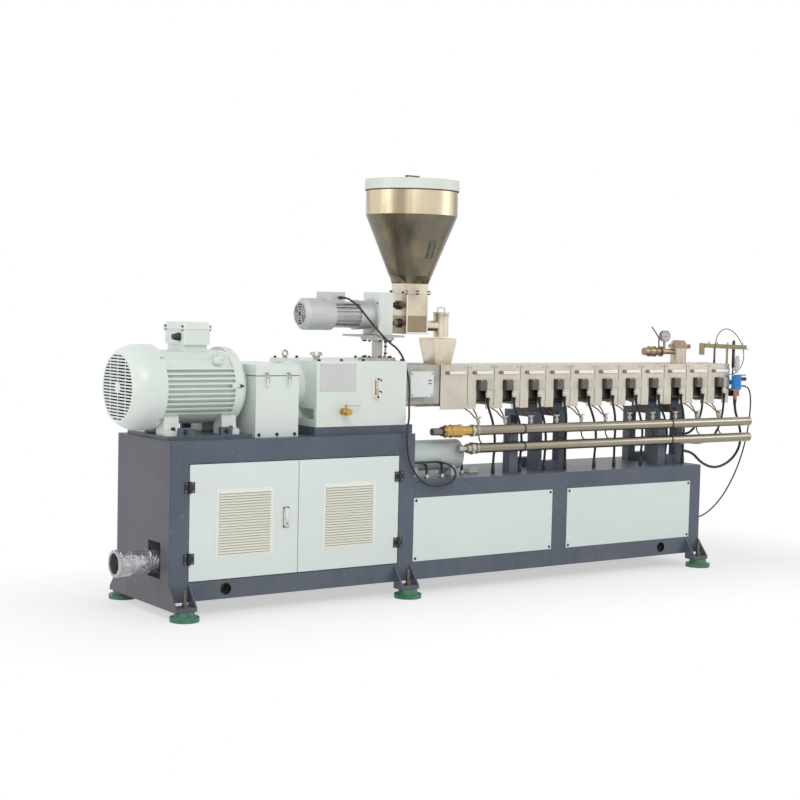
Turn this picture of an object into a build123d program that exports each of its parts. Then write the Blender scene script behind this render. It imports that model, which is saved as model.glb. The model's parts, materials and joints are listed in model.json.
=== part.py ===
"""Twin-screw plastic extruder on a welded steel base, in millimetres.

The origin is on the floor, under the middle of the machine. X runs from the
drive motor to the die, Y from the door side to the back, and Z is up. Sizes
along the machine are measured from the outer face of the motor-end plate.
"""

import math
import os

from build123d import *

os.makedirs("parts", exist_ok=True)

# Base frame
FRAME_LENGTH = 3960
FRAME_WIDTH = 640
HIGH_LENGTH = 1594
HIGH_TOP = 953
LOW_TOP = 676
FRAME_BOTTOM = 87
DECK_SHEET = 6
END_PLATE = 8
TUBE_DEPTH = 100
END_COLUMN = 108
MIDDLE_COLUMN = 107
LOW_BAY = 1064
LOW_COLUMN = 124
RIGHT_COLUMN = 98
BOTTOM_RAIL = 109
HIGH_RAIL = 126
LOW_RAIL = 104
CROSSBAR_WIDTH = 80
CROSSBAR_HEIGHT = 60
DRAIN_HOLE = 68
DRAIN_RAIL = 170
DRAIN_HOLE_FROM_END = 348

# Feet
FIRST_FOOT = 68
MIDDLE_FOOT_FROM_STEP = 72
LAST_FOOT_FROM_END = 60
FOOT_OUTREACH = 61
MOUNT_DIAMETER = 160
MOUNT_RIM = 24
MOUNT_HEIGHT = 50
MOUNT_CAP_DIAMETER = 118
BRACKET_WIDTH = 120
BRACKET_PLATE = 22
BRACKET_REACH = 91
BRACKET_HEIGHT = 132
GUSSET = 9
FOOT_BOLT = 20
FOOT_BOLT_LENGTH = 112

# Doors and panels
DOOR_GAP = 5
DOOR_DEPTH = 20
DOOR_SHEET = 2
VENT_WIDTH = 357
VENT_HEIGHT = 372
VENT_RISE = 120
VENT_SHEET = 2
VENT_BORDER = 14
LOUVRE_COUNT = 23
LOUVRE_PROUD = 7
PANEL_SHEET = 3
PANEL_LAP = 18
PANEL_GAP = 6
HINGE_HEIGHT = 60
HINGE_LEAF = 24
HINGE_SHEET = 3
HINGE_PIN = 8
HINGE_KNUCKLE = 15
HINGE_PLAY = 0.4
HINGE_FROM_EDGE = 122
HANDLE_FROM_EDGE = 80
HANDLE_HEIGHT = 112
HANDLE_WIDTH = 34
HANDLE_DEPTH = 14

# Air duct through the motor-end plate
DUCT_FROM_FRONT = 172
DUCT_RISE = 209
DUCT_DIAMETER = 124
DUCT_WALL = 5
DUCT_OPENING_WIDTH = 150
DUCT_OPENING_BELOW = 91
DUCT_OPENING_ABOVE = 106
DUCT_LENGTH = 155
DUCT_REACH = 235
DUCT_COLLAR = 146
SADDLE_PLATE_WIDTH = 90
SADDLE_PLATE = 8

# Main motor
SHAFT_HEIGHT = 254
MOTOR_BASE = 20
MOTOR_BASE_START = 20
MOTOR_BASE_LENGTH = 520
MOTOR_BASE_WIDTH = 490
COWL_REACH = 158
COWL_RADIUS = 234
COWL_MOUTH_RADIUS = 190
COWL_SHOULDER = 95
COWL_SHEET = 3
COWL_LUG_WIDTH = 36
COWL_LUG_LENGTH = 18
GRILLE_ROWS = 21
GRILLE_HUB = 32
GRILLE_WEB = 5
GRILLE_BORDER = 10
FINNED_START = 30
FINNED_END = 445
BODY_END = 482
CORE_RADIUS = 204
FIN_RADIUS = 229
FIN_COUNT = 10
FIN_PITCH = 27
FIN_THICKNESS = 9
SHIELD_RADIUS = 222
SHIELD_LENGTH = 74
SHIELD_RIM = 12
SADDLE_WIDTH = 270
SADDLE_RISE = 196
MOTOR_FOOT_STARTS = (40, 392)
MOTOR_FOOT_LENGTH = 88
MOTOR_FOOT_REACH = 206
MOTOR_FOOT_THICKNESS = 28
MOTOR_FOOT_INNER = 70
TERMINAL_BOX_START = 178
TERMINAL_BOX_LENGTH = 160
TERMINAL_BOX_WIDTH = 240
TERMINAL_BOX_RISE = 235
TERMINAL_BOX_HEIGHT = 122
TERMINAL_LID = 38
TERMINAL_GLAND_RADIUS = 24
TERMINAL_GLAND_LENGTH = 42
JACK_STATIONS = (130, 380)
JACK_WIDTH = 72
JACK_DEPTH = 28
JACK_HEIGHT = 44

# Coupling guard
GUARD_START = 562
GUARD_END = 838
GUARD_WIDTH = 480
GUARD_HEIGHT = 344
GUARD_LID_HEIGHT = 59
GUARD_SHEET = 3
GUARD_SHAFT_HOLE = 116
GUARD_HINGE_PIN = 6
GUARD_KNUCKLE = 12
GUARD_KNUCKLE_LENGTH = 40
GUARD_HINGE_STATIONS = (80, 196)
LATCH_STATIONS = (66, 206)
LATCH_WIDTH = 22
LATCH_HEIGHT = 58
LATCH_DEPTH = 12
SHAFT_RADIUS = 35
HUB_RADIUS = 92
HUB_NECK_RADIUS = 61
HUB_NECK_LENGTH = 50
HUB_LENGTH = 88

# Gearbox
PLINTH_START = 930
PLINTH_END = 1606
PLINTH_HEIGHT = 50
GEARBOX_START = 940
GEARBOX_LENGTH = 620
GEARBOX_WIDTH = 540
GEARBOX_HEIGHT = 373
GEARBOX_CORNER = 6
INPUT_BOSS_START = 843
INPUT_BOSS_RADIUS = 142
POCKET_Y = -155
POCKET_RISE = 71
POCKET_WIDTH = 170
POCKET_HEIGHT = 62
POCKET_DEPTH = 60
EYE_STATION = 60
EYE_Y = 190
EYE_RING = 17
EYE_BAR = 5.5
GAUGE_STATION = 405
GAUGE_RISE = 219
GAUGE_WIDTH = 26
GAUGE_HEIGHT = 124
GAUGE_DEPTH = 16
GAUGE_GLASS_HEIGHT = 84
GAUGE_GLASS_DEPTH = 10
DRAIN_STATION = 172
DRAIN_RISE = 87
DRAIN_NUT = 20
DRAIN_PIPE_RADIUS = 14
DRAIN_REACH = 42
DRAIN_BALL_RADIUS = 21
DRAIN_STEM_RADIUS = 8
DRAIN_STEM_RISE = 31
LEVER_LENGTH = 105
LEVER_WIDTH = 13
LEVER_HUB_RADIUS = 12
LEVER_SHEET = 4
BREATHER_STATION = 120
BREATHER_Y = -60
BREATHER_NECK = 16
BREATHER_RADIUS = 38
BREATHER_HEIGHT = 20

# Adapter between gearbox and barrel
LANTERN_LENGTH = 345
LANTERN_WIDTH = 250
LANTERN_BELOW = 117
LANTERN_ABOVE = 135
LANTERN_CORNER = 18
LANTERN_WINDOW_WIDTH = 130
LANTERN_WINDOW_HEIGHT = 110
LANTERN_WINDOW_DEPTH = 60
SIGN_GUARD_STATION = 80
SIGN_GUARD_LENGTH = 168
SIGN_GUARD_HEIGHT = 152
SIGN_GUARD_RISE = 19
SIGN_GUARD_DEPTH = 72

# Barrel
BARREL_RISE = 262
BARREL_START = 1907
BARREL_PITCH = 208
BARREL_COUNT = 12
CORE_WIDTH = 196
CORE_HEIGHT = 206
CORE_CORNER = 24
BARREL_FLANGE = 36
FLANGE_RAISE = 20
COVER_HALF_WIDTH = 133
COVER_BELOW = 141
COVER_ABOVE = 130
COVER_SHEET = 3
COVER_GAP = 4
COVER_LEG_LEFT = 66
COVER_LEG_RIGHT = 62
COVER_NOTCH_RISE = 37
RIB_START = 58
RIB_LENGTH = 128
RIB_RISE = 83
RIB_RADIUS = 9
PLUG_START = 84
PLUG_WIDTH = 50
PLUG_HEIGHT = 62
PLUG_RISE = 35
PLUG_PROUD = 22
BOX_WIDTH = 62
BOX_PROUD = 16
BOX_GAP = 2
TRESTLE_JOINTS = ((4, 5), (9, 10))
TRESTLE_OFFSET = -70
TRESTLE_HALF_WIDTH = 150
TRESTLE_SADDLE = 70
LEG_WIDTH = 62
TRESTLE_BEAM = 56
TRESTLE_TOP_BEAM = 36
TRESTLE_CLEARANCE = 26

# Die end
DIE_LENGTH = 62
DIE_NOSE = 22
DIE_NOSE_RADIUS = 72
DIE_WIDTH = 190
DIE_BELOW = 97
DIE_ABOVE = 107
DIE_BORE_RADIUS = 26
DIE_BORE_SPACING = 44
VALVE_STATION = 28
VALVE_NECK_RADIUS = 16
VALVE_NECK_LENGTH = 46
VALVE_RADIUS = 34
VALVE_HEIGHT = 96
HOSE_BLOCK_LENGTH = 56
HOSE_BLOCK_DEPTH = 52
HOSE_BLOCK_HEIGHT = 44
SENSOR_BAR_STATION = 47
SENSOR_BAR_RISE = 232
SENSOR_BAR_ENDS = (-253, 192)
SENSOR_BAR_SECTION = 30
SENSOR_BAR_SHEET = 4
SENSOR_PLATE_WIDTH = 50
SENSOR_PLATE_HEIGHT = 84
SENSOR_POST_RADIUS = 8
SENSOR_POST_Y = 60
SENSOR_RADIUS = 9
SENSOR_HEIGHT = 52
SENSOR_Y = -120

# Vacuum vent
VENT_STATION = 2127
VENT_POT_RADIUS = 54
VENT_POT_HEIGHT = 105
VENT_LID_LAP = 16
VENT_LID = 18
VENT_CLAMP_RADIUS = 64
VENT_CLAMP_HEIGHT = 34
VACUUM_RISE = 80
VACUUM_LENGTH = 323
VACUUM_PORT_RADIUS = 26
VACUUM_PORT_LENGTH = 40
VACUUM_PIPE_RADIUS = 19
VACUUM_GAUGE_FROM_VENT = 136
VACUUM_GAUGE_RISE = 105
VACUUM_GAUGE_RADIUS = 38
VACUUM_GAUGE_DEPTH = 30
VACUUM_GAUGE_STEM = 9

# Feeder
FEEDER_X = 1757
FEEDER_RISE = 264
COLUMN_X = 1446
COLUMN_Y = -118
COLUMN_HEIGHT = 136
COLUMN_RADIUS = 31
COLUMN_FLANGE_RADIUS = 110
COLUMN_TOP_RADIUS = 98
COLUMN_ROD_RADIUS = 6
COLUMN_ROD_X = 60
FLANGE_PLATE = 16
FEEDER_PLATE = 12
FEEDER_PLATE_OVERHANG = 10
REDUCER_START = 1477
REDUCER_LENGTH = 100
REDUCER_WIDTH = 168
REDUCER_ABOVE = 136
REDUCER_CORNER = 5
AGITATOR_RISE = 62
SCREW_DROP = 46
FEEDER_SHAFT_RADIUS = 13
FEEDER_BEARING_RADIUS = 28
FEEDER_BEARING = 16
FEEDER_MOTOR_LENGTH = 495
FEEDER_COWL_LENGTH = 199
FEEDER_FINNED_LENGTH = 175
FEEDER_MOTOR_RADIUS = 93
FEEDER_MOTOR_STEP = 16
FEEDER_FLANGE = 16
FEEDER_BOX_STATION = 210
FEEDER_BOX_LENGTH = 130
FEEDER_BOX_WIDTH = 110
FEEDER_BOX_HEIGHT = 72
FEEDER_GLAND_FROM_MIDDLE = 23
TROUGH_WIDTH = 158
TROUGH_DEPTH = 160
TROUGH_BELOW = 110
TROUGH_ABOVE = 192
TROUGH_SHEET = 4
TROUGH_FLANGE_RISE = 135
TROUGH_FLANGE_SHEET = 8
TROUGH_FLANGE = 14
TROUGH_FOOT = 8
TROUGH_FOOT_SHEET = 5
HOPPER_NECK = 48
HOPPER_NECK_RADIUS = 130
HOPPER_CONE = 361
HOPPER_DRUM = 207
HOPPER_RADIUS = 277
HOPPER_SHEET = 3
SIGHT_GLASS_LENGTH = 96
SIGHT_GLASS_WIDTH = 34
SIGHT_GLASS_FRAME = 8
SIGHT_GLASS_TURN = 4
SIGHT_GLASS_RISE = 0.42
LID_LAP = 9
LID_SKIRT = 58
LID_SHEET = 3
LID_HANDLE_WIDTH = 95
LID_HANDLE_HEIGHT = 32
LID_HANDLE_BAR = 8
DISCHARGE_FROM_FEEDER = 239
DISCHARGE_RADIUS = 47
DISCHARGE_WALL = 4
DISCHARGE_BELOW = 128
DISCHARGE_ABOVE = 24
DISCHARGE_CAP = 8
DISCHARGE_CAP_LAP = 5
SCREW_TUBE_RADIUS = 32
SCREW_TUBE_DROP = 60
SCREW_FLANGE_RADIUS = 42
SCREW_FLANGE = 8
FUNNEL_OFFSET = -20
FUNNEL_HEIGHT = 160
FUNNEL_MOUTH = 164
FUNNEL_OUTLET = 120
FUNNEL_SHEET = 3
FUNNEL_RIM = 24

# Cooling water
PIPE_START = 2058
PIPE_END = 4490
PIPE_RADIUS = 30
PIPE_WALL = 3
PIPE_DOME = 14
PIPE_FROM_FRONT = 60
UPPER_PIPE_RISE = 277
LOWER_PIPE_RISE = 169
POST_STATIONS = (2413, 3680)
POST_WIDTH = 66
STRAP_WIDTH = 8
STRAP_SHEET = 3
STRAP_TAB = 18
INLET_LENGTH = 300
INLET_NUT_RADIUS = 28
INLET_NUT_LENGTH = 86
INLET_BODY_RADIUS = 40
INLET_BODY_END = 200
INLET_PORT_RADIUS = 22
INLET_PORT_LENGTH = 68
DRAIN_CAP_LENGTH = 104
DRAIN_CAP_NECK_RADIUS = 18
DRAIN_CAP_RADIUS = 24
NEEDLE_VALVE_COUNT = 11
NEEDLE_VALVE_OFFSET = 198
NEEDLE_STEM_RADIUS = 8
NEEDLE_STEM = 52
NEEDLE_BODY_RADIUS = 13
NEEDLE_BODY_RISE = 12
NEEDLE_BODY = 16
NEEDLE_HANDLE_LENGTH = 44
NEEDLE_HANDLE_WIDTH = 10
NEEDLE_HANDLE = 8
COOLER_START = 1640
COOLER_LENGTH = 400
COOLER_RADIUS = 92
COOLER_Y = -120
COOLER_RISE = 124
COOLER_CRADLE_INSET = 60
COOLER_CRADLE_SHEET = 30
COOLER_CRADLE_WIDTH = 130

# Cables and hoses
FEEDER_CABLE = 12
DIE_HOSE = 18
SENSOR_CABLE = 10
PROBE_WIRE = 6
HEATER_LEAD = 17
BEND_SHARE = 0.45
GLAND_LENGTH = 24
GLAND_LAP = 4
CONNECTOR_RADIUS = 13
CONNECTOR_LENGTH = 46
CONNECTOR_STATION = 148

TOUCH = 0.3

# Heights and places that follow from the sizes above
LOW_COLUMN_START = HIGH_LENGTH + LOW_BAY
FOOT_STATIONS = (FIRST_FOOT, HIGH_LENGTH - MIDDLE_FOOT_FROM_STEP, FRAME_LENGTH - LAST_FOOT_FROM_END)
BRACKET_TOP = MOUNT_HEIGHT + BRACKET_HEIGHT
DOOR_LEFT_START = END_PLATE + END_COLUMN + DOOR_GAP
DOOR_RIGHT_END = HIGH_LENGTH - MIDDLE_COLUMN - DOOR_GAP
DOOR_SPLIT = (DOOR_LEFT_START + DOOR_RIGHT_END) / 2
DOOR_BOTTOM = FRAME_BOTTOM + BOTTOM_RAIL
DOOR_TOP = HIGH_TOP - HIGH_RAIL
VENT_BOTTOM = DOOR_BOTTOM + VENT_RISE
PANEL_BOTTOM = FRAME_BOTTOM + BOTTOM_RAIL
PANEL_TOP = LOW_TOP - LOW_RAIL
LOW_PANEL_ENDS = (
    (HIGH_LENGTH, LOW_COLUMN_START),
    (LOW_COLUMN_START + LOW_COLUMN, FRAME_LENGTH - RIGHT_COLUMN),
)
HINGE_Z = (DOOR_BOTTOM + HINGE_FROM_EDGE, DOOR_TOP - HINGE_FROM_EDGE)
HANDLE_X = DOOR_SPLIT - HANDLE_FROM_EDGE
HANDLE_Z = (DOOR_BOTTOM + DOOR_TOP) / 2
DUCT_Y = -FRAME_WIDTH / 2 + DUCT_FROM_FRONT
DUCT_Z = FRAME_BOTTOM + DUCT_RISE
MOTOR_AXIS_Z = HIGH_TOP + MOTOR_BASE + SHAFT_HEIGHT
SHIELD_END = BODY_END + SHIELD_LENGTH
TERMINAL_BOX_BOTTOM = MOTOR_AXIS_Z + TERMINAL_BOX_RISE
TERMINAL_BOX_TOP = TERMINAL_BOX_BOTTOM + TERMINAL_BOX_HEIGHT
GUARD_LID_Z = HIGH_TOP + GUARD_HEIGHT
GUARD_TOP = GUARD_LID_Z + GUARD_LID_HEIGHT
PLINTH_TOP = HIGH_TOP + PLINTH_HEIGHT
GEARBOX_END = GEARBOX_START + GEARBOX_LENGTH
GEARBOX_TOP = PLINTH_TOP + GEARBOX_HEIGHT
GAUGE_X = GEARBOX_START + GAUGE_STATION
GAUGE_Z = PLINTH_TOP + GAUGE_RISE
DRAIN_X = GEARBOX_START + DRAIN_STATION
DRAIN_Z = PLINTH_TOP + DRAIN_RISE
BREATHER_X = GEARBOX_START + BREATHER_STATION
BARREL_AXIS_Z = HIGH_TOP + BARREL_RISE
LANTERN_END = GEARBOX_END + LANTERN_LENGTH
LANTERN_BOTTOM = BARREL_AXIS_Z - LANTERN_BELOW
LANTERN_TOP = BARREL_AXIS_Z + LANTERN_ABOVE
SIGN_GUARD_START = GEARBOX_END + SIGN_GUARD_STATION
COVER_BOTTOM = BARREL_AXIS_Z - COVER_BELOW
COVER_TOP = BARREL_AXIS_Z + COVER_ABOVE
COVER_NOTCH_TOP = BARREL_AXIS_Z + COVER_NOTCH_RISE
RIB_Z = BARREL_AXIS_Z + RIB_RISE
PLUG_TOP = BARREL_AXIS_Z + PLUG_RISE
BARREL_LENGTH = BARREL_PITCH * BARREL_COUNT
BARREL_END = BARREL_START + BARREL_LENGTH
DIE_BOTTOM = BARREL_AXIS_Z - DIE_BELOW
DIE_TOP = BARREL_AXIS_Z + DIE_ABOVE
SENSOR_BAR_X = BARREL_END + SENSOR_BAR_STATION
SENSOR_BAR_Z = BARREL_AXIS_Z + SENSOR_BAR_RISE
VENT_POT_X = BARREL_START + VENT_STATION
VENT_POT_TOP = COVER_TOP + VENT_POT_HEIGHT
VACUUM_Z = COVER_TOP + VACUUM_RISE
VACUUM_END = VENT_POT_X - VACUUM_LENGTH
VACUUM_GAUGE_X = VENT_POT_X - VACUUM_GAUGE_FROM_VENT
VACUUM_GAUGE_Z = VACUUM_Z + VACUUM_GAUGE_RISE
FEEDER_AXIS_Z = GEARBOX_TOP + FEEDER_RISE
FEEDER_PLATE_Z = GEARBOX_TOP + COLUMN_HEIGHT
REDUCER_END = REDUCER_START + REDUCER_LENGTH
REDUCER_TOP = FEEDER_AXIS_Z + REDUCER_ABOVE
FEEDER_MOTOR_START = REDUCER_START - FEEDER_MOTOR_LENGTH
FEEDER_COWL_END = FEEDER_MOTOR_START + FEEDER_COWL_LENGTH
FEEDER_BODY_END = FEEDER_COWL_END + FEEDER_FINNED_LENGTH
TROUGH_BOTTOM = FEEDER_AXIS_Z - TROUGH_BELOW
TROUGH_TOP = FEEDER_AXIS_Z + TROUGH_ABOVE
TROUGH_FLANGE_Z = FEEDER_AXIS_Z + TROUGH_FLANGE_RISE
HOPPER_NECK_TOP = TROUGH_TOP + HOPPER_NECK
HOPPER_CONE_TOP = HOPPER_NECK_TOP + HOPPER_CONE
HOPPER_TOP = HOPPER_CONE_TOP + HOPPER_DRUM
LID_RADIUS = HOPPER_RADIUS + LID_LAP
LID_SKIRT_BOTTOM = HOPPER_TOP - LID_SKIRT
DISCHARGE_X = FEEDER_X + DISCHARGE_FROM_FEEDER
DISCHARGE_BOTTOM = FEEDER_AXIS_Z - DISCHARGE_BELOW
DISCHARGE_TOP = FEEDER_AXIS_Z + DISCHARGE_ABOVE
FUNNEL_TOP = COVER_TOP + FUNNEL_HEIGHT
PIPE_Y = -FRAME_WIDTH / 2 + PIPE_FROM_FRONT
UPPER_PIPE_Z = LOW_TOP + UPPER_PIPE_RISE
LOWER_PIPE_Z = LOW_TOP + LOWER_PIPE_RISE
COOLER_Z = LOW_TOP + COOLER_RISE

# The overall box runs from the duct collar to the closed pipe ends
X0 = -(PIPE_END - DUCT_REACH) / 2
FRONT = -FRAME_WIDTH / 2
BACK = FRAME_WIDTH / 2


def along(distance):
    """Place along X of a point measured from the motor-end plate."""
    return X0 + distance


def end_plane(distance):
    """Plane across the machine, facing the die end."""
    return Plane.YZ.offset(along(distance))


def save(builder, name):
    """Label a finished piece and write it as its own STEP file."""
    builder.part.label = name
    export_step(builder.part, f"parts/{name}.step")


def side_plane(y):
    """Upright plane along the machine at y, facing the door side."""
    return Plane(origin=(0, y, 0), x_dir=(1, 0, 0), z_dir=(0, -1, 0))


# Side frames: rails and columns of the doors' side, and the same at the back
def side_frame(name, side):
    """Welded side frame: columns and rails round its door and panel openings."""
    door_start, door_end = END_PLATE + END_COLUMN, HIGH_LENGTH - MIDDLE_COLUMN
    (low_1, low_2), (low_3, low_4) = [(start + PANEL_LAP, end - PANEL_LAP) for start, end in LOW_PANEL_ENDS]
    high_top = HIGH_TOP - DECK_SHEET
    low_top = LOW_TOP - DECK_SHEET
    members = [
        (END_PLATE, door_start, FRAME_BOTTOM, high_top),
        (door_end, HIGH_LENGTH, FRAME_BOTTOM, high_top),
        (HIGH_LENGTH + TOUCH, low_1, FRAME_BOTTOM, low_top),
        (low_2, low_3, FRAME_BOTTOM, low_top),
        (low_4, FRAME_LENGTH, FRAME_BOTTOM, low_top),
        (door_start + TOUCH, door_end - TOUCH, DOOR_TOP + DOOR_GAP, high_top),
        (low_1 + TOUCH, low_2 - TOUCH, PANEL_TOP - PANEL_LAP, low_top),
        (low_3 + TOUCH, low_4 - TOUCH, PANEL_TOP - PANEL_LAP, low_top),
        (low_1 + TOUCH, low_2 - TOUCH, FRAME_BOTTOM, PANEL_BOTTOM + PANEL_LAP),
    ]
    door_sill = (door_start + TOUCH, door_end - TOUCH)
    last_sill = (low_3 + TOUCH, low_4 - TOUCH)
    for (start, end), hole_x, top in zip((door_sill, last_sill), drain_hole_stations, sill_tops):
        if side < 0:
            members.append((start, hole_x - DRAIN_RAIL / 2 - TOUCH, FRAME_BOTTOM, top))
            members.append((hole_x + DRAIN_RAIL / 2 + TOUCH, end, FRAME_BOTTOM, top))
        else:
            members.append((start, end, FRAME_BOTTOM, top))
    with BuildPart() as frame:
        with BuildSketch(side_plane(side * FRAME_WIDTH / 2)):
            for start, end, low, high in members:
                with Locations((along((start + end) / 2), (low + high) / 2)):
                    Rectangle(end - start, high - low)
        extrude(amount=side * TUBE_DEPTH)
    save(frame, name)


drain_hole_stations = (DRAIN_HOLE_FROM_END, FRAME_LENGTH - DRAIN_HOLE_FROM_END)
sill_tops = (DOOR_BOTTOM - DOOR_GAP, PANEL_BOTTOM + PANEL_LAP)
side_frame("frame_front", -1)
side_frame("frame_back", 1)

# Lengths of the front bottom rail with the round drain holes
with BuildPart() as drain_rails:
    with BuildSketch(side_plane(-FRAME_WIDTH / 2)):
        for station, top in zip(drain_hole_stations, sill_tops):
            with Locations((along(station), (FRAME_BOTTOM + top) / 2)):
                Rectangle(DRAIN_RAIL, top - FRAME_BOTTOM)
            with Locations((along(station), (FRAME_BOTTOM + DOOR_BOTTOM) / 2)):
                Circle(DRAIN_HOLE / 2, mode=Mode.SUBTRACT)
    extrude(amount=-TUBE_DEPTH)
save(drain_rails, "drain_rails")

# Crossbars between the two side frames, at both ends and under each column, and the
# saddle plate on the first one that carries the air duct
crossbar_span = FRAME_WIDTH - 2 * TUBE_DEPTH
bottom_bar_z = FRAME_BOTTOM + CROSSBAR_HEIGHT / 2
crossbar_places = [
    (END_PLATE + CROSSBAR_WIDTH / 2, bottom_bar_z),
    (END_PLATE + CROSSBAR_WIDTH / 2, HIGH_TOP - DECK_SHEET - CROSSBAR_HEIGHT / 2),
    (HIGH_LENGTH / 2, HIGH_TOP - DECK_SHEET - CROSSBAR_HEIGHT / 2),
    (HIGH_LENGTH - CROSSBAR_WIDTH / 2, bottom_bar_z),
    (HIGH_LENGTH - CROSSBAR_WIDTH / 2, LOW_TOP - CROSSBAR_HEIGHT / 2 - DECK_SHEET),
    (HIGH_LENGTH - CROSSBAR_WIDTH / 2, HIGH_TOP - DECK_SHEET - CROSSBAR_HEIGHT / 2),
    (LOW_COLUMN_START + LOW_COLUMN / 2, bottom_bar_z),
    (LOW_COLUMN_START + LOW_COLUMN / 2, LOW_TOP - DECK_SHEET - CROSSBAR_HEIGHT / 2),
    (FRAME_LENGTH - RIGHT_COLUMN / 2, bottom_bar_z),
    (FRAME_LENGTH - RIGHT_COLUMN / 2, LOW_TOP - DECK_SHEET - CROSSBAR_HEIGHT / 2),
]
saddle_low = FRAME_BOTTOM + CROSSBAR_HEIGHT
saddle_x = along(END_PLATE + CROSSBAR_WIDTH / 2)
with BuildPart() as crossbars:
    for x, z in crossbar_places:
        with Locations((along(x), 0, z)):
            Box(CROSSBAR_WIDTH, crossbar_span, CROSSBAR_HEIGHT)
    with BuildSketch(Plane.YZ.offset(saddle_x)):
        with Locations((DUCT_Y, (saddle_low + DUCT_Z) / 2)):
            Rectangle(SADDLE_PLATE_WIDTH, DUCT_Z - saddle_low)
        with Locations((DUCT_Y, DUCT_Z)):
            Circle(DUCT_DIAMETER / 2 + TOUCH, mode=Mode.SUBTRACT)
    extrude(amount=SADDLE_PLATE)
save(crossbars, "frame_crossbars")

# Motor-end plate: full width, its lower corners flared out over the feet
with BuildPart() as end_plate:
    with BuildSketch(end_plane(0)):
        with BuildLine():
            Polyline(
                (FRONT, HIGH_TOP),
                (BACK, HIGH_TOP),
                (BACK, BRACKET_TOP),
                (BACK + BRACKET_REACH, MOUNT_HEIGHT + BRACKET_PLATE),
                (BACK + BRACKET_REACH, MOUNT_HEIGHT),
                (FRONT - BRACKET_REACH, MOUNT_HEIGHT),
                (FRONT - BRACKET_REACH, MOUNT_HEIGHT + BRACKET_PLATE),
                (FRONT, BRACKET_TOP),
                close=True,
            )
        make_face()
        with Locations((DUCT_Y, DUCT_Z + (DUCT_OPENING_ABOVE - DUCT_OPENING_BELOW) / 2)):
            Rectangle(DUCT_OPENING_WIDTH, DUCT_OPENING_ABOVE + DUCT_OPENING_BELOW, mode=Mode.SUBTRACT)
    extrude(amount=END_PLATE)
save(end_plate, "end_plate")

# Deck sheets on the high and the low part of the frame, and the step between them
with BuildPart() as deck_plates:
    with BuildSketch(Plane.XY.offset(HIGH_TOP - DECK_SHEET)):
        with Locations((along((END_PLATE + HIGH_LENGTH) / 2), 0)):
            Rectangle(HIGH_LENGTH - END_PLATE, FRAME_WIDTH)
    extrude(amount=DECK_SHEET)
    with BuildSketch(Plane.XY.offset(LOW_TOP - DECK_SHEET)):
        with Locations((along((FRAME_LENGTH + HIGH_LENGTH) / 2), 0)):
            Rectangle(FRAME_LENGTH - HIGH_LENGTH, FRAME_WIDTH)
    extrude(amount=DECK_SHEET)
save(deck_plates, "deck_plates")


def screwed_sheet(start, end, low, high, side):
    """Flat sheet screwed on the outside of a side frame."""
    with BuildSketch(side_plane(side * FRAME_WIDTH / 2)) as sheet:
        with Locations((along((start + end) / 2), (low + high) / 2)):
            RectangleRounded(end - start, high - low, 4)
    extrude(sheet.sketch, amount=-side * PANEL_SHEET)


# Screwed panels: two low ones at the doors' side, four at the back, and the sheets
# that close the die end of the low part and the step of the high part
back_low = BRACKET_TOP + 4
back_high = DOOR_TOP + PANEL_LAP
step_low = LOW_TOP + TOUCH
step_high = HIGH_TOP - DECK_SHEET - TOUCH
with BuildPart() as fixed_panels:
    for start, end in LOW_PANEL_ENDS:
        screwed_sheet(start, end, PANEL_BOTTOM, PANEL_TOP, -1)
        screwed_sheet(start + PANEL_GAP, end, PANEL_BOTTOM, PANEL_TOP, 1)
    screwed_sheet(DOOR_LEFT_START - PANEL_LAP, DOOR_SPLIT - PANEL_GAP / 2, back_low, back_high, 1)
    screwed_sheet(DOOR_SPLIT + PANEL_GAP / 2, DOOR_RIGHT_END + PANEL_LAP, back_low, back_high, 1)
    with BuildSketch(end_plane(FRAME_LENGTH)):
        with Locations((0, (FRAME_BOTTOM + LOW_TOP) / 2)):
            Rectangle(FRAME_WIDTH - 2 * PANEL_LAP, LOW_TOP - FRAME_BOTTOM - 2 * PANEL_LAP)
    extrude(amount=PANEL_SHEET)
    with BuildSketch(end_plane(HIGH_LENGTH)):
        with Locations((0, (step_low + step_high) / 2)):
            Rectangle(FRAME_WIDTH - 2 * PANEL_LAP, step_high - step_low)
    extrude(amount=PANEL_SHEET)
save(fixed_panels, "fixed_panels")

# Feet: bracket, levelling bolt and vibration mount at six places
foot_y = FRAME_WIDTH / 2 + FOOT_OUTREACH
foot_places = [(along(x), side * foot_y, side) for x in FOOT_STATIONS for side in (-1, 1)]

with BuildPart() as foot_brackets:
    for x, y, side in foot_places:
        inner = side * FRAME_WIDTH / 2
        outer = side * (FRAME_WIDTH / 2 + BRACKET_REACH)
        is_first = x == along(FOOT_STATIONS[0])
        left = max(x - BRACKET_WIDTH / 2, along(END_PLATE) + TOUCH) if is_first else x - BRACKET_WIDTH / 2
        right = x + BRACKET_WIDTH / 2
        with BuildSketch(Plane.XY.offset(MOUNT_HEIGHT)):
            with Locations(((left + right) / 2, (inner + outer) / 2)):
                Rectangle(right - left, BRACKET_REACH)
            with Locations((x, y)):
                Circle(FOOT_BOLT / 2 + TOUCH, mode=Mode.SUBTRACT)
        extrude(amount=BRACKET_PLATE)
        starts = [right - GUSSET] if is_first else [left, right - GUSSET]
        for start in starts:
            with BuildSketch(Plane.YZ.offset(start)):
                with BuildLine():
                    Polyline(
                        (inner, MOUNT_HEIGHT + BRACKET_PLATE),
                        (outer, MOUNT_HEIGHT + BRACKET_PLATE),
                        (inner, BRACKET_TOP),
                        close=True,
                    )
                make_face()
            extrude(amount=GUSSET)
save(foot_brackets, "foot_brackets")

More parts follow.
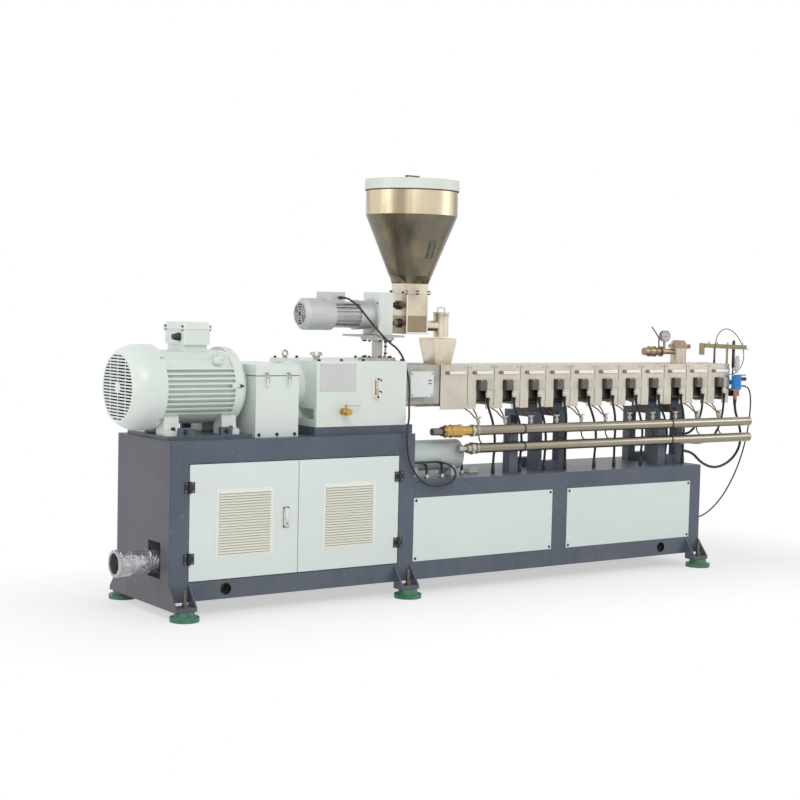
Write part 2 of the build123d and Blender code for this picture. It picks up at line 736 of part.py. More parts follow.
with BuildPart() as levelling_bolts:
    for x, y, side in foot_places:
        with BuildSketch(Plane.XY.offset(MOUNT_HEIGHT)):
            with Locations((x, y)):
                Circle(FOOT_BOLT / 2)
        extrude(amount=FOOT_BOLT_LENGTH)
        with BuildSketch(Plane.XY.offset(MOUNT_HEIGHT + BRACKET_PLATE)):
            with Locations((x, y)):
                RegularPolygon(FOOT_BOLT * 0.86, 6)
        extrude(amount=FOOT_BOLT * 0.8)
save(levelling_bolts, "levelling_bolts")

with BuildPart() as vibration_mounts:
    for x, y, side in foot_places:
        with BuildSketch():
            with Locations((x, y)):
                Circle(MOUNT_DIAMETER / 2)
        extrude(amount=MOUNT_RIM)
        with BuildSketch(Plane.XY.offset(MOUNT_RIM)):
            with Locations((x, y)):
                Circle(MOUNT_CAP_DIAMETER / 2)
        extrude(amount=MOUNT_HEIGHT - MOUNT_RIM, taper=12)
save(vibration_mounts, "vibration_mounts")


# Doors: folded pans with a louvred vent, hung on outside hinges
def door_pan(start, end):
    """Door leaf folded from sheet, open behind, with the window of its vent."""
    with BuildSketch(side_plane(FRONT)) as leaf:
        with Locations((along((start + end) / 2), (DOOR_BOTTOM + DOOR_TOP) / 2)):
            Rectangle(end - start, DOOR_TOP - DOOR_BOTTOM)
    extrude(leaf.sketch, amount=-DOOR_DEPTH)
    with BuildSketch(side_plane(FRONT + DOOR_SHEET)) as hollow:
        with Locations((along((start + end) / 2), (DOOR_BOTTOM + DOOR_TOP) / 2)):
            Rectangle(end - start - 2 * DOOR_SHEET, DOOR_TOP - DOOR_BOTTOM - 2 * DOOR_SHEET)
    extrude(hollow.sketch, amount=-DOOR_DEPTH, mode=Mode.SUBTRACT)
    with BuildSketch(side_plane(FRONT)) as window:
        with Locations((along((start + end) / 2), VENT_BOTTOM + VENT_HEIGHT / 2)):
            Rectangle(VENT_WIDTH - 2 * VENT_BORDER, VENT_HEIGHT - 2 * VENT_BORDER)
    extrude(window.sketch, amount=-DOOR_DEPTH, mode=Mode.SUBTRACT)


def louvred_vent(start, end):
    """Pressed vent sheet: one row of hooded slots above another."""
    pitch = (VENT_HEIGHT - 2 * VENT_BORDER) / LOUVRE_COUNT
    slot_width = VENT_WIDTH - 2 * VENT_BORDER - 8
    middle = along((start + end) / 2)
    rows = [VENT_BOTTOM + VENT_BORDER + pitch * (row + 0.5) for row in range(LOUVRE_COUNT)]
    with BuildSketch(side_plane(FRONT)) as sheet:
        with Locations((middle, VENT_BOTTOM + VENT_HEIGHT / 2)):
            Rectangle(VENT_WIDTH, VENT_HEIGHT)
        with Locations([(middle, z - pitch * 0.12) for z in rows]):
            Rectangle(slot_width, pitch * 0.4, mode=Mode.SUBTRACT)
    extrude(sheet.sketch, amount=VENT_SHEET)
    for z in rows:
        with BuildSketch(Plane.YZ.offset(middle - slot_width / 2)) as hood:
            with BuildLine():
                Polyline(
                    (FRONT - VENT_SHEET, z + pitch * 0.42),
                    (FRONT - VENT_SHEET - LOUVRE_PROUD, z - pitch * 0.1),
                    (FRONT - VENT_SHEET - LOUVRE_PROUD, z - pitch * 0.24),
                    (FRONT - VENT_SHEET, z + pitch * 0.14),
                    close=True,
                )
            make_face()
        extrude(hood.sketch, amount=slot_width)


hinge_y = FRONT - HINGE_KNUCKLE / 2
left_hinge_x = along(DOOR_LEFT_START - DOOR_GAP / 2)
right_hinge_x = along(DOOR_RIGHT_END + DOOR_GAP / 2)
knuckle_share = HINGE_HEIGHT / 3


def hinge_leaf(hinge_x, direction):
    """Flat hinge leaf lying on the door or frame, from the knuckle outward."""
    for z in HINGE_Z:
        with BuildSketch(side_plane(FRONT)) as leaf:
            with Locations((hinge_x + direction * (HINGE_KNUCKLE + HINGE_LEAF + 1) / 2, z)):
                Rectangle(HINGE_LEAF, HINGE_HEIGHT - 2)
        extrude(leaf.sketch, amount=HINGE_SHEET)


def knuckle(hinge_x, direction, z, height):
    """Hinge knuckle around the pin, with the web that joins it to its leaf."""
    with BuildSketch(Plane.XY.offset(z)) as section:
        with Locations((hinge_x, hinge_y)):
            Circle(HINGE_KNUCKLE / 2 - TOUCH)
        with Locations((hinge_x + direction * HINGE_KNUCKLE / 3, FRONT - HINGE_SHEET / 2 - TOUCH / 2)):
            Rectangle(HINGE_KNUCKLE * 2 / 3, HINGE_SHEET - TOUCH)
        with Locations((hinge_x, hinge_y)):
            Circle(HINGE_PIN / 2 + HINGE_PLAY, mode=Mode.SUBTRACT)
    extrude(section.sketch, amount=height)


with BuildPart() as hinge_frame_leaves:
    for hinge_x, direction in ((left_hinge_x, -1), (right_hinge_x, 1)):
        hinge_leaf(hinge_x, direction)
        for z in HINGE_Z:
            for low in (z - HINGE_HEIGHT / 2, z + HINGE_HEIGHT / 2 - knuckle_share + 1):
                knuckle(hinge_x, direction, low, knuckle_share - 1)
            with Locations((hinge_x, hinge_y, z)):
                Cylinder(HINGE_PIN / 2, HINGE_HEIGHT + 2)
            for cap_z in (z - HINGE_HEIGHT / 2 - 2, z + HINGE_HEIGHT / 2):
                with BuildSketch(Plane.XY.offset(cap_z)):
                    with Locations((hinge_x, hinge_y)):
                        Circle(HINGE_KNUCKLE / 2 - TOUCH)
                extrude(amount=2)
save(hinge_frame_leaves, "hinge_frame_leaves")

with BuildPart() as door_left:
    door_pan(DOOR_LEFT_START, DOOR_SPLIT - DOOR_GAP / 2)
save(door_left, "door_left")

with BuildPart() as door_left_vent:
    louvred_vent(DOOR_LEFT_START, DOOR_SPLIT - DOOR_GAP / 2)
save(door_left_vent, "door_left_vent")

with BuildPart() as door_left_fittings:
    hinge_leaf(left_hinge_x, 1)
    for z in HINGE_Z:
        knuckle(left_hinge_x, 1, z - knuckle_share / 2 + 1, knuckle_share - 2)
    with BuildSketch(Plane.XZ.offset(-FRONT)):
        with Locations((along(HANDLE_X), HANDLE_Z)):
            SlotOverall(HANDLE_HEIGHT, HANDLE_WIDTH, rotation=90)
    extrude(amount=HANDLE_DEPTH, taper=12)
    with BuildSketch(Plane.XZ.offset(-FRONT + HANDLE_DEPTH)):
        with Locations((along(HANDLE_X), HANDLE_Z + HANDLE_HEIGHT / 8)):
            SlotOverall(HANDLE_HEIGHT / 2, HANDLE_WIDTH / 3, rotation=90)
    extrude(amount=-HANDLE_DEPTH / 2, mode=Mode.SUBTRACT)
save(door_left_fittings, "door_left_fittings")

with BuildPart() as door_right:
    door_pan(DOOR_SPLIT + DOOR_GAP / 2, DOOR_RIGHT_END)
save(door_right, "door_right")

with BuildPart() as door_right_vent:
    louvred_vent(DOOR_SPLIT + DOOR_GAP / 2, DOOR_RIGHT_END)
save(door_right_vent, "door_right_vent")

with BuildPart() as door_right_fittings:
    hinge_leaf(right_hinge_x, -1)
    for z in HINGE_Z:
        knuckle(right_hinge_x, -1, z - knuckle_share / 2 + 1, knuckle_share - 2)
save(door_right_fittings, "door_right_fittings")

# Air duct: foil-wrapped pipe through the end plate, with the collar of its hose
with BuildPart() as duct_stub:
    with BuildSketch(end_plane(-DUCT_LENGTH)):
        with Locations((DUCT_Y, DUCT_Z)):
            Circle(DUCT_DIAMETER / 2)
    extrude(amount=DUCT_LENGTH + END_PLATE + TUBE_DEPTH)
    with BuildSketch(end_plane(-DUCT_REACH)):
        with Locations((DUCT_Y, DUCT_Z)):
            Circle(DUCT_COLLAR / 2)
    extrude(amount=DUCT_REACH - DUCT_LENGTH)
    with BuildSketch(end_plane(-DUCT_REACH)):
        with Locations((DUCT_Y, DUCT_Z)):
            Circle(DUCT_DIAMETER / 2 - DUCT_WALL)
    extrude(amount=DUCT_REACH + END_PLATE + TUBE_DEPTH, mode=Mode.SUBTRACT)
save(duct_stub, "duct_stub")

# Motor base plate with its four jacking blocks, and the plinth under the gearbox
with BuildPart() as drive_bases:
    with BuildSketch(Plane.XY.offset(HIGH_TOP)):
        with Locations((along(MOTOR_BASE_START + MOTOR_BASE_LENGTH / 2), 0)):
            Rectangle(MOTOR_BASE_LENGTH, MOTOR_BASE_WIDTH)
    extrude(amount=MOTOR_BASE)
    for x in JACK_STATIONS:
        for side in (-1, 1):
            block_y = side * (MOTOR_BASE_WIDTH / 2 - JACK_DEPTH / 2)
            with Locations((along(x), block_y, HIGH_TOP + MOTOR_BASE + JACK_HEIGHT / 2)):
                Box(JACK_WIDTH, JACK_DEPTH, JACK_HEIGHT)
    with BuildSketch(Plane.XY.offset(HIGH_TOP)):
        with Locations((along((PLINTH_START + PLINTH_END) / 2), 0)):
            Rectangle(PLINTH_END - PLINTH_START, GEARBOX_WIDTH)
    extrude(amount=PLINTH_TOP - HIGH_TOP)
save(drive_bases, "drive_bases")


# Main motor: finned body on cast feet, with four lugs that the fan cowl is screwed to
def motor_fins():
    """Flat cooling fins on both flanks, cut round to the body's outside."""
    fin_length = FINNED_END - FINNED_START
    first = -FIN_PITCH * (FIN_COUNT / 2)
    heights = [first + FIN_PITCH * row for row in range(FIN_COUNT)]
    with BuildSketch(end_plane(FINNED_START)) as fins:
        with Locations([(0, MOTOR_AXIS_Z + height) for height in heights]):
            Rectangle(2 * FIN_RADIUS, FIN_THICKNESS)
        with Locations((0, MOTOR_AXIS_Z)):
            Circle(FIN_RADIUS, mode=Mode.INTERSECT)
    extrude(fins.sketch, amount=fin_length)


foot_bottom = HIGH_TOP + MOTOR_BASE
with BuildPart() as motor_body:
    with BuildSketch(end_plane(FINNED_START)):
        with Locations((0, MOTOR_AXIS_Z)):
            Circle(CORE_RADIUS)
        with Locations((0, MOTOR_AXIS_Z + SADDLE_RISE / 2)):
            Rectangle(SADDLE_WIDTH, SADDLE_RISE)
        with Locations((0, MOTOR_AXIS_Z)):
            Circle(FIN_RADIUS, mode=Mode.INTERSECT)
    extrude(amount=FINNED_END - FINNED_START)
    with BuildSketch(end_plane(FINNED_END)):
        with Locations((0, MOTOR_AXIS_Z)):
            Circle(SHIELD_RADIUS)
    extrude(amount=BODY_END - FINNED_END)
    motor_fins()
    with BuildSketch(end_plane(FINNED_START)):
        with Locations((0, MOTOR_AXIS_Z)):
            Circle(COWL_RADIUS - COWL_SHEET - TOUCH)
            Circle(CORE_RADIUS - COWL_LUG_LENGTH, mode=Mode.SUBTRACT)
        with Locations((0, MOTOR_AXIS_Z)):
            Rectangle(2 * COWL_RADIUS, COWL_LUG_WIDTH, rotation=45, mode=Mode.INTERSECT)
    extrude(amount=-COWL_LUG_LENGTH)
    with BuildSketch(end_plane(FINNED_START)):
        with Locations((0, MOTOR_AXIS_Z)):
            Circle(COWL_RADIUS - COWL_SHEET - TOUCH)
            Circle(CORE_RADIUS - COWL_LUG_LENGTH, mode=Mode.SUBTRACT)
        with Locations((0, MOTOR_AXIS_Z)):
            Rectangle(2 * COWL_RADIUS, COWL_LUG_WIDTH, rotation=-45, mode=Mode.INTERSECT)
    extrude(amount=-COWL_LUG_LENGTH)
    with BuildSketch(Plane.XY.offset(TERMINAL_BOX_BOTTOM)):
        with Locations((along(TERMINAL_BOX_START + TERMINAL_BOX_LENGTH / 2), 0)):
            Rectangle(TERMINAL_BOX_LENGTH - 16, TERMINAL_BOX_WIDTH - 50)
    extrude(amount=MOTOR_AXIS_Z - TERMINAL_BOX_BOTTOM)
    for start in MOTOR_FOOT_STARTS:
        for side in (-1, 1):
            with BuildSketch(end_plane(start)):
                with BuildLine():
                    Polyline(
                        (side * MOTOR_FOOT_INNER, foot_bottom),
                        (side * MOTOR_FOOT_REACH, foot_bottom),
                        (side * MOTOR_FOOT_REACH, foot_bottom + MOTOR_FOOT_THICKNESS),
                        (side * (MOTOR_FOOT_REACH - 38), foot_bottom + MOTOR_FOOT_THICKNESS + 8),
                        (side * (MOTOR_FOOT_REACH - 50), MOTOR_AXIS_Z - 100),
                        (side * MOTOR_FOOT_INNER, MOTOR_AXIS_Z - 100),
                        close=True,
                    )
                make_face()
            extrude(amount=MOTOR_FOOT_LENGTH)
save(motor_body, "motor_body")

# Fan cowl: spun sheet that narrows to the inlet grille
motor_axis = Axis((0, 0, MOTOR_AXIS_Z), (1, 0, 0))
cowl_shoulder = FINNED_START - COWL_SHOULDER
with BuildPart() as motor_fan_cowl:
    with BuildSketch(Plane.XZ):
        with BuildLine():
            outer_arc = ThreePointArc(
                (along(-COWL_REACH), MOTOR_AXIS_Z + COWL_MOUTH_RADIUS),
                (along(-COWL_REACH + 38), MOTOR_AXIS_Z + COWL_MOUTH_RADIUS + 28),
                (along(cowl_shoulder), MOTOR_AXIS_Z + COWL_RADIUS),
            )
            Line(outer_arc @ 1, (along(FINNED_START), MOTOR_AXIS_Z + COWL_RADIUS))
            Polyline(
                (along(FINNED_START), MOTOR_AXIS_Z + COWL_RADIUS),
                (along(FINNED_START), MOTOR_AXIS_Z),
                (along(-COWL_REACH), MOTOR_AXIS_Z),
                outer_arc @ 0,
            )
        make_face()
    revolve(axis=motor_axis)
    with BuildSketch(Plane.XZ):
        with BuildLine():
            inner_arc = ThreePointArc(
                (along(-COWL_REACH + COWL_SHEET), MOTOR_AXIS_Z + COWL_MOUTH_RADIUS - COWL_SHEET),
                (along(-COWL_REACH + 40), MOTOR_AXIS_Z + COWL_MOUTH_RADIUS + 28 - COWL_SHEET),
                (along(cowl_shoulder), MOTOR_AXIS_Z + COWL_RADIUS - COWL_SHEET),
            )
            Line(inner_arc @ 1, (along(FINNED_START), MOTOR_AXIS_Z + COWL_RADIUS - COWL_SHEET))
            Polyline(
                (along(FINNED_START), MOTOR_AXIS_Z + COWL_RADIUS - COWL_SHEET),
                (along(FINNED_START), MOTOR_AXIS_Z),
                (along(-COWL_REACH + COWL_SHEET), MOTOR_AXIS_Z),
                inner_arc @ 0,
            )
        make_face()
    revolve(axis=motor_axis, mode=Mode.SUBTRACT)
    grille_pitch = 2 * (COWL_MOUTH_RADIUS - GRILLE_BORDER) / GRILLE_ROWS
    with BuildSketch(end_plane(-COWL_REACH)):
        for row in range(GRILLE_ROWS):
            height = grille_pitch * (row - (GRILLE_ROWS - 1) / 2)
            with Locations((0, MOTOR_AXIS_Z + height)):
                Rectangle(2 * COWL_MOUTH_RADIUS, grille_pitch * 0.5)
        with Locations((0, MOTOR_AXIS_Z)):
            Circle(COWL_MOUTH_RADIUS - GRILLE_BORDER, mode=Mode.INTERSECT)
            Circle(GRILLE_HUB, mode=Mode.SUBTRACT)
            Rectangle(GRILLE_WEB, 2 * COWL_MOUTH_RADIUS, mode=Mode.SUBTRACT)
        with Locations((-COWL_MOUTH_RADIUS / 2, MOTOR_AXIS_Z), (COWL_MOUTH_RADIUS / 2, MOTOR_AXIS_Z)):
            Rectangle(GRILLE_WEB, 2 * COWL_MOUTH_RADIUS, mode=Mode.SUBTRACT)
    extrude(amount=COWL_SHEET, mode=Mode.SUBTRACT)
save(motor_fan_cowl, "motor_fan_cowl")

# End shield: domed casting between the fins and the shaft
with BuildPart() as motor_end_shield:
    with BuildSketch(Plane.XZ):
        with BuildLine():
            shield_start = along(BODY_END)
            Polyline(
                (along(SHIELD_END), MOTOR_AXIS_Z),
                (shield_start, MOTOR_AXIS_Z),
                (shield_start, MOTOR_AXIS_Z + SHIELD_RADIUS),
                (along(BODY_END + SHIELD_RIM), MOTOR_AXIS_Z + SHIELD_RADIUS),
            )
            ThreePointArc(
                (along(BODY_END + SHIELD_RIM), MOTOR_AXIS_Z + SHIELD_RADIUS),
                (along(SHIELD_END - 20), MOTOR_AXIS_Z + SHIELD_RADIUS * 0.8),
                (along(SHIELD_END), MOTOR_AXIS_Z + SHIELD_RADIUS * 0.45),
            )
            Line(
                (along(SHIELD_END), MOTOR_AXIS_Z + SHIELD_RADIUS * 0.45),
                (along(SHIELD_END), MOTOR_AXIS_Z),
            )
        make_face()
    revolve(axis=motor_axis)
save(motor_end_shield, "motor_end_shield")

# Terminal box with its raised lid
with BuildPart() as terminal_box:
    box_x = along(TERMINAL_BOX_START + TERMINAL_BOX_LENGTH / 2)
    with BuildSketch(Plane.XY.offset(TERMINAL_BOX_BOTTOM)):
        with Locations((box_x, 0)):
            RectangleRounded(TERMINAL_BOX_LENGTH, TERMINAL_BOX_WIDTH, 14)
    extrude(amount=TERMINAL_BOX_TOP - TERMINAL_BOX_BOTTOM - TERMINAL_LID)
    with BuildSketch(Plane.XY.offset(TERMINAL_BOX_TOP - TERMINAL_LID)):
        with Locations((box_x, 0)):
            RectangleRounded(TERMINAL_BOX_LENGTH + 8, TERMINAL_BOX_WIDTH + 8, 16)
    extrude(amount=TERMINAL_LID, taper=14)
    gland_z = (TERMINAL_BOX_BOTTOM + TERMINAL_BOX_TOP - TERMINAL_LID) / 2
    with BuildSketch(end_plane(TERMINAL_BOX_START)):
        with Locations((-TERMINAL_BOX_WIDTH / 4, gland_z)):
            Circle(TERMINAL_GLAND_RADIUS)
    extrude(amount=-TERMINAL_GLAND_LENGTH, taper=12)
save(terminal_box, "terminal_box")

# Coupling guard: folded box, open below, with a shaft hole in each end, hinge knuckles
# behind and two latches in front
guard_length = GUARD_END - GUARD_START
guard_x = along((GUARD_START + GUARD_END) / 2)
guard_hinge_y = GUARD_WIDTH / 2 + GUARD_KNUCKLE / 2 + 1 + TOUCH
guard_hinge_z = GUARD_LID_Z


def guard_knuckles(station, places, fold):
    """Hinge knuckles of one station, joined downward to the box or upward to the lid."""
    share = GUARD_KNUCKLE_LENGTH / 3
    for place in places:
        start = GUARD_START + station + place * share - share / 2 + 0.5
        web_z = guard_hinge_z + fold * GUARD_KNUCKLE / 2
        with BuildSketch(end_plane(start)) as section:
            with Locations((guard_hinge_y, guard_hinge_z)):
                Circle(GUARD_KNUCKLE / 2)
            with Locations((guard_hinge_y - GUARD_KNUCKLE / 4 - 0.5, web_z)):
                Rectangle(GUARD_KNUCKLE / 2 + 1, GUARD_KNUCKLE)
            with Locations((guard_hinge_y, guard_hinge_z)):
                Circle(GUARD_HINGE_PIN / 2 + HINGE_PLAY, mode=Mode.SUBTRACT)
        extrude(section.sketch, amount=share - 1)


with BuildPart() as coupling_guard:
    with BuildSketch(Plane.XY.offset(HIGH_TOP)):
        with Locations((guard_x, 0)):
            Rectangle(guard_length, GUARD_WIDTH)
            Rectangle(guard_length - 2 * GUARD_SHEET, GUARD_WIDTH - 2 * GUARD_SHEET, mode=Mode.SUBTRACT)
    extrude(amount=GUARD_LID_Z - TOUCH - HIGH_TOP)
    with BuildSketch(end_plane(GUARD_START - 1)):
        with Locations((0, MOTOR_AXIS_Z)):
            Circle(GUARD_SHAFT_HOLE / 2)
        with Locations((0, MOTOR_AXIS_Z + 100)):
            Rectangle(GUARD_SHAFT_HOLE, 200)
    extrude(amount=guard_length + 2, mode=Mode.SUBTRACT)
    for station in GUARD_HINGE_STATIONS:
        guard_knuckles(station, (-1, 1), -1)
        with BuildSketch(end_plane(GUARD_START + station - GUARD_KNUCKLE_LENGTH / 2)):
            with Locations((guard_hinge_y, guard_hinge_z)):
                Circle(GUARD_HINGE_PIN / 2)
        extrude(amount=GUARD_KNUCKLE_LENGTH)
    for station in LATCH_STATIONS:
        latch_z = GUARD_LID_Z - TOUCH - LATCH_HEIGHT / 2
        with Locations((along(GUARD_START + station), -(GUARD_WIDTH + LATCH_DEPTH) / 2, latch_z)):
            Box(LATCH_WIDTH, LATCH_DEPTH, LATCH_HEIGHT)
save(coupling_guard, "coupling_guard")

with BuildPart() as guard_lid:
    with BuildSketch(Plane.XY.offset(GUARD_LID_Z)):
        with Locations((guard_x, 0)):
            Rectangle(guard_length + 2, GUARD_WIDTH + 2)
    extrude(amount=GUARD_TOP - GUARD_LID_Z)
    with BuildSketch(Plane.XY.offset(GUARD_LID_Z)):
        with Locations((guard_x, 0)):
            Rectangle(guard_length + 2 - 2 * GUARD_SHEET, GUARD_WIDTH + 2 - 2 * GUARD_SHEET)
    extrude(amount=GUARD_TOP - GUARD_LID_Z - GUARD_SHEET, mode=Mode.SUBTRACT)
    for station in GUARD_HINGE_STATIONS:
        guard_knuckles(station, (0,), 1)
    for station in LATCH_STATIONS:
        hook_y = -(GUARD_WIDTH + 2) / 2 - LATCH_DEPTH / 4
        with Locations((along(GUARD_START + station), hook_y, GUARD_LID_Z + LATCH_HEIGHT / 6)):
            Box(LATCH_WIDTH * 0.7, LATCH_DEPTH / 2, LATCH_HEIGHT / 3)
save(guard_lid, "guard_lid")

# Flexible coupling on the motor and gearbox shafts
with BuildPart() as shaft_coupling:
    with BuildSketch(Plane.XZ):
        with BuildLine():
            hub_start = (GUARD_START + GUARD_END) / 2 - HUB_LENGTH
            hub_end = (GUARD_START + GUARD_END) / 2 + HUB_LENGTH
            Polyline(
                (along(SHIELD_END + TOUCH), MOTOR_AXIS_Z),
                (along(SHIELD_END + TOUCH), MOTOR_AXIS_Z + SHAFT_RADIUS),
                (along(hub_start), MOTOR_AXIS_Z + SHAFT_RADIUS),
                (along(hub_start), MOTOR_AXIS_Z + HUB_NECK_RADIUS),
                (along(hub_start + HUB_NECK_LENGTH), MOTOR_AXIS_Z + HUB_NECK_RADIUS),
                (along(hub_start + HUB_NECK_LENGTH), MOTOR_AXIS_Z + HUB_RADIUS),
                (along(hub_end - HUB_NECK_LENGTH), MOTOR_AXIS_Z + HUB_RADIUS),
                (along(hub_end - HUB_NECK_LENGTH), MOTOR_AXIS_Z + HUB_NECK_RADIUS),
                (along(hub_end), MOTOR_AXIS_Z + HUB_NECK_RADIUS),
                (along(hub_end), MOTOR_AXIS_Z + SHAFT_RADIUS),
                (along(INPUT_BOSS_START - TOUCH), MOTOR_AXIS_Z + SHAFT_RADIUS),
                (along(INPUT_BOSS_START - TOUCH), MOTOR_AXIS_Z),
                close=True,
            )
        make_face()
    revolve(axis=motor_axis)
save(shaft_coupling, "shaft_coupling")

# Gearbox with the input boss towards the motor
with BuildPart() as gearbox_housing:
    with BuildSketch(Plane.XY.offset(PLINTH_TOP)):
        with Locations((along((GEARBOX_START + GEARBOX_END) / 2), 0)):
            Rectangle(GEARBOX_END - GEARBOX_START, GEARBOX_WIDTH)
    extrude(amount=GEARBOX_TOP - PLINTH_TOP)
    fillet(gearbox_housing.edges().filter_by(Axis.Z), GEARBOX_CORNER)
    with BuildSketch(end_plane(INPUT_BOSS_START)):
        with Locations((0, MOTOR_AXIS_Z)):
            Circle(INPUT_BOSS_RADIUS)
    extrude(amount=GEARBOX_START - INPUT_BOSS_START)
    with BuildSketch(end_plane(GEARBOX_START)):
        with Locations((POCKET_Y, PLINTH_TOP + POCKET_RISE)):
            Rectangle(POCKET_WIDTH, POCKET_HEIGHT)
    extrude(amount=POCKET_DEPTH, mode=Mode.SUBTRACT)
save(gearbox_housing, "gearbox_housing")


def lifting_eye(x, y, z):
    """Ring bolt standing on a face at height z."""
    with BuildSketch(Plane.XY.offset(z)) as collar:
        with Locations((x, y)):
            Circle(EYE_RING * 0.8)
    extrude(collar.sketch, amount=EYE_BAR + 2)
    with Locations((x, y, z + EYE_RING + 2 * EYE_BAR)):
        Torus(EYE_RING, EYE_BAR, rotation=(90, 0, 0))


# Small fittings on the drive: lifting eyes, breather and oil gauge
with BuildPart() as drive_fittings:
    lifting_eye(along(GEARBOX_START + EYE_STATION), EYE_Y, GEARBOX_TOP)
    with BuildSketch(Plane.XY.offset(GEARBOX_TOP)):
        with Locations((along(BREATHER_X), BREATHER_Y)):
            Circle(BREATHER_NECK)
    extrude(amount=BREATHER_NECK)
    with BuildSketch(Plane.XY.offset(GEARBOX_TOP + BREATHER_NECK)):
        with Locations((along(BREATHER_X), BREATHER_Y)):
            RegularPolygon(BREATHER_NECK * 1.5, 8)
    extrude(amount=BREATHER_HEIGHT / 2)
    with BuildSketch(Plane.XY.offset(GEARBOX_TOP + BREATHER_NECK + BREATHER_HEIGHT / 2)):
        with Locations((along(BREATHER_X), BREATHER_Y)):
            Circle(BREATHER_RADIUS)
    extrude(amount=BREATHER_HEIGHT, taper=20)
    with BuildSketch(Plane.XZ.offset(GEARBOX_WIDTH / 2)):
        with Locations((along(GAUGE_X), GAUGE_Z)):
            Rectangle(GAUGE_WIDTH, GAUGE_HEIGHT)
    extrude(amount=GAUGE_DEPTH)
    with BuildSketch(Plane.XZ.offset(GEARBOX_WIDTH / 2 + GAUGE_DEPTH)):
        with Locations((along(GAUGE_X), GAUGE_Z)):
            Rectangle(GAUGE_WIDTH, GAUGE_GLASS_HEIGHT)
    extrude(amount=-GAUGE_GLASS_DEPTH, mode=Mode.SUBTRACT)
save(drive_fittings, "drive_fittings")

# Oil drain: brass ball valve and its quarter-turn lever
valve_y = -GEARBOX_WIDTH / 2
stem_y = valve_y - DRAIN_REACH
with BuildPart() as drain_valve:
    with BuildSketch(Plane.XZ.offset(-valve_y)):
        with Locations((along(DRAIN_X), DRAIN_Z)):
            RegularPolygon(DRAIN_NUT, 6)
    extrude(amount=DRAIN_NUT * 0.8)
    with BuildSketch(Plane.XZ.offset(-valve_y)):
        with Locations((along(DRAIN_X), DRAIN_Z)):
            Circle(DRAIN_PIPE_RADIUS)
    extrude(amount=DRAIN_REACH * 2 - DRAIN_NUT * 0.6)
    with Locations((along(DRAIN_X), stem_y, DRAIN_Z)):
        Sphere(DRAIN_BALL_RADIUS)
    with BuildSketch(Plane.XZ.offset(-stem_y + DRAIN_REACH - DRAIN_NUT * 0.9)):
        with Locations((along(DRAIN_X), DRAIN_Z)):
            RegularPolygon(DRAIN_NUT, 6)
    extrude(amount=DRAIN_NUT * 0.7)
    with Locations((along(DRAIN_X), stem_y, DRAIN_Z + DRAIN_STEM_RISE / 2)):
        Cylinder(DRAIN_STEM_RADIUS, DRAIN_STEM_RISE)
save(drain_valve, "drain_valve")

lever_z = DRAIN_Z + DRAIN_STEM_RISE + TOUCH
with BuildPart() as drain_lever:
    with BuildSketch(Plane.XY.offset(lever_z)):
        with Locations((along(DRAIN_X), stem_y)):
            Circle(LEVER_HUB_RADIUS)
        with Locations((along(DRAIN_X + (LEVER_LENGTH - LEVER_WIDTH) / 2), stem_y)):
            SlotOverall(LEVER_LENGTH, LEVER_WIDTH)
    extrude(amount=LEVER_SHEET)
    with BuildSketch(Plane.XY.offset(lever_z + LEVER_SHEET)):
        with Locations((along(DRAIN_X), stem_y)):
            RegularPolygon(LEVER_HUB_RADIUS * 0.7, 6)
    extrude(amount=LEVER_HUB_RADIUS / 2)
save(drain_lever, "drain_lever")

# Adapter casting between gearbox and barrel, and the plain guard in front of it
with BuildPart() as adapter_lantern:
    with BuildSketch(end_plane(GEARBOX_END)):
        with Locations((0, (LANTERN_BOTTOM + LANTERN_TOP) / 2)):
            RectangleRounded(LANTERN_WIDTH, LANTERN_TOP - LANTERN_BOTTOM, LANTERN_CORNER)
    extrude(amount=LANTERN_END - GEARBOX_END)
    with BuildSketch(Plane.XZ.offset(LANTERN_WIDTH / 2)):
        with Locations((along(SIGN_GUARD_START + SIGN_GUARD_LENGTH / 2), BARREL_AXIS_Z + SIGN_GUARD_RISE)):
            Rectangle(LANTERN_WINDOW_WIDTH, LANTERN_WINDOW_HEIGHT)
    extrude(amount=-LANTERN_WINDOW_DEPTH, mode=Mode.SUBTRACT)
save(adapter_lantern, "adapter_lantern")

sign_guard_x = along(SIGN_GUARD_START + SIGN_GUARD_LENGTH / 2)
sign_guard_z = BARREL_AXIS_Z + SIGN_GUARD_RISE
with BuildPart() as adapter_guard:
    with BuildSketch(Plane.XZ.offset(LANTERN_WIDTH / 2)):
        with Locations((sign_guard_x, sign_guard_z)):
            Rectangle(SIGN_GUARD_LENGTH, SIGN_GUARD_HEIGHT)
    extrude(amount=SIGN_GUARD_DEPTH)
    with BuildSketch(Plane.XZ.offset(LANTERN_WIDTH / 2)):
        with Locations((sign_guard_x, sign_guard_z)):
            Rectangle(SIGN_GUARD_LENGTH - 2 * GUARD_SHEET, SIGN_GUARD_HEIGHT - 2 * GUARD_SHEET)
    extrude(amount=SIGN_GUARD_DEPTH - GUARD_SHEET, mode=Mode.SUBTRACT)
save(adapter_guard, "adapter_guard")

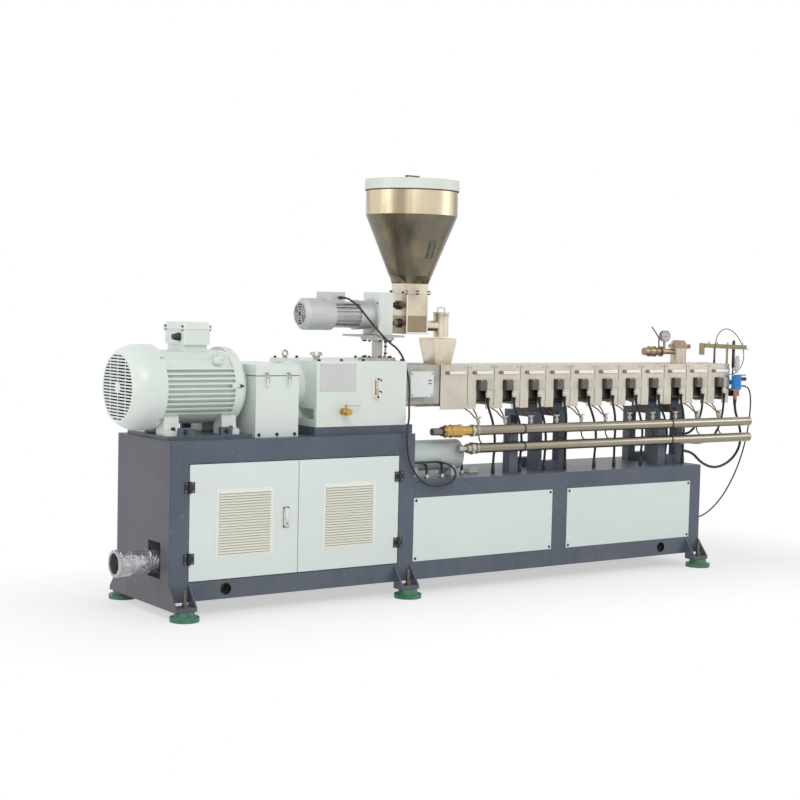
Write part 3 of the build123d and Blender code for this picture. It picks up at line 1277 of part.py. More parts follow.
# Barrel: twelve flanged sections bolted end to end
flange_half = COVER_HALF_WIDTH - COVER_SHEET - TOUCH
flange_top = COVER_TOP - COVER_SHEET - TOUCH
flange_bottom = COVER_BOTTOM + FLANGE_RAISE
with BuildPart() as barrel_core:
    with BuildSketch(end_plane(BARREL_START)):
        with Locations((0, BARREL_AXIS_Z)):
            RectangleRounded(CORE_WIDTH, CORE_HEIGHT, CORE_CORNER)
    extrude(amount=BARREL_LENGTH)
    for joint in range(BARREL_COUNT + 1):
        start = BARREL_START + joint * BARREL_PITCH - BARREL_FLANGE / 2
        start = min(max(start, BARREL_START), BARREL_START + BARREL_LENGTH - BARREL_FLANGE)
        with BuildSketch(end_plane(start)):
            with Locations((0, (flange_bottom + flange_top) / 2)):
                Rectangle(2 * flange_half, flange_top - flange_bottom)
        extrude(amount=BARREL_FLANGE)
save(barrel_core, "barrel_core")

# Sheet covers over the heaters, one a section, cut away below for the plugs
with BuildPart() as barrel_covers:
    cover_length = BARREL_PITCH - COVER_GAP
    for section in range(BARREL_COUNT):
        start = BARREL_START + section * BARREL_PITCH
        with BuildSketch(end_plane(start)):
            with Locations((0, (COVER_BOTTOM + COVER_TOP) / 2)):
                Rectangle(2 * COVER_HALF_WIDTH, COVER_TOP - COVER_BOTTOM)
            with Locations((0, (COVER_BOTTOM + COVER_TOP) / 2 - COVER_SHEET)):
                inner_width = 2 * (COVER_HALF_WIDTH - COVER_SHEET)
                Rectangle(inner_width, COVER_TOP - COVER_BOTTOM, mode=Mode.SUBTRACT)
        extrude(amount=cover_length)
        if section > 0:
            notch_length = cover_length - COVER_LEG_LEFT - COVER_LEG_RIGHT
            notch_x = along(start + COVER_LEG_LEFT + notch_length / 2)
            notch_height = COVER_NOTCH_TOP - COVER_BOTTOM
            with Locations((notch_x, 0, COVER_BOTTOM + notch_height / 2)):
                Box(notch_length, 2 * COVER_HALF_WIDTH + 1, notch_height, mode=Mode.SUBTRACT)
        with BuildSketch(end_plane(start + RIB_START)):
            for side in (-1, 1):
                with Locations((side * COVER_HALF_WIDTH, RIB_Z)):
                    Circle(RIB_RADIUS)
            with Locations((0, RIB_Z)):
                Rectangle(2 * COVER_HALF_WIDTH - 2, 3 * RIB_RADIUS, mode=Mode.SUBTRACT)
        extrude(amount=RIB_LENGTH)
save(barrel_covers, "barrel_covers")


def heater_blocks(offset_x, width, height, proud, top):
    """Row of blocks in the cover openings, one each side of every heated section."""
    for section in range(1, BARREL_COUNT):
        x = along(BARREL_START + section * BARREL_PITCH + offset_x + width / 2)
        for side in (-1, 1):
            inner = CORE_WIDTH / 2
            outer = COVER_HALF_WIDTH + proud
            with Locations((x, side * (inner + outer) / 2, top - height / 2)):
                Box(width, outer - inner, height)


with BuildPart() as heater_plugs:
    heater_blocks(PLUG_START, PLUG_WIDTH, PLUG_HEIGHT, PLUG_PROUD, PLUG_TOP)
save(heater_plugs, "heater_plugs")

with BuildPart() as junction_boxes:
    for section in range(1, BARREL_COUNT):
        box_start = BARREL_START + section * BARREL_PITCH + PLUG_START + PLUG_WIDTH + BOX_GAP
        x = along(box_start + BOX_WIDTH / 2)
        for side in (-1, 1):
            with BuildSketch(side_plane(side * COVER_HALF_WIDTH)):
                with Locations((x, PLUG_TOP - PLUG_HEIGHT / 2)):
                    RectangleRounded(BOX_WIDTH, PLUG_HEIGHT, 4)
            extrude(amount=-side * BOX_PROUD)
save(junction_boxes, "junction_boxes")

# Supports on the low deck: two four-legged trestles under the barrel, and the two
# posts behind the water pipes
trestle_top = COVER_BOTTOM - TRESTLE_CLEARANCE
leg_y = TRESTLE_HALF_WIDTH - LEG_WIDTH / 2
post_y = PIPE_Y + PIPE_RADIUS + TOUCH + POST_WIDTH / 2
post_top = UPPER_PIPE_Z + PIPE_RADIUS


def trestle(stations):
    """Four legs on two beams, tied across the top, with a saddle for each barrel flange."""
    middle = sum(stations) / 2
    beam_length = stations[1] - stations[0] + LEG_WIDTH
    for side in (-1, 1):
        with Locations((middle, side * leg_y, LOW_TOP + TRESTLE_BEAM / 2)):
            Box(beam_length, LEG_WIDTH, TRESTLE_BEAM)
    for x in stations:
        for side in (-1, 1):
            with Locations((x, side * leg_y, (LOW_TOP + trestle_top) / 2)):
                Box(LEG_WIDTH, LEG_WIDTH, trestle_top - LOW_TOP)
        with Locations((x, 0, trestle_top - TRESTLE_TOP_BEAM / 2)):
            Box(LEG_WIDTH, 2 * TRESTLE_HALF_WIDTH, TRESTLE_TOP_BEAM)
        saddle_x = x - TRESTLE_OFFSET / 2
        saddle_top = flange_bottom - TOUCH
        saddle_low = trestle_top - TRESTLE_TOP_BEAM
        with Locations((saddle_x, 0, (saddle_low + saddle_top) / 2)):
            Box(LEG_WIDTH - TRESTLE_OFFSET, 2 * TRESTLE_SADDLE, saddle_top - saddle_low)


with BuildPart() as deck_supports:
    for joints in TRESTLE_JOINTS:
        trestle([along(BARREL_START + joint * BARREL_PITCH + TRESTLE_OFFSET) for joint in joints])
    for x in POST_STATIONS:
        with Locations((along(x), post_y, (LOW_TOP + post_top) / 2)):
            Box(POST_WIDTH, POST_WIDTH, post_top - LOW_TOP)
save(deck_supports, "deck_supports")

# Die head at the end of the barrel
with BuildPart() as die_head:
    with BuildSketch(end_plane(BARREL_END)):
        with Locations((0, (DIE_BOTTOM + DIE_TOP) / 2)):
            RectangleRounded(DIE_WIDTH, DIE_TOP - DIE_BOTTOM, 10)
    extrude(amount=DIE_LENGTH - DIE_NOSE)
    with BuildSketch(end_plane(BARREL_END + DIE_LENGTH - DIE_NOSE)):
        with Locations((0, BARREL_AXIS_Z)):
            Circle(DIE_NOSE_RADIUS)
    extrude(amount=DIE_NOSE)
    with BuildSketch(end_plane(BARREL_END + DIE_LENGTH)):
        for side in (-1, 1):
            with Locations((side * DIE_BORE_SPACING / 2, BARREL_AXIS_Z)):
                Circle(DIE_BORE_RADIUS)
    extrude(amount=-DIE_LENGTH, mode=Mode.SUBTRACT)
save(die_head, "die_head")

# Sensor bar across the die: angle iron on two posts, with the melt sensors
with BuildPart() as sensor_bar:
    bar_length = SENSOR_BAR_ENDS[1] - SENSOR_BAR_ENDS[0]
    bar_y = sum(SENSOR_BAR_ENDS) / 2
    half = SENSOR_BAR_SECTION / 2
    with BuildSketch(Plane.XZ.offset(-SENSOR_BAR_ENDS[0])):
        with BuildLine():
            Polyline(
                (along(SENSOR_BAR_X - half), SENSOR_BAR_Z),
                (along(SENSOR_BAR_X + half), SENSOR_BAR_Z),
                (along(SENSOR_BAR_X + half), SENSOR_BAR_Z + SENSOR_BAR_SHEET),
                (along(SENSOR_BAR_X - half + SENSOR_BAR_SHEET), SENSOR_BAR_Z + SENSOR_BAR_SHEET),
                (along(SENSOR_BAR_X - half + SENSOR_BAR_SHEET), SENSOR_BAR_Z + SENSOR_BAR_SECTION),
                (along(SENSOR_BAR_X - half), SENSOR_BAR_Z + SENSOR_BAR_SECTION),
                close=True,
            )
        make_face()
    extrude(amount=-bar_length)
    plate_y = SENSOR_BAR_ENDS[1] - SENSOR_PLATE_WIDTH / 2
    with Locations((along(SENSOR_BAR_X - half - SENSOR_BAR_SHEET / 2), plate_y, SENSOR_BAR_Z - 10)):
        Box(SENSOR_BAR_SHEET, SENSOR_PLATE_WIDTH, SENSOR_PLATE_HEIGHT)
    for side in (-1, 1):
        post_height = SENSOR_BAR_Z - DIE_TOP
        with Locations((along(SENSOR_BAR_X), side * SENSOR_POST_Y, DIE_TOP + post_height / 2)):
            Cylinder(SENSOR_POST_RADIUS, post_height)
    with BuildSketch(Plane.XY.offset(SENSOR_BAR_Z + SENSOR_BAR_SHEET)):
        with Locations((along(SENSOR_BAR_X), SENSOR_Y)):
            Circle(SENSOR_RADIUS)
    extrude(amount=SENSOR_HEIGHT)
save(sensor_bar, "sensor_bar")

# Ball valve on the door side of the die with its lever, and the brass block of the
# die hose under it
valve_x = along(BARREL_END + VALVE_STATION)
valve_face = -DIE_WIDTH / 2
lever_y = valve_face - VALVE_NECK_LENGTH - VALVE_RADIUS
hose_block_z = DIE_BOTTOM + HOSE_BLOCK_HEIGHT / 2
hose_block_x = along(BARREL_END + DIE_LENGTH)
hose_y = valve_face - HOSE_BLOCK_DEPTH / 2
with BuildPart() as die_valve:
    with BuildSketch(Plane.XZ.offset(-valve_face)):
        with Locations((valve_x, BARREL_AXIS_Z)):
            Circle(VALVE_NECK_RADIUS)
    extrude(amount=VALVE_NECK_LENGTH + VALVE_RADIUS)
    with Locations((valve_x, lever_y, BARREL_AXIS_Z)):
        Cylinder(VALVE_RADIUS, VALVE_HEIGHT)
    with BuildSketch(Plane.XY.offset(BARREL_AXIS_Z + VALVE_HEIGHT / 2)):
        with Locations((valve_x + VALVE_RADIUS, lever_y)):
            SlotOverall(VALVE_RADIUS * 3.4, VALVE_NECK_RADIUS)
    extrude(amount=VALVE_NECK_RADIUS / 2)
    with BuildSketch(Plane.XZ.offset(-valve_face)):
        with Locations((hose_block_x, hose_block_z)):
            Rectangle(HOSE_BLOCK_LENGTH, HOSE_BLOCK_HEIGHT)
    extrude(amount=HOSE_BLOCK_DEPTH)
    with BuildSketch(Plane.XZ.offset(-valve_face)):
        with Locations((hose_block_x - HOSE_BLOCK_LENGTH / 2, hose_block_z + HOSE_BLOCK_HEIGHT / 2)):
            Rectangle(HOSE_BLOCK_LENGTH / 2, HOSE_BLOCK_HEIGHT / 2)
    extrude(amount=HOSE_BLOCK_DEPTH / 2)
    with BuildSketch(Plane.XY.offset(DIE_BOTTOM)):
        with Locations((hose_block_x + HOSE_BLOCK_LENGTH / 4, hose_y)):
            Circle(DIE_HOSE / 2 + GLAND_LAP)
    extrude(amount=-GLAND_LENGTH)
save(die_valve, "die_valve")

# Vacuum vent: pot, clamped lid, and the line with its gauge
with BuildPart() as vent_pot:
    with BuildSketch(Plane.XY.offset(COVER_TOP)):
        with Locations((along(VENT_POT_X), 0)):
            Circle(VENT_POT_RADIUS)
    extrude(amount=VENT_POT_TOP - COVER_TOP)
    with BuildSketch(Plane.XY.offset(VENT_POT_TOP)):
        with Locations((along(VENT_POT_X), 0)):
            Circle(VENT_POT_RADIUS + VENT_LID_LAP)
    extrude(amount=VENT_LID)
    with BuildSketch(Plane.XY.offset(VENT_POT_TOP + VENT_LID)):
        with Locations((along(VENT_POT_X), 0)):
            RegularPolygon(VENT_CLAMP_RADIUS, 6)
    extrude(amount=VENT_CLAMP_HEIGHT, taper=30)
save(vent_pot, "vent_pot")

vacuum_axis = Axis((0, 0, VACUUM_Z), (1, 0, 0))
pot_side = VENT_POT_X - VENT_POT_RADIUS
port_end = VACUUM_END + VACUUM_PORT_LENGTH
with BuildPart() as vacuum_line:
    with BuildSketch(Plane.XZ):
        with BuildLine():
            Polyline(
                (along(VACUUM_END), VACUUM_Z),
                (along(VACUUM_END), VACUUM_Z + VACUUM_PORT_RADIUS),
                (along(port_end), VACUUM_Z + VACUUM_PORT_RADIUS),
                (along(port_end + 8), VACUUM_Z + VACUUM_PORT_RADIUS + 6),
                (along(port_end + 48), VACUUM_Z + VACUUM_PORT_RADIUS + 6),
                (along(port_end + 56), VACUUM_Z + VACUUM_PORT_RADIUS - 2),
                (along(port_end + 110), VACUUM_Z + VACUUM_PORT_RADIUS - 2),
                (along(port_end + 118), VACUUM_Z + VACUUM_PIPE_RADIUS),
                (along(pot_side), VACUUM_Z + VACUUM_PIPE_RADIUS),
                (along(pot_side), VACUUM_Z),
                close=True,
            )
        make_face()
    revolve(axis=vacuum_axis)
    with BuildSketch(Plane.XY.offset(VACUUM_Z)):
        with Locations((along(VACUUM_GAUGE_X), 0)):
            Circle(VACUUM_GAUGE_STEM)
    extrude(amount=VACUUM_GAUGE_Z - VACUUM_Z)
    with Locations((along(VACUUM_GAUGE_X), 0, VACUUM_GAUGE_Z)):
        Cylinder(VACUUM_GAUGE_RADIUS, VACUUM_GAUGE_DEPTH, rotation=(90, 0, 0))
save(vacuum_line, "vacuum_line")

# Feeder column on the gearbox, and the plate that carries the feeder
with BuildPart() as feeder_column:
    with BuildSketch(Plane.XY.offset(GEARBOX_TOP)):
        with Locations((along(COLUMN_X), COLUMN_Y)):
            Circle(COLUMN_FLANGE_RADIUS)
    extrude(amount=FLANGE_PLATE)
    column_height = FEEDER_PLATE_Z - GEARBOX_TOP
    with BuildSketch(Plane.XY.offset(GEARBOX_TOP)):
        with Locations((along(COLUMN_X), COLUMN_Y)):
            Circle(COLUMN_RADIUS)
    extrude(amount=column_height)
    with BuildSketch(Plane.XY.offset(FEEDER_PLATE_Z - FLANGE_PLATE)):
        with Locations((along(COLUMN_X), COLUMN_Y)):
            Circle(COLUMN_TOP_RADIUS)
    extrude(amount=FLANGE_PLATE)
    with BuildSketch(Plane.XY.offset(GEARBOX_TOP)):
        with Locations((along(COLUMN_X + COLUMN_ROD_X), COLUMN_Y)):
            Circle(COLUMN_ROD_RADIUS)
    extrude(amount=column_height)
    plate_start = COLUMN_X - COLUMN_TOP_RADIUS - FEEDER_PLATE_OVERHANG
    plate_end = REDUCER_END + FEEDER_PLATE_OVERHANG / 2
    plate_front = COLUMN_Y - COLUMN_TOP_RADIUS + FEEDER_PLATE_OVERHANG
    plate_back = REDUCER_WIDTH / 2 + FEEDER_PLATE_OVERHANG
    with BuildSketch(Plane.XY.offset(FEEDER_PLATE_Z)):
        with Locations((along((plate_start + plate_end) / 2), (plate_front + plate_back) / 2)):
            Rectangle(plate_end - plate_start, plate_back - plate_front)
    extrude(amount=FEEDER_PLATE)
save(feeder_column, "feeder_column")

# Feeder drive: reducer box and its finned motor
with BuildPart() as feeder_reducer:
    with BuildSketch(Plane.XY.offset(FEEDER_PLATE_Z + FEEDER_PLATE)):
        with Locations((along((REDUCER_START + REDUCER_END) / 2), 0)):
            Rectangle(REDUCER_END - REDUCER_START, REDUCER_WIDTH)
    extrude(amount=REDUCER_TOP - FEEDER_PLATE_Z - FEEDER_PLATE)
    fillet(feeder_reducer.edges().filter_by(Axis.Y), REDUCER_CORNER)
    trough_side = FEEDER_X - TROUGH_WIDTH / 2
    for shaft_z in (FEEDER_AXIS_Z - SCREW_DROP, FEEDER_AXIS_Z + AGITATOR_RISE):
        with BuildSketch(end_plane(REDUCER_END)):
            with Locations((0, shaft_z)):
                Circle(FEEDER_SHAFT_RADIUS)
        extrude(amount=trough_side - REDUCER_END - TOUCH)
        with BuildSketch(end_plane(trough_side - FEEDER_BEARING)):
            with Locations((0, shaft_z)):
                Circle(FEEDER_BEARING_RADIUS)
        extrude(amount=FEEDER_BEARING - TOUCH)
save(feeder_reducer, "feeder_reducer")

feeder_motor_axis = Axis((0, 0, FEEDER_AXIS_Z), (1, 0, 0))
with BuildPart() as feeder_motor:
    with BuildSketch(Plane.XZ):
        with BuildLine():
            Polyline(
                (along(FEEDER_MOTOR_START), FEEDER_AXIS_Z),
                (along(FEEDER_MOTOR_START), FEEDER_AXIS_Z + FEEDER_MOTOR_RADIUS - 22),
                (along(FEEDER_MOTOR_START + 22), FEEDER_AXIS_Z + FEEDER_MOTOR_RADIUS),
                (along(FEEDER_COWL_END), FEEDER_AXIS_Z + FEEDER_MOTOR_RADIUS),
                (along(FEEDER_COWL_END), FEEDER_AXIS_Z + FEEDER_MOTOR_RADIUS - FEEDER_MOTOR_STEP),
                (along(FEEDER_BODY_END), FEEDER_AXIS_Z + FEEDER_MOTOR_RADIUS - FEEDER_MOTOR_STEP),
                (along(FEEDER_BODY_END), FEEDER_AXIS_Z + FEEDER_MOTOR_RADIUS - 4),
                (along(REDUCER_START - FEEDER_FLANGE), FEEDER_AXIS_Z + FEEDER_MOTOR_RADIUS - 12),
                (along(REDUCER_START - FEEDER_FLANGE), FEEDER_AXIS_Z + FEEDER_MOTOR_RADIUS + 6),
                (along(REDUCER_START), FEEDER_AXIS_Z + FEEDER_MOTOR_RADIUS + 6),
                (along(REDUCER_START), FEEDER_AXIS_Z),
                close=True,
            )
        make_face()
    revolve(axis=feeder_motor_axis)
    small_fins = [FEEDER_MOTOR_RADIUS * math.cos(math.radians(15 * step)) for step in range(3, 10)]
    with BuildSketch(end_plane(FEEDER_COWL_END)):
        with Locations([(0, FEEDER_AXIS_Z + height) for height in small_fins]):
            Rectangle(2 * FEEDER_MOTOR_RADIUS, 4)
        with Locations((0, FEEDER_AXIS_Z)):
            Circle(FEEDER_MOTOR_RADIUS, mode=Mode.INTERSECT)
    extrude(amount=FEEDER_BODY_END - FEEDER_COWL_END)
    box_bottom = FEEDER_AXIS_Z + FEEDER_MOTOR_RADIUS - FEEDER_MOTOR_STEP - FEEDER_BOX_HEIGHT / 4
    box_top = box_bottom + FEEDER_BOX_HEIGHT
    feeder_box_x = FEEDER_MOTOR_START + FEEDER_BOX_STATION
    with Locations((along(feeder_box_x), 0, (box_bottom + box_top) / 2)):
        Box(FEEDER_BOX_LENGTH, FEEDER_BOX_WIDTH, FEEDER_BOX_HEIGHT)
save(feeder_motor, "feeder_motor")

# Feeder trough under the hopper
with BuildPart() as feeder_trough:
    trough_height = TROUGH_TOP - TROUGH_BOTTOM
    with BuildSketch(Plane.XY.offset(TROUGH_BOTTOM)):
        with Locations((along(FEEDER_X), 0)):
            Rectangle(TROUGH_WIDTH, TROUGH_DEPTH)
    extrude(amount=trough_height)
    with BuildSketch(Plane.XY.offset(TROUGH_FLANGE_Z)):
        with Locations((along(FEEDER_X), 0)):
            Rectangle(TROUGH_WIDTH + 2 * TROUGH_FLANGE, TROUGH_DEPTH + 2 * TROUGH_FLANGE)
    extrude(amount=TROUGH_FLANGE_SHEET)
    with BuildSketch(Plane.XY.offset(TROUGH_BOTTOM + TROUGH_SHEET)):
        with Locations((along(FEEDER_X), 0)):
            Rectangle(TROUGH_WIDTH - 2 * TROUGH_SHEET, TROUGH_DEPTH - 2 * TROUGH_SHEET)
    extrude(amount=trough_height, mode=Mode.SUBTRACT)
    with BuildSketch(Plane.XY.offset(TROUGH_BOTTOM)):
        with Locations((along(FEEDER_X), 0)):
            Rectangle(TROUGH_WIDTH + 2 * TROUGH_FOOT, TROUGH_DEPTH)
            inner_width = TROUGH_WIDTH - 2 * TROUGH_SHEET
            Rectangle(inner_width, TROUGH_DEPTH - 2 * TROUGH_SHEET, mode=Mode.SUBTRACT)
    extrude(amount=TROUGH_FOOT_SHEET)
save(feeder_trough, "feeder_trough")


def hopper_neck(radius, width, depth, mode):
    """Square-to-round transition between trough and cone."""
    with BuildSketch(Plane.XY.offset(TROUGH_TOP)) as square_end:
        with Locations((along(FEEDER_X), 0)):
            Rectangle(width, depth)
    with BuildSketch(Plane.XY.offset(HOPPER_NECK_TOP)) as round_end:
        with Locations((along(FEEDER_X), 0)):
            Circle(radius)
    loft([square_end.sketch, round_end.sketch], mode=mode)


# Hopper: square neck, cone and short cylinder of stainless sheet, with a framed sight
# glass let into the cone on the door side
cone_spread = HOPPER_RADIUS - HOPPER_NECK_RADIUS
cone_turn = math.radians(SIGHT_GLASS_TURN)
sight_radius = HOPPER_NECK_RADIUS + SIGHT_GLASS_RISE * cone_spread
sight_out = Vector(math.sin(cone_turn), -math.cos(cone_turn), 0)
sight_plane = Plane(
    origin=(
        along(FEEDER_X) + sight_radius * sight_out.X,
        sight_radius * sight_out.Y,
        HOPPER_NECK_TOP + SIGHT_GLASS_RISE * HOPPER_CONE,
    ),
    x_dir=(math.cos(cone_turn), math.sin(cone_turn), 0),
    z_dir=(sight_out.X * HOPPER_CONE, sight_out.Y * HOPPER_CONE, -cone_spread),
)
with BuildPart() as hopper:
    hopper_neck(HOPPER_NECK_RADIUS, TROUGH_WIDTH, TROUGH_DEPTH, Mode.ADD)
    hopper_neck(
        HOPPER_NECK_RADIUS - HOPPER_SHEET,
        TROUGH_WIDTH - 2 * TROUGH_SHEET,
        TROUGH_DEPTH - 2 * TROUGH_SHEET,
        Mode.SUBTRACT,
    )
    with BuildSketch(Plane.XZ):
        with BuildLine():
            Polyline(
                (along(FEEDER_X) + HOPPER_NECK_RADIUS - HOPPER_SHEET, HOPPER_NECK_TOP),
                (along(FEEDER_X) + HOPPER_NECK_RADIUS, HOPPER_NECK_TOP),
                (along(FEEDER_X) + HOPPER_RADIUS, HOPPER_CONE_TOP),
                (along(FEEDER_X) + HOPPER_RADIUS, HOPPER_TOP),
                (along(FEEDER_X) + HOPPER_RADIUS - HOPPER_SHEET, HOPPER_TOP),
                (along(FEEDER_X) + HOPPER_RADIUS - HOPPER_SHEET, HOPPER_CONE_TOP),
                close=True,
            )
        make_face()
    revolve(axis=Axis((along(FEEDER_X), 0, 0), (0, 0, 1)))
    with BuildSketch(sight_plane):
        Rectangle(SIGHT_GLASS_WIDTH + 2 * SIGHT_GLASS_FRAME, SIGHT_GLASS_LENGTH + 2 * SIGHT_GLASS_FRAME)
        Rectangle(SIGHT_GLASS_WIDTH, SIGHT_GLASS_LENGTH, mode=Mode.SUBTRACT)
    extrude(amount=SIGHT_GLASS_FRAME / 2)
    with BuildSketch(sight_plane):
        Rectangle(SIGHT_GLASS_WIDTH + SIGHT_GLASS_FRAME, SIGHT_GLASS_LENGTH + SIGHT_GLASS_FRAME)
    extrude(amount=-SIGHT_GLASS_FRAME / 4)
save(hopper, "hopper")

# Lift-off hopper lid with its handle
with BuildPart() as hopper_lid:
    lid_top = HOPPER_TOP + TOUCH + LID_SHEET
    with BuildSketch(Plane.XY.offset(LID_SKIRT_BOTTOM)):
        with Locations((along(FEEDER_X), 0)):
            Circle(LID_RADIUS)
            Circle(LID_RADIUS - LID_SHEET, mode=Mode.SUBTRACT)
    extrude(amount=lid_top - LID_SKIRT_BOTTOM)
    with BuildSketch(Plane.XY.offset(lid_top - LID_SHEET)):
        with Locations((along(FEEDER_X), 0)):
            Circle(LID_RADIUS)
    extrude(amount=LID_SHEET)
    with BuildSketch(Plane.XZ.offset(LID_HANDLE_BAR)):
        with Locations((along(FEEDER_X), lid_top + LID_HANDLE_HEIGHT / 2)):
            Rectangle(LID_HANDLE_WIDTH, LID_HANDLE_HEIGHT)
        with Locations((along(FEEDER_X), lid_top + (LID_HANDLE_HEIGHT - LID_HANDLE_BAR) / 2)):
            gap_width = LID_HANDLE_WIDTH - 2 * LID_HANDLE_BAR
            Rectangle(gap_width, LID_HANDLE_HEIGHT - LID_HANDLE_BAR, mode=Mode.SUBTRACT)
    extrude(amount=-2 * LID_HANDLE_BAR)
save(hopper_lid, "hopper_lid")

# Discharge: screw tube into an upright drop pipe over the feed funnel
with BuildPart() as discharge_tube:
    tube_start = FEEDER_X + TROUGH_WIDTH / 2
    with BuildSketch(Plane.XY.offset(DISCHARGE_BOTTOM)):
        with Locations((along(DISCHARGE_X), 0)):
            Circle(DISCHARGE_RADIUS)
            Circle(DISCHARGE_RADIUS - DISCHARGE_WALL, mode=Mode.SUBTRACT)
    extrude(amount=DISCHARGE_TOP - DISCHARGE_BOTTOM)
    with BuildSketch(Plane.XY.offset(DISCHARGE_TOP - DISCHARGE_CAP)):
        with Locations((along(DISCHARGE_X), 0)):
            Circle(DISCHARGE_RADIUS + DISCHARGE_CAP_LAP)
    extrude(amount=DISCHARGE_CAP)
    with BuildSketch(end_plane(tube_start)):
        with Locations((0, FEEDER_AXIS_Z - SCREW_TUBE_DROP)):
            Circle(SCREW_TUBE_RADIUS)
    extrude(amount=DISCHARGE_X - tube_start - DISCHARGE_RADIUS + 2 * DISCHARGE_WALL)
    with BuildSketch(end_plane(tube_start)):
        with Locations((0, FEEDER_AXIS_Z - SCREW_TUBE_DROP)):
            Circle(SCREW_TUBE_RADIUS - DISCHARGE_WALL)
    extrude(amount=DISCHARGE_X - tube_start, mode=Mode.SUBTRACT)
    with BuildSketch(end_plane(tube_start)):
        with Locations((0, FEEDER_AXIS_Z - SCREW_TUBE_DROP)):
            Circle(SCREW_FLANGE_RADIUS)
            Circle(SCREW_TUBE_RADIUS - DISCHARGE_WALL, mode=Mode.SUBTRACT)
    extrude(amount=SCREW_FLANGE)
save(discharge_tube, "discharge_tube")


def funnel_frustum(grow, mode):
    """Square frustum of the funnel, grown or shrunk for its outside and inside."""
    with BuildSketch(Plane.XY.offset(COVER_TOP)) as outlet:
        with Locations((along(DISCHARGE_X + FUNNEL_OFFSET), 0)):
            Rectangle(FUNNEL_OUTLET + grow, FUNNEL_OUTLET + grow)
    with BuildSketch(Plane.XY.offset(FUNNEL_TOP - FUNNEL_RIM)) as mouth:
        with Locations((along(DISCHARGE_X + FUNNEL_OFFSET), 0)):
            Rectangle(FUNNEL_MOUTH + grow, FUNNEL_MOUTH + grow)
    loft([outlet.sketch, mouth.sketch], mode=mode)


with BuildPart() as feed_funnel:
    funnel_frustum(0, Mode.ADD)
    with BuildSketch(Plane.XY.offset(FUNNEL_TOP - FUNNEL_RIM)):
        with Locations((along(DISCHARGE_X + FUNNEL_OFFSET), 0)):
            Rectangle(FUNNEL_MOUTH, FUNNEL_MOUTH)
    extrude(amount=FUNNEL_RIM)
    funnel_frustum(-2 * FUNNEL_SHEET, Mode.SUBTRACT)
    with BuildSketch(Plane.XY.offset(FUNNEL_TOP - FUNNEL_RIM)):
        with Locations((along(DISCHARGE_X + FUNNEL_OFFSET), 0)):
            Rectangle(FUNNEL_MOUTH - 2 * FUNNEL_SHEET, FUNNEL_MOUTH - 2 * FUNNEL_SHEET)
    extrude(amount=FUNNEL_RIM, mode=Mode.SUBTRACT)
save(feed_funnel, "feed_funnel")


# Cooling-water manifolds: two closed stainless pipes in front of the barrel
def manifold(z):
    """Pipe with a domed end at the die side, open where its fitting closes it."""
    with BuildSketch(side_plane(PIPE_Y)) as outline:
        with BuildLine():
            Polyline(
                (along(PIPE_END - PIPE_DOME), z + PIPE_RADIUS),
                (along(PIPE_START), z + PIPE_RADIUS),
                (along(PIPE_START), z + PIPE_RADIUS - PIPE_WALL),
                (along(PIPE_END - PIPE_DOME), z + PIPE_RADIUS - PIPE_WALL),
                (along(PIPE_END - PIPE_DOME), z),
                (along(PIPE_END), z),
            )
            ThreePointArc(
                (along(PIPE_END), z),
                (along(PIPE_END - PIPE_DOME * 0.3), z + PIPE_RADIUS * 0.7),
                (along(PIPE_END - PIPE_DOME), z + PIPE_RADIUS),
            )
        make_face()
    revolve(outline.sketch, axis=Axis((0, PIPE_Y, z), (1, 0, 0)))


with BuildPart() as water_manifolds:
    manifold(UPPER_PIPE_Z)
    manifold(LOWER_PIPE_Z)
save(water_manifolds, "water_manifolds")

# Straps that hold the pipes to the posts
with BuildPart() as pipe_straps:
    strap_radius = PIPE_RADIUS + TOUCH
    for x in POST_STATIONS:
        for z in (UPPER_PIPE_Z, LOWER_PIPE_Z):
            strap_x = x + POST_WIDTH / 2 + STRAP_WIDTH
            with BuildSketch(end_plane(strap_x)):
                with Locations((PIPE_Y, z)):
                    Circle(strap_radius + STRAP_SHEET)
                    Circle(strap_radius, mode=Mode.SUBTRACT)
            extrude(amount=STRAP_WIDTH)
            tab_y = PIPE_Y + strap_radius + STRAP_SHEET / 2
            with Locations((along(x + POST_WIDTH / 2 + STRAP_WIDTH), tab_y + STRAP_TAB / 2 - 1, z)):
                Box(2 * STRAP_WIDTH, STRAP_TAB, STRAP_SHEET)
save(pipe_straps, "pipe_straps")

# Brass inlet valve of the upper pipe
with BuildPart() as inlet_valve:
    inlet_x = PIPE_START - TOUCH
    with BuildSketch(side_plane(PIPE_Y)):
        with BuildLine():
            Polyline(
                (along(inlet_x), UPPER_PIPE_Z),
                (along(inlet_x), UPPER_PIPE_Z + INLET_NUT_RADIUS),
                (along(inlet_x - INLET_NUT_LENGTH), UPPER_PIPE_Z + INLET_NUT_RADIUS),
                (along(inlet_x - INLET_NUT_LENGTH - 4), UPPER_PIPE_Z + INLET_BODY_RADIUS),
                (along(inlet_x - INLET_BODY_END), UPPER_PIPE_Z + INLET_BODY_RADIUS - 6),
                (along(inlet_x - INLET_LENGTH + INLET_PORT_LENGTH), UPPER_PIPE_Z + INLET_PORT_RADIUS),
                (along(inlet_x - INLET_LENGTH), UPPER_PIPE_Z + INLET_PORT_RADIUS),
                (along(inlet_x - INLET_LENGTH), UPPER_PIPE_Z),
                close=True,
            )
        make_face()
    revolve(axis=Axis((0, PIPE_Y, UPPER_PIPE_Z), (1, 0, 0)))
save(inlet_valve, "inlet_valve")

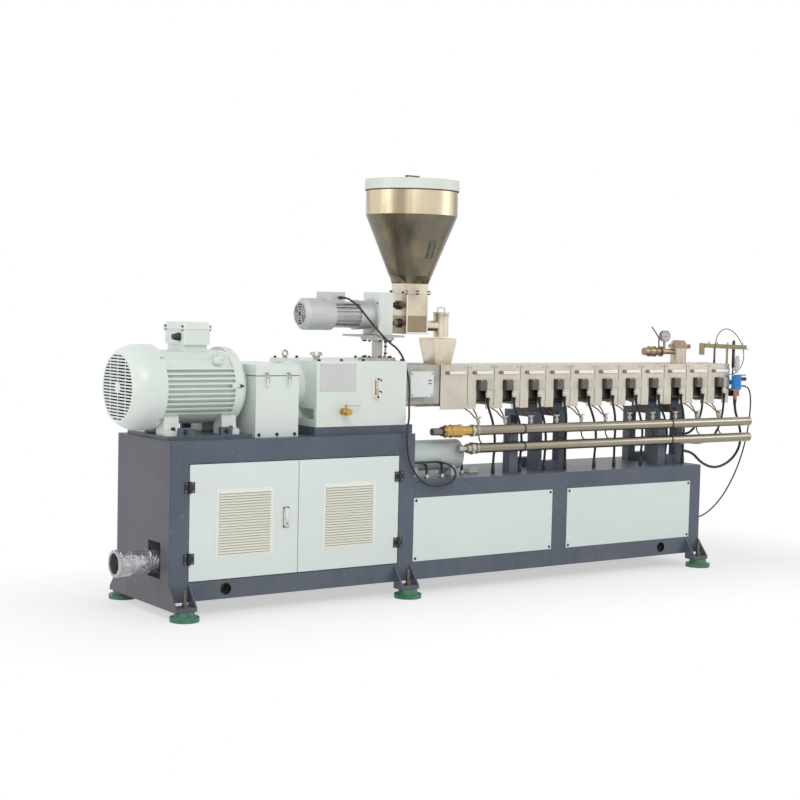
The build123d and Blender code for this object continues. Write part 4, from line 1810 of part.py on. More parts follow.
# Fittings on the pipes: the lower pipe's end, and a needle valve a heated section
with BuildPart() as pipe_fittings:
    with BuildSketch(side_plane(PIPE_Y)):
        with BuildLine():
            Polyline(
                (along(inlet_x), LOWER_PIPE_Z),
                (along(inlet_x), LOWER_PIPE_Z + INLET_NUT_RADIUS),
                (along(inlet_x - 40), LOWER_PIPE_Z + INLET_NUT_RADIUS),
                (along(inlet_x - 40), LOWER_PIPE_Z + DRAIN_CAP_NECK_RADIUS),
                (along(inlet_x - 76), LOWER_PIPE_Z + DRAIN_CAP_NECK_RADIUS),
                (along(inlet_x - 76), LOWER_PIPE_Z + DRAIN_CAP_RADIUS),
                (along(inlet_x - DRAIN_CAP_LENGTH), LOWER_PIPE_Z + DRAIN_CAP_RADIUS),
                (along(inlet_x - DRAIN_CAP_LENGTH), LOWER_PIPE_Z),
                close=True,
            )
        make_face()
    revolve(axis=Axis((0, PIPE_Y, LOWER_PIPE_Z), (1, 0, 0)))
    for number in range(NEEDLE_VALVE_COUNT):
        x = along(BARREL_START + number * BARREL_PITCH + NEEDLE_VALVE_OFFSET)
        base = UPPER_PIPE_Z + PIPE_RADIUS + TOUCH
        with BuildSketch(Plane.XY.offset(base)):
            with Locations((x, PIPE_Y)):
                Circle(NEEDLE_STEM_RADIUS)
        extrude(amount=NEEDLE_STEM)
        with BuildSketch(Plane.XY.offset(base + NEEDLE_BODY_RISE)):
            with Locations((x, PIPE_Y)):
                RegularPolygon(NEEDLE_BODY_RADIUS, 6)
        extrude(amount=NEEDLE_BODY)
        with BuildSketch(Plane.XY.offset(base + NEEDLE_STEM - NEEDLE_HANDLE)):
            with Locations((x, PIPE_Y)):
                SlotOverall(NEEDLE_HANDLE_LENGTH, NEEDLE_HANDLE_WIDTH)
        extrude(amount=NEEDLE_HANDLE)
save(pipe_fittings, "pipe_fittings")

# Oil cooler on the low deck
with BuildPart() as oil_cooler:
    with BuildSketch(end_plane(COOLER_START)):
        with Locations((COOLER_Y, COOLER_Z)):
            Circle(COOLER_RADIUS)
    extrude(amount=COOLER_LENGTH)
    for x in (COOLER_START + COOLER_CRADLE_INSET, COOLER_START + COOLER_LENGTH - COOLER_CRADLE_INSET):
        cradle_height = COOLER_Z - LOW_TOP
        with Locations((along(x), COOLER_Y, LOW_TOP + cradle_height / 2)):
            Box(COOLER_CRADLE_SHEET, COOLER_CRADLE_WIDTH, cradle_height)
save(oil_cooler, "oil_cooler")

# Cables and hoses: each route is straight runs joined by arcs that touch them
def cable(name, route, diameter):
    """Round cable along a hand-laid route; prints its length and its tightest bend."""
    points = [Vector(along(x), y, z) for x, y, z in route]
    radii = []
    for before, corner, after in zip(points, points[1:], points[2:]):
        turn = math.radians((corner - before).get_angle(after - corner))
        shorter = min((corner - before).length, (after - corner).length)
        radii.append(BEND_SHARE * shorter / math.tan(turn / 2))
    with BuildLine(mode=Mode.PRIVATE) as path:
        FilletPolyline(*points, radius=radii)
    wire = path.wires()[0]
    with BuildSketch(Plane(origin=points[0], z_dir=points[1] - points[0])) as section:
        Circle(diameter / 2)
    sweep(section.sketch, path=wire)
    print(name, "length", round(wire.length), "tightest", round(min(radii)), "bends", [round(r) for r in radii])
    return wire.length * math.pi * diameter**2 / 4


feeder_gland_y = -FEEDER_BOX_WIDTH / 2 - GLAND_LENGTH
step_gland_x = HIGH_LENGTH + PANEL_SHEET + GLAND_LENGTH
FEEDER_ROUTE = (
    (1215, feeder_gland_y, 1738),
    (1215, -130, 1738),
    (1228, -168, 1722),
    (1262, -194, 1688),
    (1312, -212, 1624),
    (1388, -230, 1538),
    (1459, -232, 1480),
    (1522, -225, 1446),
    (1592, -200, 1372),
    (1617, -222, 1232),
    (1600, -240, 1114),
    (1570, -288, 1042),
    (1517, -342, 966),
    (1521, -345, 847),
    (1551, -347, 756),
    (1619, -348, 676),
    (1709, -348, 635),
    (1792, -348, 640),
    (1863, -348, 663),
    (1900, -324, 714),
    (1883, -275, 758),
    (1819, -238, 772),
    (1752, -226, 768),
    (1686, -221, 768),
    (step_gland_x, -221, 768),
)
leg_hose_x = BARREL_START + TRESTLE_JOINTS[1][1] * BARREL_PITCH + TRESTLE_OFFSET + LEG_WIDTH / 2
hose_nozzle_x = BARREL_END + DIE_LENGTH + HOSE_BLOCK_LENGTH / 4
DIE_HOSE_ROUTE = (
    (hose_nozzle_x, hose_y, DIE_BOTTOM - GLAND_LENGTH),
    (hose_nozzle_x, hose_y, 1025),
    (4520, -124, 938),
    (4550, -127, 835),
    (4524, -129, 735),
    (4430, -132, 655),
    (4290, -133, 618),
    (4158, -131, 660),
    (4064, -leg_y, 750),
    (leg_hose_x + GLAND_LENGTH, -leg_y, 750),
)
sensor_gland_x = BARREL_END + VALVE_STATION + VALVE_RADIUS + TOUCH + GLAND_LENGTH
end_gland_x = FRAME_LENGTH + PANEL_SHEET + GLAND_LENGTH
SENSOR_CABLE_ROUTE = (
    (sensor_gland_x, lever_y, 1190),
    (4532, lever_y, 1190),
    (4572, -171, 1160),
    (4598, -160, 1090),
    (4603, -152, 990),
    (4594, -146, 880),
    (4566, -142, 760),
    (4520, -140, 640),
    (4445, -144, 520),
    (4345, -152, 410),
    (4225, -163, 330),
    (4100, -180, 290),
    (end_gland_x, -180, 290),
)
probe_gland_z = COVER_TOP + GLAND_LENGTH
probe_end_z = BARREL_AXIS_Z + DIE_BORE_SPACING
PROBE_ROUTE = (
    (4378, -10, probe_gland_z),
    (4378, -10, 1440),
    (4388, -9, 1510),
    (4420, -8, 1562),
    (4476, -7, 1588),
    (4544, -5, 1578),
    (4612, -3, 1534),
    (4666, -1, 1472),
    (4690, 1, 1396),
    (4672, 2, 1322),
    (4612, 1, 1272),
    (4544, 0, probe_end_z),
    (BARREL_END + DIE_LENGTH + GLAND_LENGTH, 0, probe_end_z),
)
lead_top = PLUG_TOP - PLUG_HEIGHT - CONNECTOR_LENGTH
lead_foot = LOW_TOP + GLAND_LENGTH
lead_y = -COVER_HALF_WIDTH - CONNECTOR_RADIUS - TOUCH
LEAD_FALL = (
    (0, lead_y, 1092),
    (4, -169, 1048),
    (15, -188, 984),
    (24, -196, 906),
    (26, -194, 828),
    (20, -190, 756),
)
LEAD_SWAY = (1.0, 1.2, 0.8, -0.9, 1.1, -0.6, 0.9, 1.6, -0.5)
END_LEAD_ROUTES = (
    (
        (4135, lead_y, lead_top),
        (4135, lead_y, 1086),
        (4132, -143, 1020),
        (4112, -134, 946),
        (4066, -125, 888),
        (4022, -leg_y, 866),
        (leg_hose_x + GLAND_LENGTH, -leg_y, 866),
    ),
    (
        (4343, lead_y, lead_top),
        (4343, lead_y, 1080),
        (4336, -143, 990),
        (4312, -138, 904),
        (4262, -132, 836),
        (4194, -127, 806),
        (4112, -123, 800),
        (4040, -leg_y, 808),
        (leg_hose_x + GLAND_LENGTH, -leg_y, 808),
    ),
)


def lead_route(number):
    """Route of one heater lead, from its connector to its gland in the deck or in a leg."""
    if number >= len(LEAD_SWAY):
        return END_LEAD_ROUTES[number - len(LEAD_SWAY)]
    x = BARREL_START + (number + 1) * BARREL_PITCH + CONNECTOR_STATION
    sway = LEAD_SWAY[number]
    start = (x, lead_y, lead_top)
    fall = [(x + sway * side, y, z) for side, y, z in LEAD_FALL]
    foot = (fall[-1][0], fall[-1][1], lead_foot)
    return (start, *fall, foot)


with BuildPart() as feeder_cable:
    expected = cable("feeder_cable", FEEDER_ROUTE, FEEDER_CABLE)
print("volume over section times length", round(feeder_cable.part.volume / expected, 4))
save(feeder_cable, "feeder_cable")

with BuildPart() as die_hose:
    expected = cable("die_hose", DIE_HOSE_ROUTE, DIE_HOSE)
print("volume over section times length", round(die_hose.part.volume / expected, 4))
save(die_hose, "die_hose")

with BuildPart() as sensor_cables:
    expected = cable("sensor_cable", SENSOR_CABLE_ROUTE, SENSOR_CABLE)
    expected += cable("probe_wire", PROBE_ROUTE, PROBE_WIRE)
print("volume over section times length", round(sensor_cables.part.volume / expected, 4))
save(sensor_cables, "sensor_cables")

with BuildPart() as heater_leads:
    expected = sum(cable(f"lead_{n}", lead_route(n), HEATER_LEAD) for n in range(BARREL_COUNT - 1))
print("volume over section times length", round(heater_leads.part.volume / expected, 4))
save(heater_leads, "heater_leads")


def gland(tip, direction, diameter):
    """Screwed gland that ends at the cable's end, seated on the face behind it."""
    x, y, z = tip
    with BuildSketch(Plane(origin=(along(x), y, z), z_dir=direction)) as nut:
        RegularPolygon(diameter / 2 + GLAND_LAP, 6)
    extrude(nut.sketch, amount=GLAND_LENGTH)


# Glands and connectors where the cables enter the machine
with BuildPart() as cable_glands:
    gland(FEEDER_ROUTE[0], (0, 1, 0), FEEDER_CABLE)
    gland(FEEDER_ROUTE[-1], (-1, 0, 0), FEEDER_CABLE)
    gland(SENSOR_CABLE_ROUTE[0], (-1, 0, 0), SENSOR_CABLE)
    gland(SENSOR_CABLE_ROUTE[-1], (-1, 0, 0), SENSOR_CABLE)
    gland(DIE_HOSE_ROUTE[-1], (-1, 0, 0), DIE_HOSE)
    gland(PROBE_ROUTE[0], (0, 0, -1), PROBE_WIRE)
    gland(PROBE_ROUTE[-1], (-1, 0, 0), PROBE_WIRE)
    for number in range(BARREL_COUNT - 1):
        route = lead_route(number)
        gland(route[-1], (0, 0, -1) if number < len(LEAD_SWAY) else (-1, 0, 0), HEATER_LEAD)
        x, y, z = route[0]
        with BuildSketch(Plane.XY.offset(z)):
            with Locations((along(x), y)):
                Circle(CONNECTOR_RADIUS)
        extrude(amount=CONNECTOR_LENGTH)
save(cable_glands, "cable_glands")

print("box along X:", along(-DUCT_REACH), along(PIPE_END))
print("hinge axes:", left_hinge_x, right_hinge_x, hinge_y)
print("guard hinge:", guard_x, guard_hinge_y, guard_hinge_z)
print("drain stem:", along(DRAIN_X), stem_y)
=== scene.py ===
"""Twin-screw plastic extruder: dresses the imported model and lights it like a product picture.

All places are in metres in the model's own frame: +X along the machine from the drive
motor to the die, -Y towards the doors, +Z up. Places on the machine are mostly written as
millimetres from the outer face of the motor-end plate and turned into metres by place().
"""

import json
import logging
import math
from collections.abc import Sequence
from dataclasses import dataclass, field
from enum import Enum
from itertools import product
from pathlib import Path
from typing import ClassVar

import bmesh
import bpy
from mathutils import Matrix, Vector
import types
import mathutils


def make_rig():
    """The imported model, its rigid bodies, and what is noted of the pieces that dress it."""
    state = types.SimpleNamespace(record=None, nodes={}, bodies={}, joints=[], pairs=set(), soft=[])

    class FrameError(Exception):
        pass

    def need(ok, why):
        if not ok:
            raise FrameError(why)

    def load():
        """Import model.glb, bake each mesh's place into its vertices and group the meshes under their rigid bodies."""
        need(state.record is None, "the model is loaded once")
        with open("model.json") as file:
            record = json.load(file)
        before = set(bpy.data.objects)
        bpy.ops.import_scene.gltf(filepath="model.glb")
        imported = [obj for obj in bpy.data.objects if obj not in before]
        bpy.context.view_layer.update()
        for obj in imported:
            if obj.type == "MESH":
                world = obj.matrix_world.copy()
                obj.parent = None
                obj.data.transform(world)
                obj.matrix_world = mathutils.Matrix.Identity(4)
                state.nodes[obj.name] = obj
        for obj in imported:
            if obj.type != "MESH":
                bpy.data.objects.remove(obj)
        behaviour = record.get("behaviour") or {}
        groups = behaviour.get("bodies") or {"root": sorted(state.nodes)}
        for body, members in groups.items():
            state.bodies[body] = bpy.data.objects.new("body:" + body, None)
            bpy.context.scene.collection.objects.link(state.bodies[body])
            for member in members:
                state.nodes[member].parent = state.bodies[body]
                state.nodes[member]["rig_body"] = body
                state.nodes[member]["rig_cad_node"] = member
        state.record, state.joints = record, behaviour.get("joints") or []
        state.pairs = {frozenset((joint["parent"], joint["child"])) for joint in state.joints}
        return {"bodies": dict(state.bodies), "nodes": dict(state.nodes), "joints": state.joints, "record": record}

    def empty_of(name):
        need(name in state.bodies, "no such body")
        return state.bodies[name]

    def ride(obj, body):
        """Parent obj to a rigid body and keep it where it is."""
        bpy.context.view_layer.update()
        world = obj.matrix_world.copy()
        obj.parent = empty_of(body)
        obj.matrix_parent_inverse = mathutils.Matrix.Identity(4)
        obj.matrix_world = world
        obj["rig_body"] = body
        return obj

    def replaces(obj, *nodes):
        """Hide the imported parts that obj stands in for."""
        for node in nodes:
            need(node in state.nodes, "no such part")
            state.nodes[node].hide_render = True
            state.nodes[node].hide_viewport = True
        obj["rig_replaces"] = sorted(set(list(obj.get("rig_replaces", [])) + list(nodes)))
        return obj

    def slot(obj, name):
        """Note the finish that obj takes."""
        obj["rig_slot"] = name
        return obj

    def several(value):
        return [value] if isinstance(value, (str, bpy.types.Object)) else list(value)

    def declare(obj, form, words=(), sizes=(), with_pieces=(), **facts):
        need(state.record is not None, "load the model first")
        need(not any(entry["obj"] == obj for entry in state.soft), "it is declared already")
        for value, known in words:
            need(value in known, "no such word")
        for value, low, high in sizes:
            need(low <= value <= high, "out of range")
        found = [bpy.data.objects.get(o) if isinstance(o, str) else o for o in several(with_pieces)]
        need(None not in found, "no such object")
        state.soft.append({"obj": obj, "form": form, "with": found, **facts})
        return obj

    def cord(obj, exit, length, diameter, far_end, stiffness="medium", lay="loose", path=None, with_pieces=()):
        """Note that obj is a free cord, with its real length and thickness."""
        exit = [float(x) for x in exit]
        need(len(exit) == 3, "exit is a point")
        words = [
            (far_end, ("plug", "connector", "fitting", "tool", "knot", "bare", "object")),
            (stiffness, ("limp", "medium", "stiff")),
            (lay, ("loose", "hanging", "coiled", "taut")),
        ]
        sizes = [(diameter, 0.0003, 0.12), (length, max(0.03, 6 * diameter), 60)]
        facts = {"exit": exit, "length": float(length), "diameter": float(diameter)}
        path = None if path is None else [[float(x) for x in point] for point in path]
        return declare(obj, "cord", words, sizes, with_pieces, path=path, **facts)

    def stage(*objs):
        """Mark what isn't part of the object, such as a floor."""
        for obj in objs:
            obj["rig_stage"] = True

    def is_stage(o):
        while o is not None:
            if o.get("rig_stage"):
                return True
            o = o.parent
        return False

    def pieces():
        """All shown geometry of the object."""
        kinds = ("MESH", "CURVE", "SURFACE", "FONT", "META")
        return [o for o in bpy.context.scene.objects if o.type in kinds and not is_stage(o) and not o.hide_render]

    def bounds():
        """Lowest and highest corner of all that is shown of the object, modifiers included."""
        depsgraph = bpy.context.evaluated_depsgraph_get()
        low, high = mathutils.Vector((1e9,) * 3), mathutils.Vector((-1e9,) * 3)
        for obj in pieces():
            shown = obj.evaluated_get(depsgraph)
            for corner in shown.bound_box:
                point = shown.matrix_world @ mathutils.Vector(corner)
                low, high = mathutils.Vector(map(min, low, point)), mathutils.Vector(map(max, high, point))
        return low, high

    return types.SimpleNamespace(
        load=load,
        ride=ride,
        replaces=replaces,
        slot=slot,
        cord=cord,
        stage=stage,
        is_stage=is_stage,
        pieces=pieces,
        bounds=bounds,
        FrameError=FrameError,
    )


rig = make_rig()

Colour = tuple[float, float, float]
Point = tuple[float, float, float]
Span = tuple[float, float]
Profile = list[tuple[float, float]]
Places = Sequence[float]
Box = tuple[Point, Point]
Seat = tuple[Vector, Vector]

LOG = logging.getLogger("extruder")
PLATE_FACE = -2.1275
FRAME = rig.load()
DOOR_SIDE = Vector((0, -1, 0))
BACK_SIDE = Vector((0, 1, 0))
UP = Vector((0, 0, 1))
TO_DIE = Vector((1, 0, 0))
TO_MOTOR = Vector((-1, 0, 0))


def place(x: float, y: float, z: float) -> Vector:
    """Turns millimetres from the motor-end plate, centre line and floor into metres."""
    return Vector((PLATE_FACE + x / 1000, y / 1000, z / 1000))


def srgb(red: int, green: int, blue: int) -> Colour:
    """Turns a screen colour from 0 to 255 into the linear values that shaders take."""

    def channel(value: int) -> float:
        """Linear value of one channel."""
        share = value / 255
        return share / 12.92 if share <= 0.04045 else ((share + 0.055) / 1.055) ** 2.4

    return channel(red), channel(green), channel(blue)


GREY = (0.5, 0.5, 0.5)
DARKEST = (0, 0, 0)
DUST_COLOUR = srgb(168, 160, 146)
SCUFF_COLOUR = (0.75, 0.73, 0.7)
RUB_COLOUR = (0.6, 0.58, 0.54)
HEAT_TINT = (0.4, 0.3, 0.2)


class Nodes:
    """Adds nodes to one tree and joins them."""

    def __init__(self, tree: bpy.types.NodeTree) -> None:
        """Starts with an empty tree."""
        self.tree = tree
        tree.nodes.clear()

    def feed(self, socket: bpy.types.NodeSocket, value: object) -> None:
        """Gives an input its value, or joins it to the output that it follows."""
        if isinstance(value, bpy.types.NodeSocket):
            self.tree.links.new(value, socket)
        elif socket.type == "RGBA" and len(value) == 3:
            socket.default_value = (*value, 1)
        else:
            socket.default_value = value

    def add(self, kind: str, inputs: dict | None = None, **settings) -> bpy.types.Node:
        """Adds a node.

        Args:
            kind: Its type, without the ShaderNode prefix.
            inputs: Values or output sockets by input name or number.
            **settings: Its own properties.

        Returns:
            The new node.
        """
        prefix = "" if kind.startswith("Node") else "ShaderNode"
        node = self.tree.nodes.new(prefix + kind)
        for name, value in settings.items():
            setattr(node, name, value)
        for name, value in (inputs or {}).items():
            self.feed(node.inputs[name], value)
        return node

    def math(self, operation: str, first, second=0.0) -> bpy.types.NodeSocket:
        """Result of one Math node."""
        return self.add("Math", {0: first, 1: second}, operation=operation).outputs[0]

    def mix(self, factor, first, second) -> bpy.types.NodeSocket:
        """Mix of two colours by a factor."""
        return self.add("Mix", {0: factor, 6: first, 7: second}, data_type="RGBA").outputs[2]

    def object_point(self) -> bpy.types.NodeSocket:
        """Place on the piece, in metres."""
        return self.add("TexCoord").outputs["Object"]

    def noise(self, scale, detail: float = 3.0) -> bpy.types.NodeSocket:
        """Noise stretched by its own scale along each axis, from 0 to 1."""
        mapping = self.add("Mapping", {"Vector": self.object_point(), "Scale": scale})
        return self.add("TexNoise", {"Vector": mapping.outputs[0], "Scale": 1.0, "Detail": detail}).outputs[0]

    def ramp(self, value, low, high) -> bpy.types.NodeSocket:
        """Mask that climbs from 0 at low to 1 at high."""
        return self.add("MapRange", {0: value, 1: low, 2: high}, clamp=True).outputs[0]

    def put_out(self, colour, roughness, height) -> bpy.types.NodeTree:
        """Ends a shared group with its three results and gives back its tree."""
        self.add("NodeGroupOutput", {"Color": colour, "Roughness": roughness, "Height": height})
        return self.tree


def new_group(name: str, inputs: dict[str, object]) -> tuple[Nodes, bpy.types.NodeOutputs]:
    """Makes an empty shader group that puts out a colour, a roughness and a height.

    Args:
        name: Its name.
        inputs: Default value of each input by name; a tuple is a colour.

    Returns:
        The group's node helper and the sockets of its inputs.
    """
    tree = bpy.data.node_groups.new(name, "ShaderNodeTree")
    for label, value in inputs.items():
        kind = "NodeSocketColor" if isinstance(value, tuple) else "NodeSocketFloat"
        socket = tree.interface.new_socket(label, in_out="INPUT", socket_type=kind)
        socket.default_value = (*value, 1) if isinstance(value, tuple) else value
    for label in ("Color", "Roughness", "Height"):
        kind = "NodeSocketColor" if label == "Color" else "NodeSocketFloat"
        tree.interface.new_socket(label, in_out="OUTPUT", socket_type=kind)
    nodes = Nodes(tree)
    return nodes, nodes.add("NodeGroupInput").outputs


def enamel_group() -> bpy.types.NodeTree:
    """Sprayed enamel: faint clouding, scuffs, orange peel, and dust that settles low down."""
    inputs = {"Color": GREY, "Clouding": 0.05, "Roughness": 0.4}
    inputs |= {"Dust": 0.2, "Dust Height": 0.3, "Scuffs": 0.06}
    nodes, given = new_group("sprayed_enamel", inputs)
    clouds = nodes.noise((2.2, 2.2, 3.0), 5.0)
    streaks = nodes.noise((14.0, 14.0, 1.6), 4.0)
    shade = nodes.math("MULTIPLY", nodes.ramp(clouds, 0.3, 0.8), given["Clouding"])
    body = nodes.mix(shade, given["Color"], DARKEST)
    marks = nodes.ramp(nodes.noise((46.0, 46.0, 30.0), 8.0), 0.6, 0.74)
    scuffed = nodes.math("MULTIPLY", marks, given["Scuffs"])
    body = nodes.mix(scuffed, body, nodes.mix(0.4, given["Color"], SCUFF_COLOUR))
    height = nodes.add("SeparateXYZ", {0: nodes.object_point()}).outputs[2]
    low = nodes.ramp(height, given["Dust Height"], 0.0)
    settled = nodes.math("MULTIPLY", low, nodes.ramp(streaks, 0.35, 0.75))
    normal = nodes.add("NewGeometry").outputs["Normal"]
    facing = nodes.add("SeparateXYZ", {0: normal}).outputs[2]
    on_top = nodes.math("MULTIPLY", nodes.ramp(facing, 0.7, 1.0), nodes.ramp(clouds, 0.35, 0.7))
    dust = nodes.math("MULTIPLY", nodes.math("MAXIMUM", settled, on_top), given["Dust"])
    rough = nodes.math("ADD", given["Roughness"], nodes.math("MULTIPLY", streaks, 0.10))
    rough = nodes.math("ADD", rough, nodes.math("MULTIPLY", nodes.math("MAXIMUM", dust, scuffed), 0.5))
    peel = nodes.noise((260.0, 260.0, 260.0), 2.0)
    return nodes.put_out(nodes.mix(dust, body, DUST_COLOUR), rough, peel)


def brushed_group() -> bpy.types.NodeTree:
    """Brushed or rolled metal: long streaks along the machine, blotches and heat tint. On the hopper the streaks,
    stretched upright, are painted reflections.
    """
    inputs = {"Color": GREY, "Tint": HEAT_TINT, "Roughness": 0.3, "Streaks": 0.3, "Blotches": 0.2}
    inputs |= {"Along": 4.0, "Across": 260.0, "Upright": 260.0}
    nodes, given = new_group("brushed_metal", inputs)
    scale = nodes.add("CombineXYZ", {0: given["Along"], 1: given["Across"], 2: given["Upright"]})
    brush = nodes.noise(scale.outputs[0], 6.0)
    patches = nodes.noise((7.0, 7.0, 7.0), 4.0)
    tinted = nodes.math("MULTIPLY", nodes.ramp(patches, 0.42, 0.72), given["Blotches"])
    base = nodes.mix(tinted, given["Color"], given["Tint"])
    lines = nodes.math("MULTIPLY", nodes.ramp(brush, 0.42, 0.64), given["Streaks"])
    rough = nodes.math("ADD", given["Roughness"], nodes.math("MULTIPLY", brush, 0.16))
    rough = nodes.math("ADD", rough, nodes.math("MULTIPLY", tinted, 0.12))
    return nodes.put_out(nodes.mix(lines, base, nodes.mix(0.6, base, DARKEST)), rough, brush)


def moulded_group() -> bpy.types.NodeTree:
    """Moulded plastic or rubber: fine grain and rubbed patches."""
    nodes, given = new_group("moulded", {"Color": (0.1, 0.1, 0.1), "Roughness": 0.5, "Rub": 0.2})
    worn = nodes.ramp(nodes.noise((22.0, 22.0, 22.0)), 0.45, 0.8)
    rubbed = nodes.math("MULTIPLY", worn, given["Rub"])
    pale = nodes.mix(0.35, given["Color"], RUB_COLOUR)
    rough = nodes.math("SUBTRACT", given["Roughness"], nodes.math("MULTIPLY", rubbed, 0.15))
    grain = nodes.noise((900.0, 900.0, 900.0), 2.0)
    return nodes.put_out(nodes.mix(rubbed, given["Color"], pale), rough, grain)


class Effect(Enum):
    """The shared surface effects, built once each."""

    ENAMEL = "sprayed_enamel"
    BRUSHED = "brushed_metal"
    MOULDED = "moulded"

    def tree(self) -> bpy.types.NodeTree:
        """The effect's node group."""
        builders = {
            Effect.ENAMEL: enamel_group,
            Effect.BRUSHED: brushed_group,
            Effect.MOULDED: moulded_group,
        }
        return bpy.data.node_groups.get(self.value) or builders[self]()


EVERYWHERE = (-9.0, 9.0)


@dataclass(frozen=True)
class Zone:
    """A part of a piece, between places along the machine and heights, with a colour of its own; on the hopper's cone
    that colour is a painted reflection.
    """

    colour: Colour
    metallic: float
    roughness: float
    x: Span = EVERYWHERE
    z: Span = EVERYWHERE


@dataclass(frozen=True)
class Finish:
    """One surface finish, the material that shows it and the record's slot that it mostly fills."""

    name: str
    effect: Effect
    colour: Colour
    inputs: dict[str, object] = field(default_factory=dict)
    slot: str = "bolt_steel"
    metallic: float = 0.0
    bump: float = 0.1
    bump_depth: float = 0.0004
    coat: float = 0.0
    zones: tuple[Zone, ...] = ()

    def __hash__(self) -> int:
        """Finishes are told apart by name."""
        return hash(self.name)

    def material(self) -> bpy.types.Material:
        """The finish's material, made on first use."""
        label = f"{self.name}_finish"
        known = bpy.data.materials.get(label)
        if known:
            return known
        material = bpy.data.materials.new(label)
        material.use_nodes = True
        nodes = Nodes(material.node_tree)
        group = nodes.add("Group", self.inputs, node_tree=self.effect.tree())
        base, rough, metallic = self.colour, group.outputs["Roughness"], self.metallic
        for zone in self.zones:
            split = nodes.add("SeparateXYZ", {0: nodes.object_point()})
            inside = 1.0
            for axis, (low, high) in (("X", zone.x), ("Z", zone.z)):
                at = split.outputs[axis]
                inside = nodes.math("MULTIPLY", inside, nodes.math("GREATER_THAN", at, low))
                inside = nodes.math("MULTIPLY", inside, nodes.math("LESS_THAN", at, high))
            base = nodes.mix(inside, base, zone.colour)
            rough = nodes.add("Mix", {0: inside, 2: rough, 3: zone.roughness}).outputs[0]
            metallic = nodes.add("Mix", {0: inside, 2: metallic, 3: zone.metallic}).outputs[0]
        nodes.feed(group.inputs["Color"], base)
        height = group.outputs["Height"]
        bump = nodes.add("Bump", {"Strength": self.bump, "Distance": self.bump_depth, "Height": height})
        looks = {"Base Color": group.outputs["Color"], "Roughness": rough, "Metallic": metallic}
        looks |= {"Normal": bump.outputs[0], "Coat Weight": self.coat, "Coat Roughness": 0.2}
        shader = nodes.add("BsdfPrincipled", looks)
        nodes.add("OutputMaterial", {0: shader.outputs[0]})
        return material


def enamel(
    name: str,
    colour: Colour,
    dust: float = 0.12,
    roughness: float = 0.36,
    clouding: float = 0.05,
    scuffs: float = 0.06,
    **more,
) -> Finish:
    """Sprayed enamel of one colour."""
    inputs = {"Dust": dust, "Roughness": roughness, "Clouding": clouding, "Scuffs": scuffs}
    return Finish(name, Effect.ENAMEL, colour, inputs, "machine_paint", bump=0.12, coat=0.15, **more)


def metal(
    name: str,
    colour: Colour,
    roughness: float = 0.28,
    streaks: float = 0.3,
    blotches: float = 0.15,
    metallic: float = 1.0,
    tint: Colour = HEAT_TINT,
    grain: Point = (4.0, 260.0, 260.0),
    **more,
) -> Finish:
    """Bare metal with brushed or turned streaks, which on the hopper are painted reflections; its grain is the noise's
    scale along each axis.
    """
    inputs = {"Roughness": roughness, "Streaks": streaks, "Blotches": blotches, "Tint": tint}
    inputs |= dict(zip(("Along", "Across", "Upright"), grain))
    return Finish(name, Effect.BRUSHED, colour, inputs, metallic=metallic, bump=0.08, **more)


def moulded(
    name: str,
    colour: Colour,
    roughness: float = 0.5,
    rub: float = 0.15,
    slot: str = "black_fittings",
    **more,
) -> Finish:
    """Moulded plastic or rubber."""
    inputs = {"Roughness": roughness, "Rub": rub}
    return Finish(name, Effect.MOULDED, colour, inputs, slot, bump=0.15, **more)


BRASS = srgb(200, 164, 92)
BLACK = srgb(30, 29, 29)
MACHINE_WHITE = srgb(225, 233, 227)
FRAME_PAINT = enamel("frame_enamel", srgb(84, 94, 109), 0.16, 0.42, clouding=0.3, scuffs=0.16)
END_PAINT = enamel("end_plate_enamel", srgb(87, 86, 98), 0.2, 0.45, clouding=0.34, scuffs=0.14)
PANEL_PAINT = enamel("panel_powder_coat", srgb(224, 233, 230), 0.06, 0.45, scuffs=0.03)
VENT_PAINT = enamel("vent_cream", srgb(239, 239, 227), 0.1, 0.42)
MACHINE_PAINT = enamel("machine_enamel", MACHINE_WHITE, 0.08, 0.28)
COOLER_PAINT = enamel("cooler_enamel", srgb(196, 206, 206), 0.25, 0.32)
MOUNT_GREEN = enamel("mount_green", srgb(26, 108, 80), 0.4, 0.4, scuffs=0.3)
SIGN_WHITE = enamel("sign_white", srgb(228, 232, 230), 0.04)
LID_HANDLE = Zone(srgb(104, 96, 86), 0.6, 0.35, z=(2.4532, 3.0))
LID_WHITE = enamel("lid_white", srgb(225, 229, 221), clouding=0.12, zones=(LID_HANDLE,))
BOX_BASE = Zone(BLACK, 0.0, 0.45, x=(-9.0, PLATE_FACE + 0.178), z=(0.0, 1.532))
TERMINAL_PAINT = enamel("terminal_box_enamel", MACHINE_WHITE, zones=(BOX_BASE,))
BARE_FLANGE = Zone(srgb(96, 90, 82), 0.9, 0.34, x=(PLATE_FACE + 1.5775, 9.0))
REDUCER_PAINT = enamel("reducer_enamel", MACHINE_WHITE, zones=(BARE_FLANGE,))
COVER_STEEL = metal(
    "cover_sheet", srgb(206, 200, 188), 0.34, 0.08, 0.3, tint=srgb(162, 144, 118), grain=(70.0, 6.0, 6.0)
)
PIPE_STEEL = metal(
    "polished_pipe", srgb(156, 150, 134), 0.2, 0.4, tint=srgb(116, 100, 78), grain=(1.2, 150.0, 150.0)
)
# Hopper sheet: the strong dark streaks, stretched upright, are painted reflections of the surroundings.
HOPPER_STEEL = metal(
    "hopper_sheet",
    srgb(216, 203, 174),
    0.22,
    0.85,
    0.3,
    tint=srgb(186, 160, 112),
    grain=(7.5, 7.5, 0.3),
    # Painted reflection: the cone is coloured darker than the same sheet of the drum above it.
    zones=(Zone(srgb(117, 112, 98), 1.0, 0.26, z=(1.8, 2.2412)),),
)
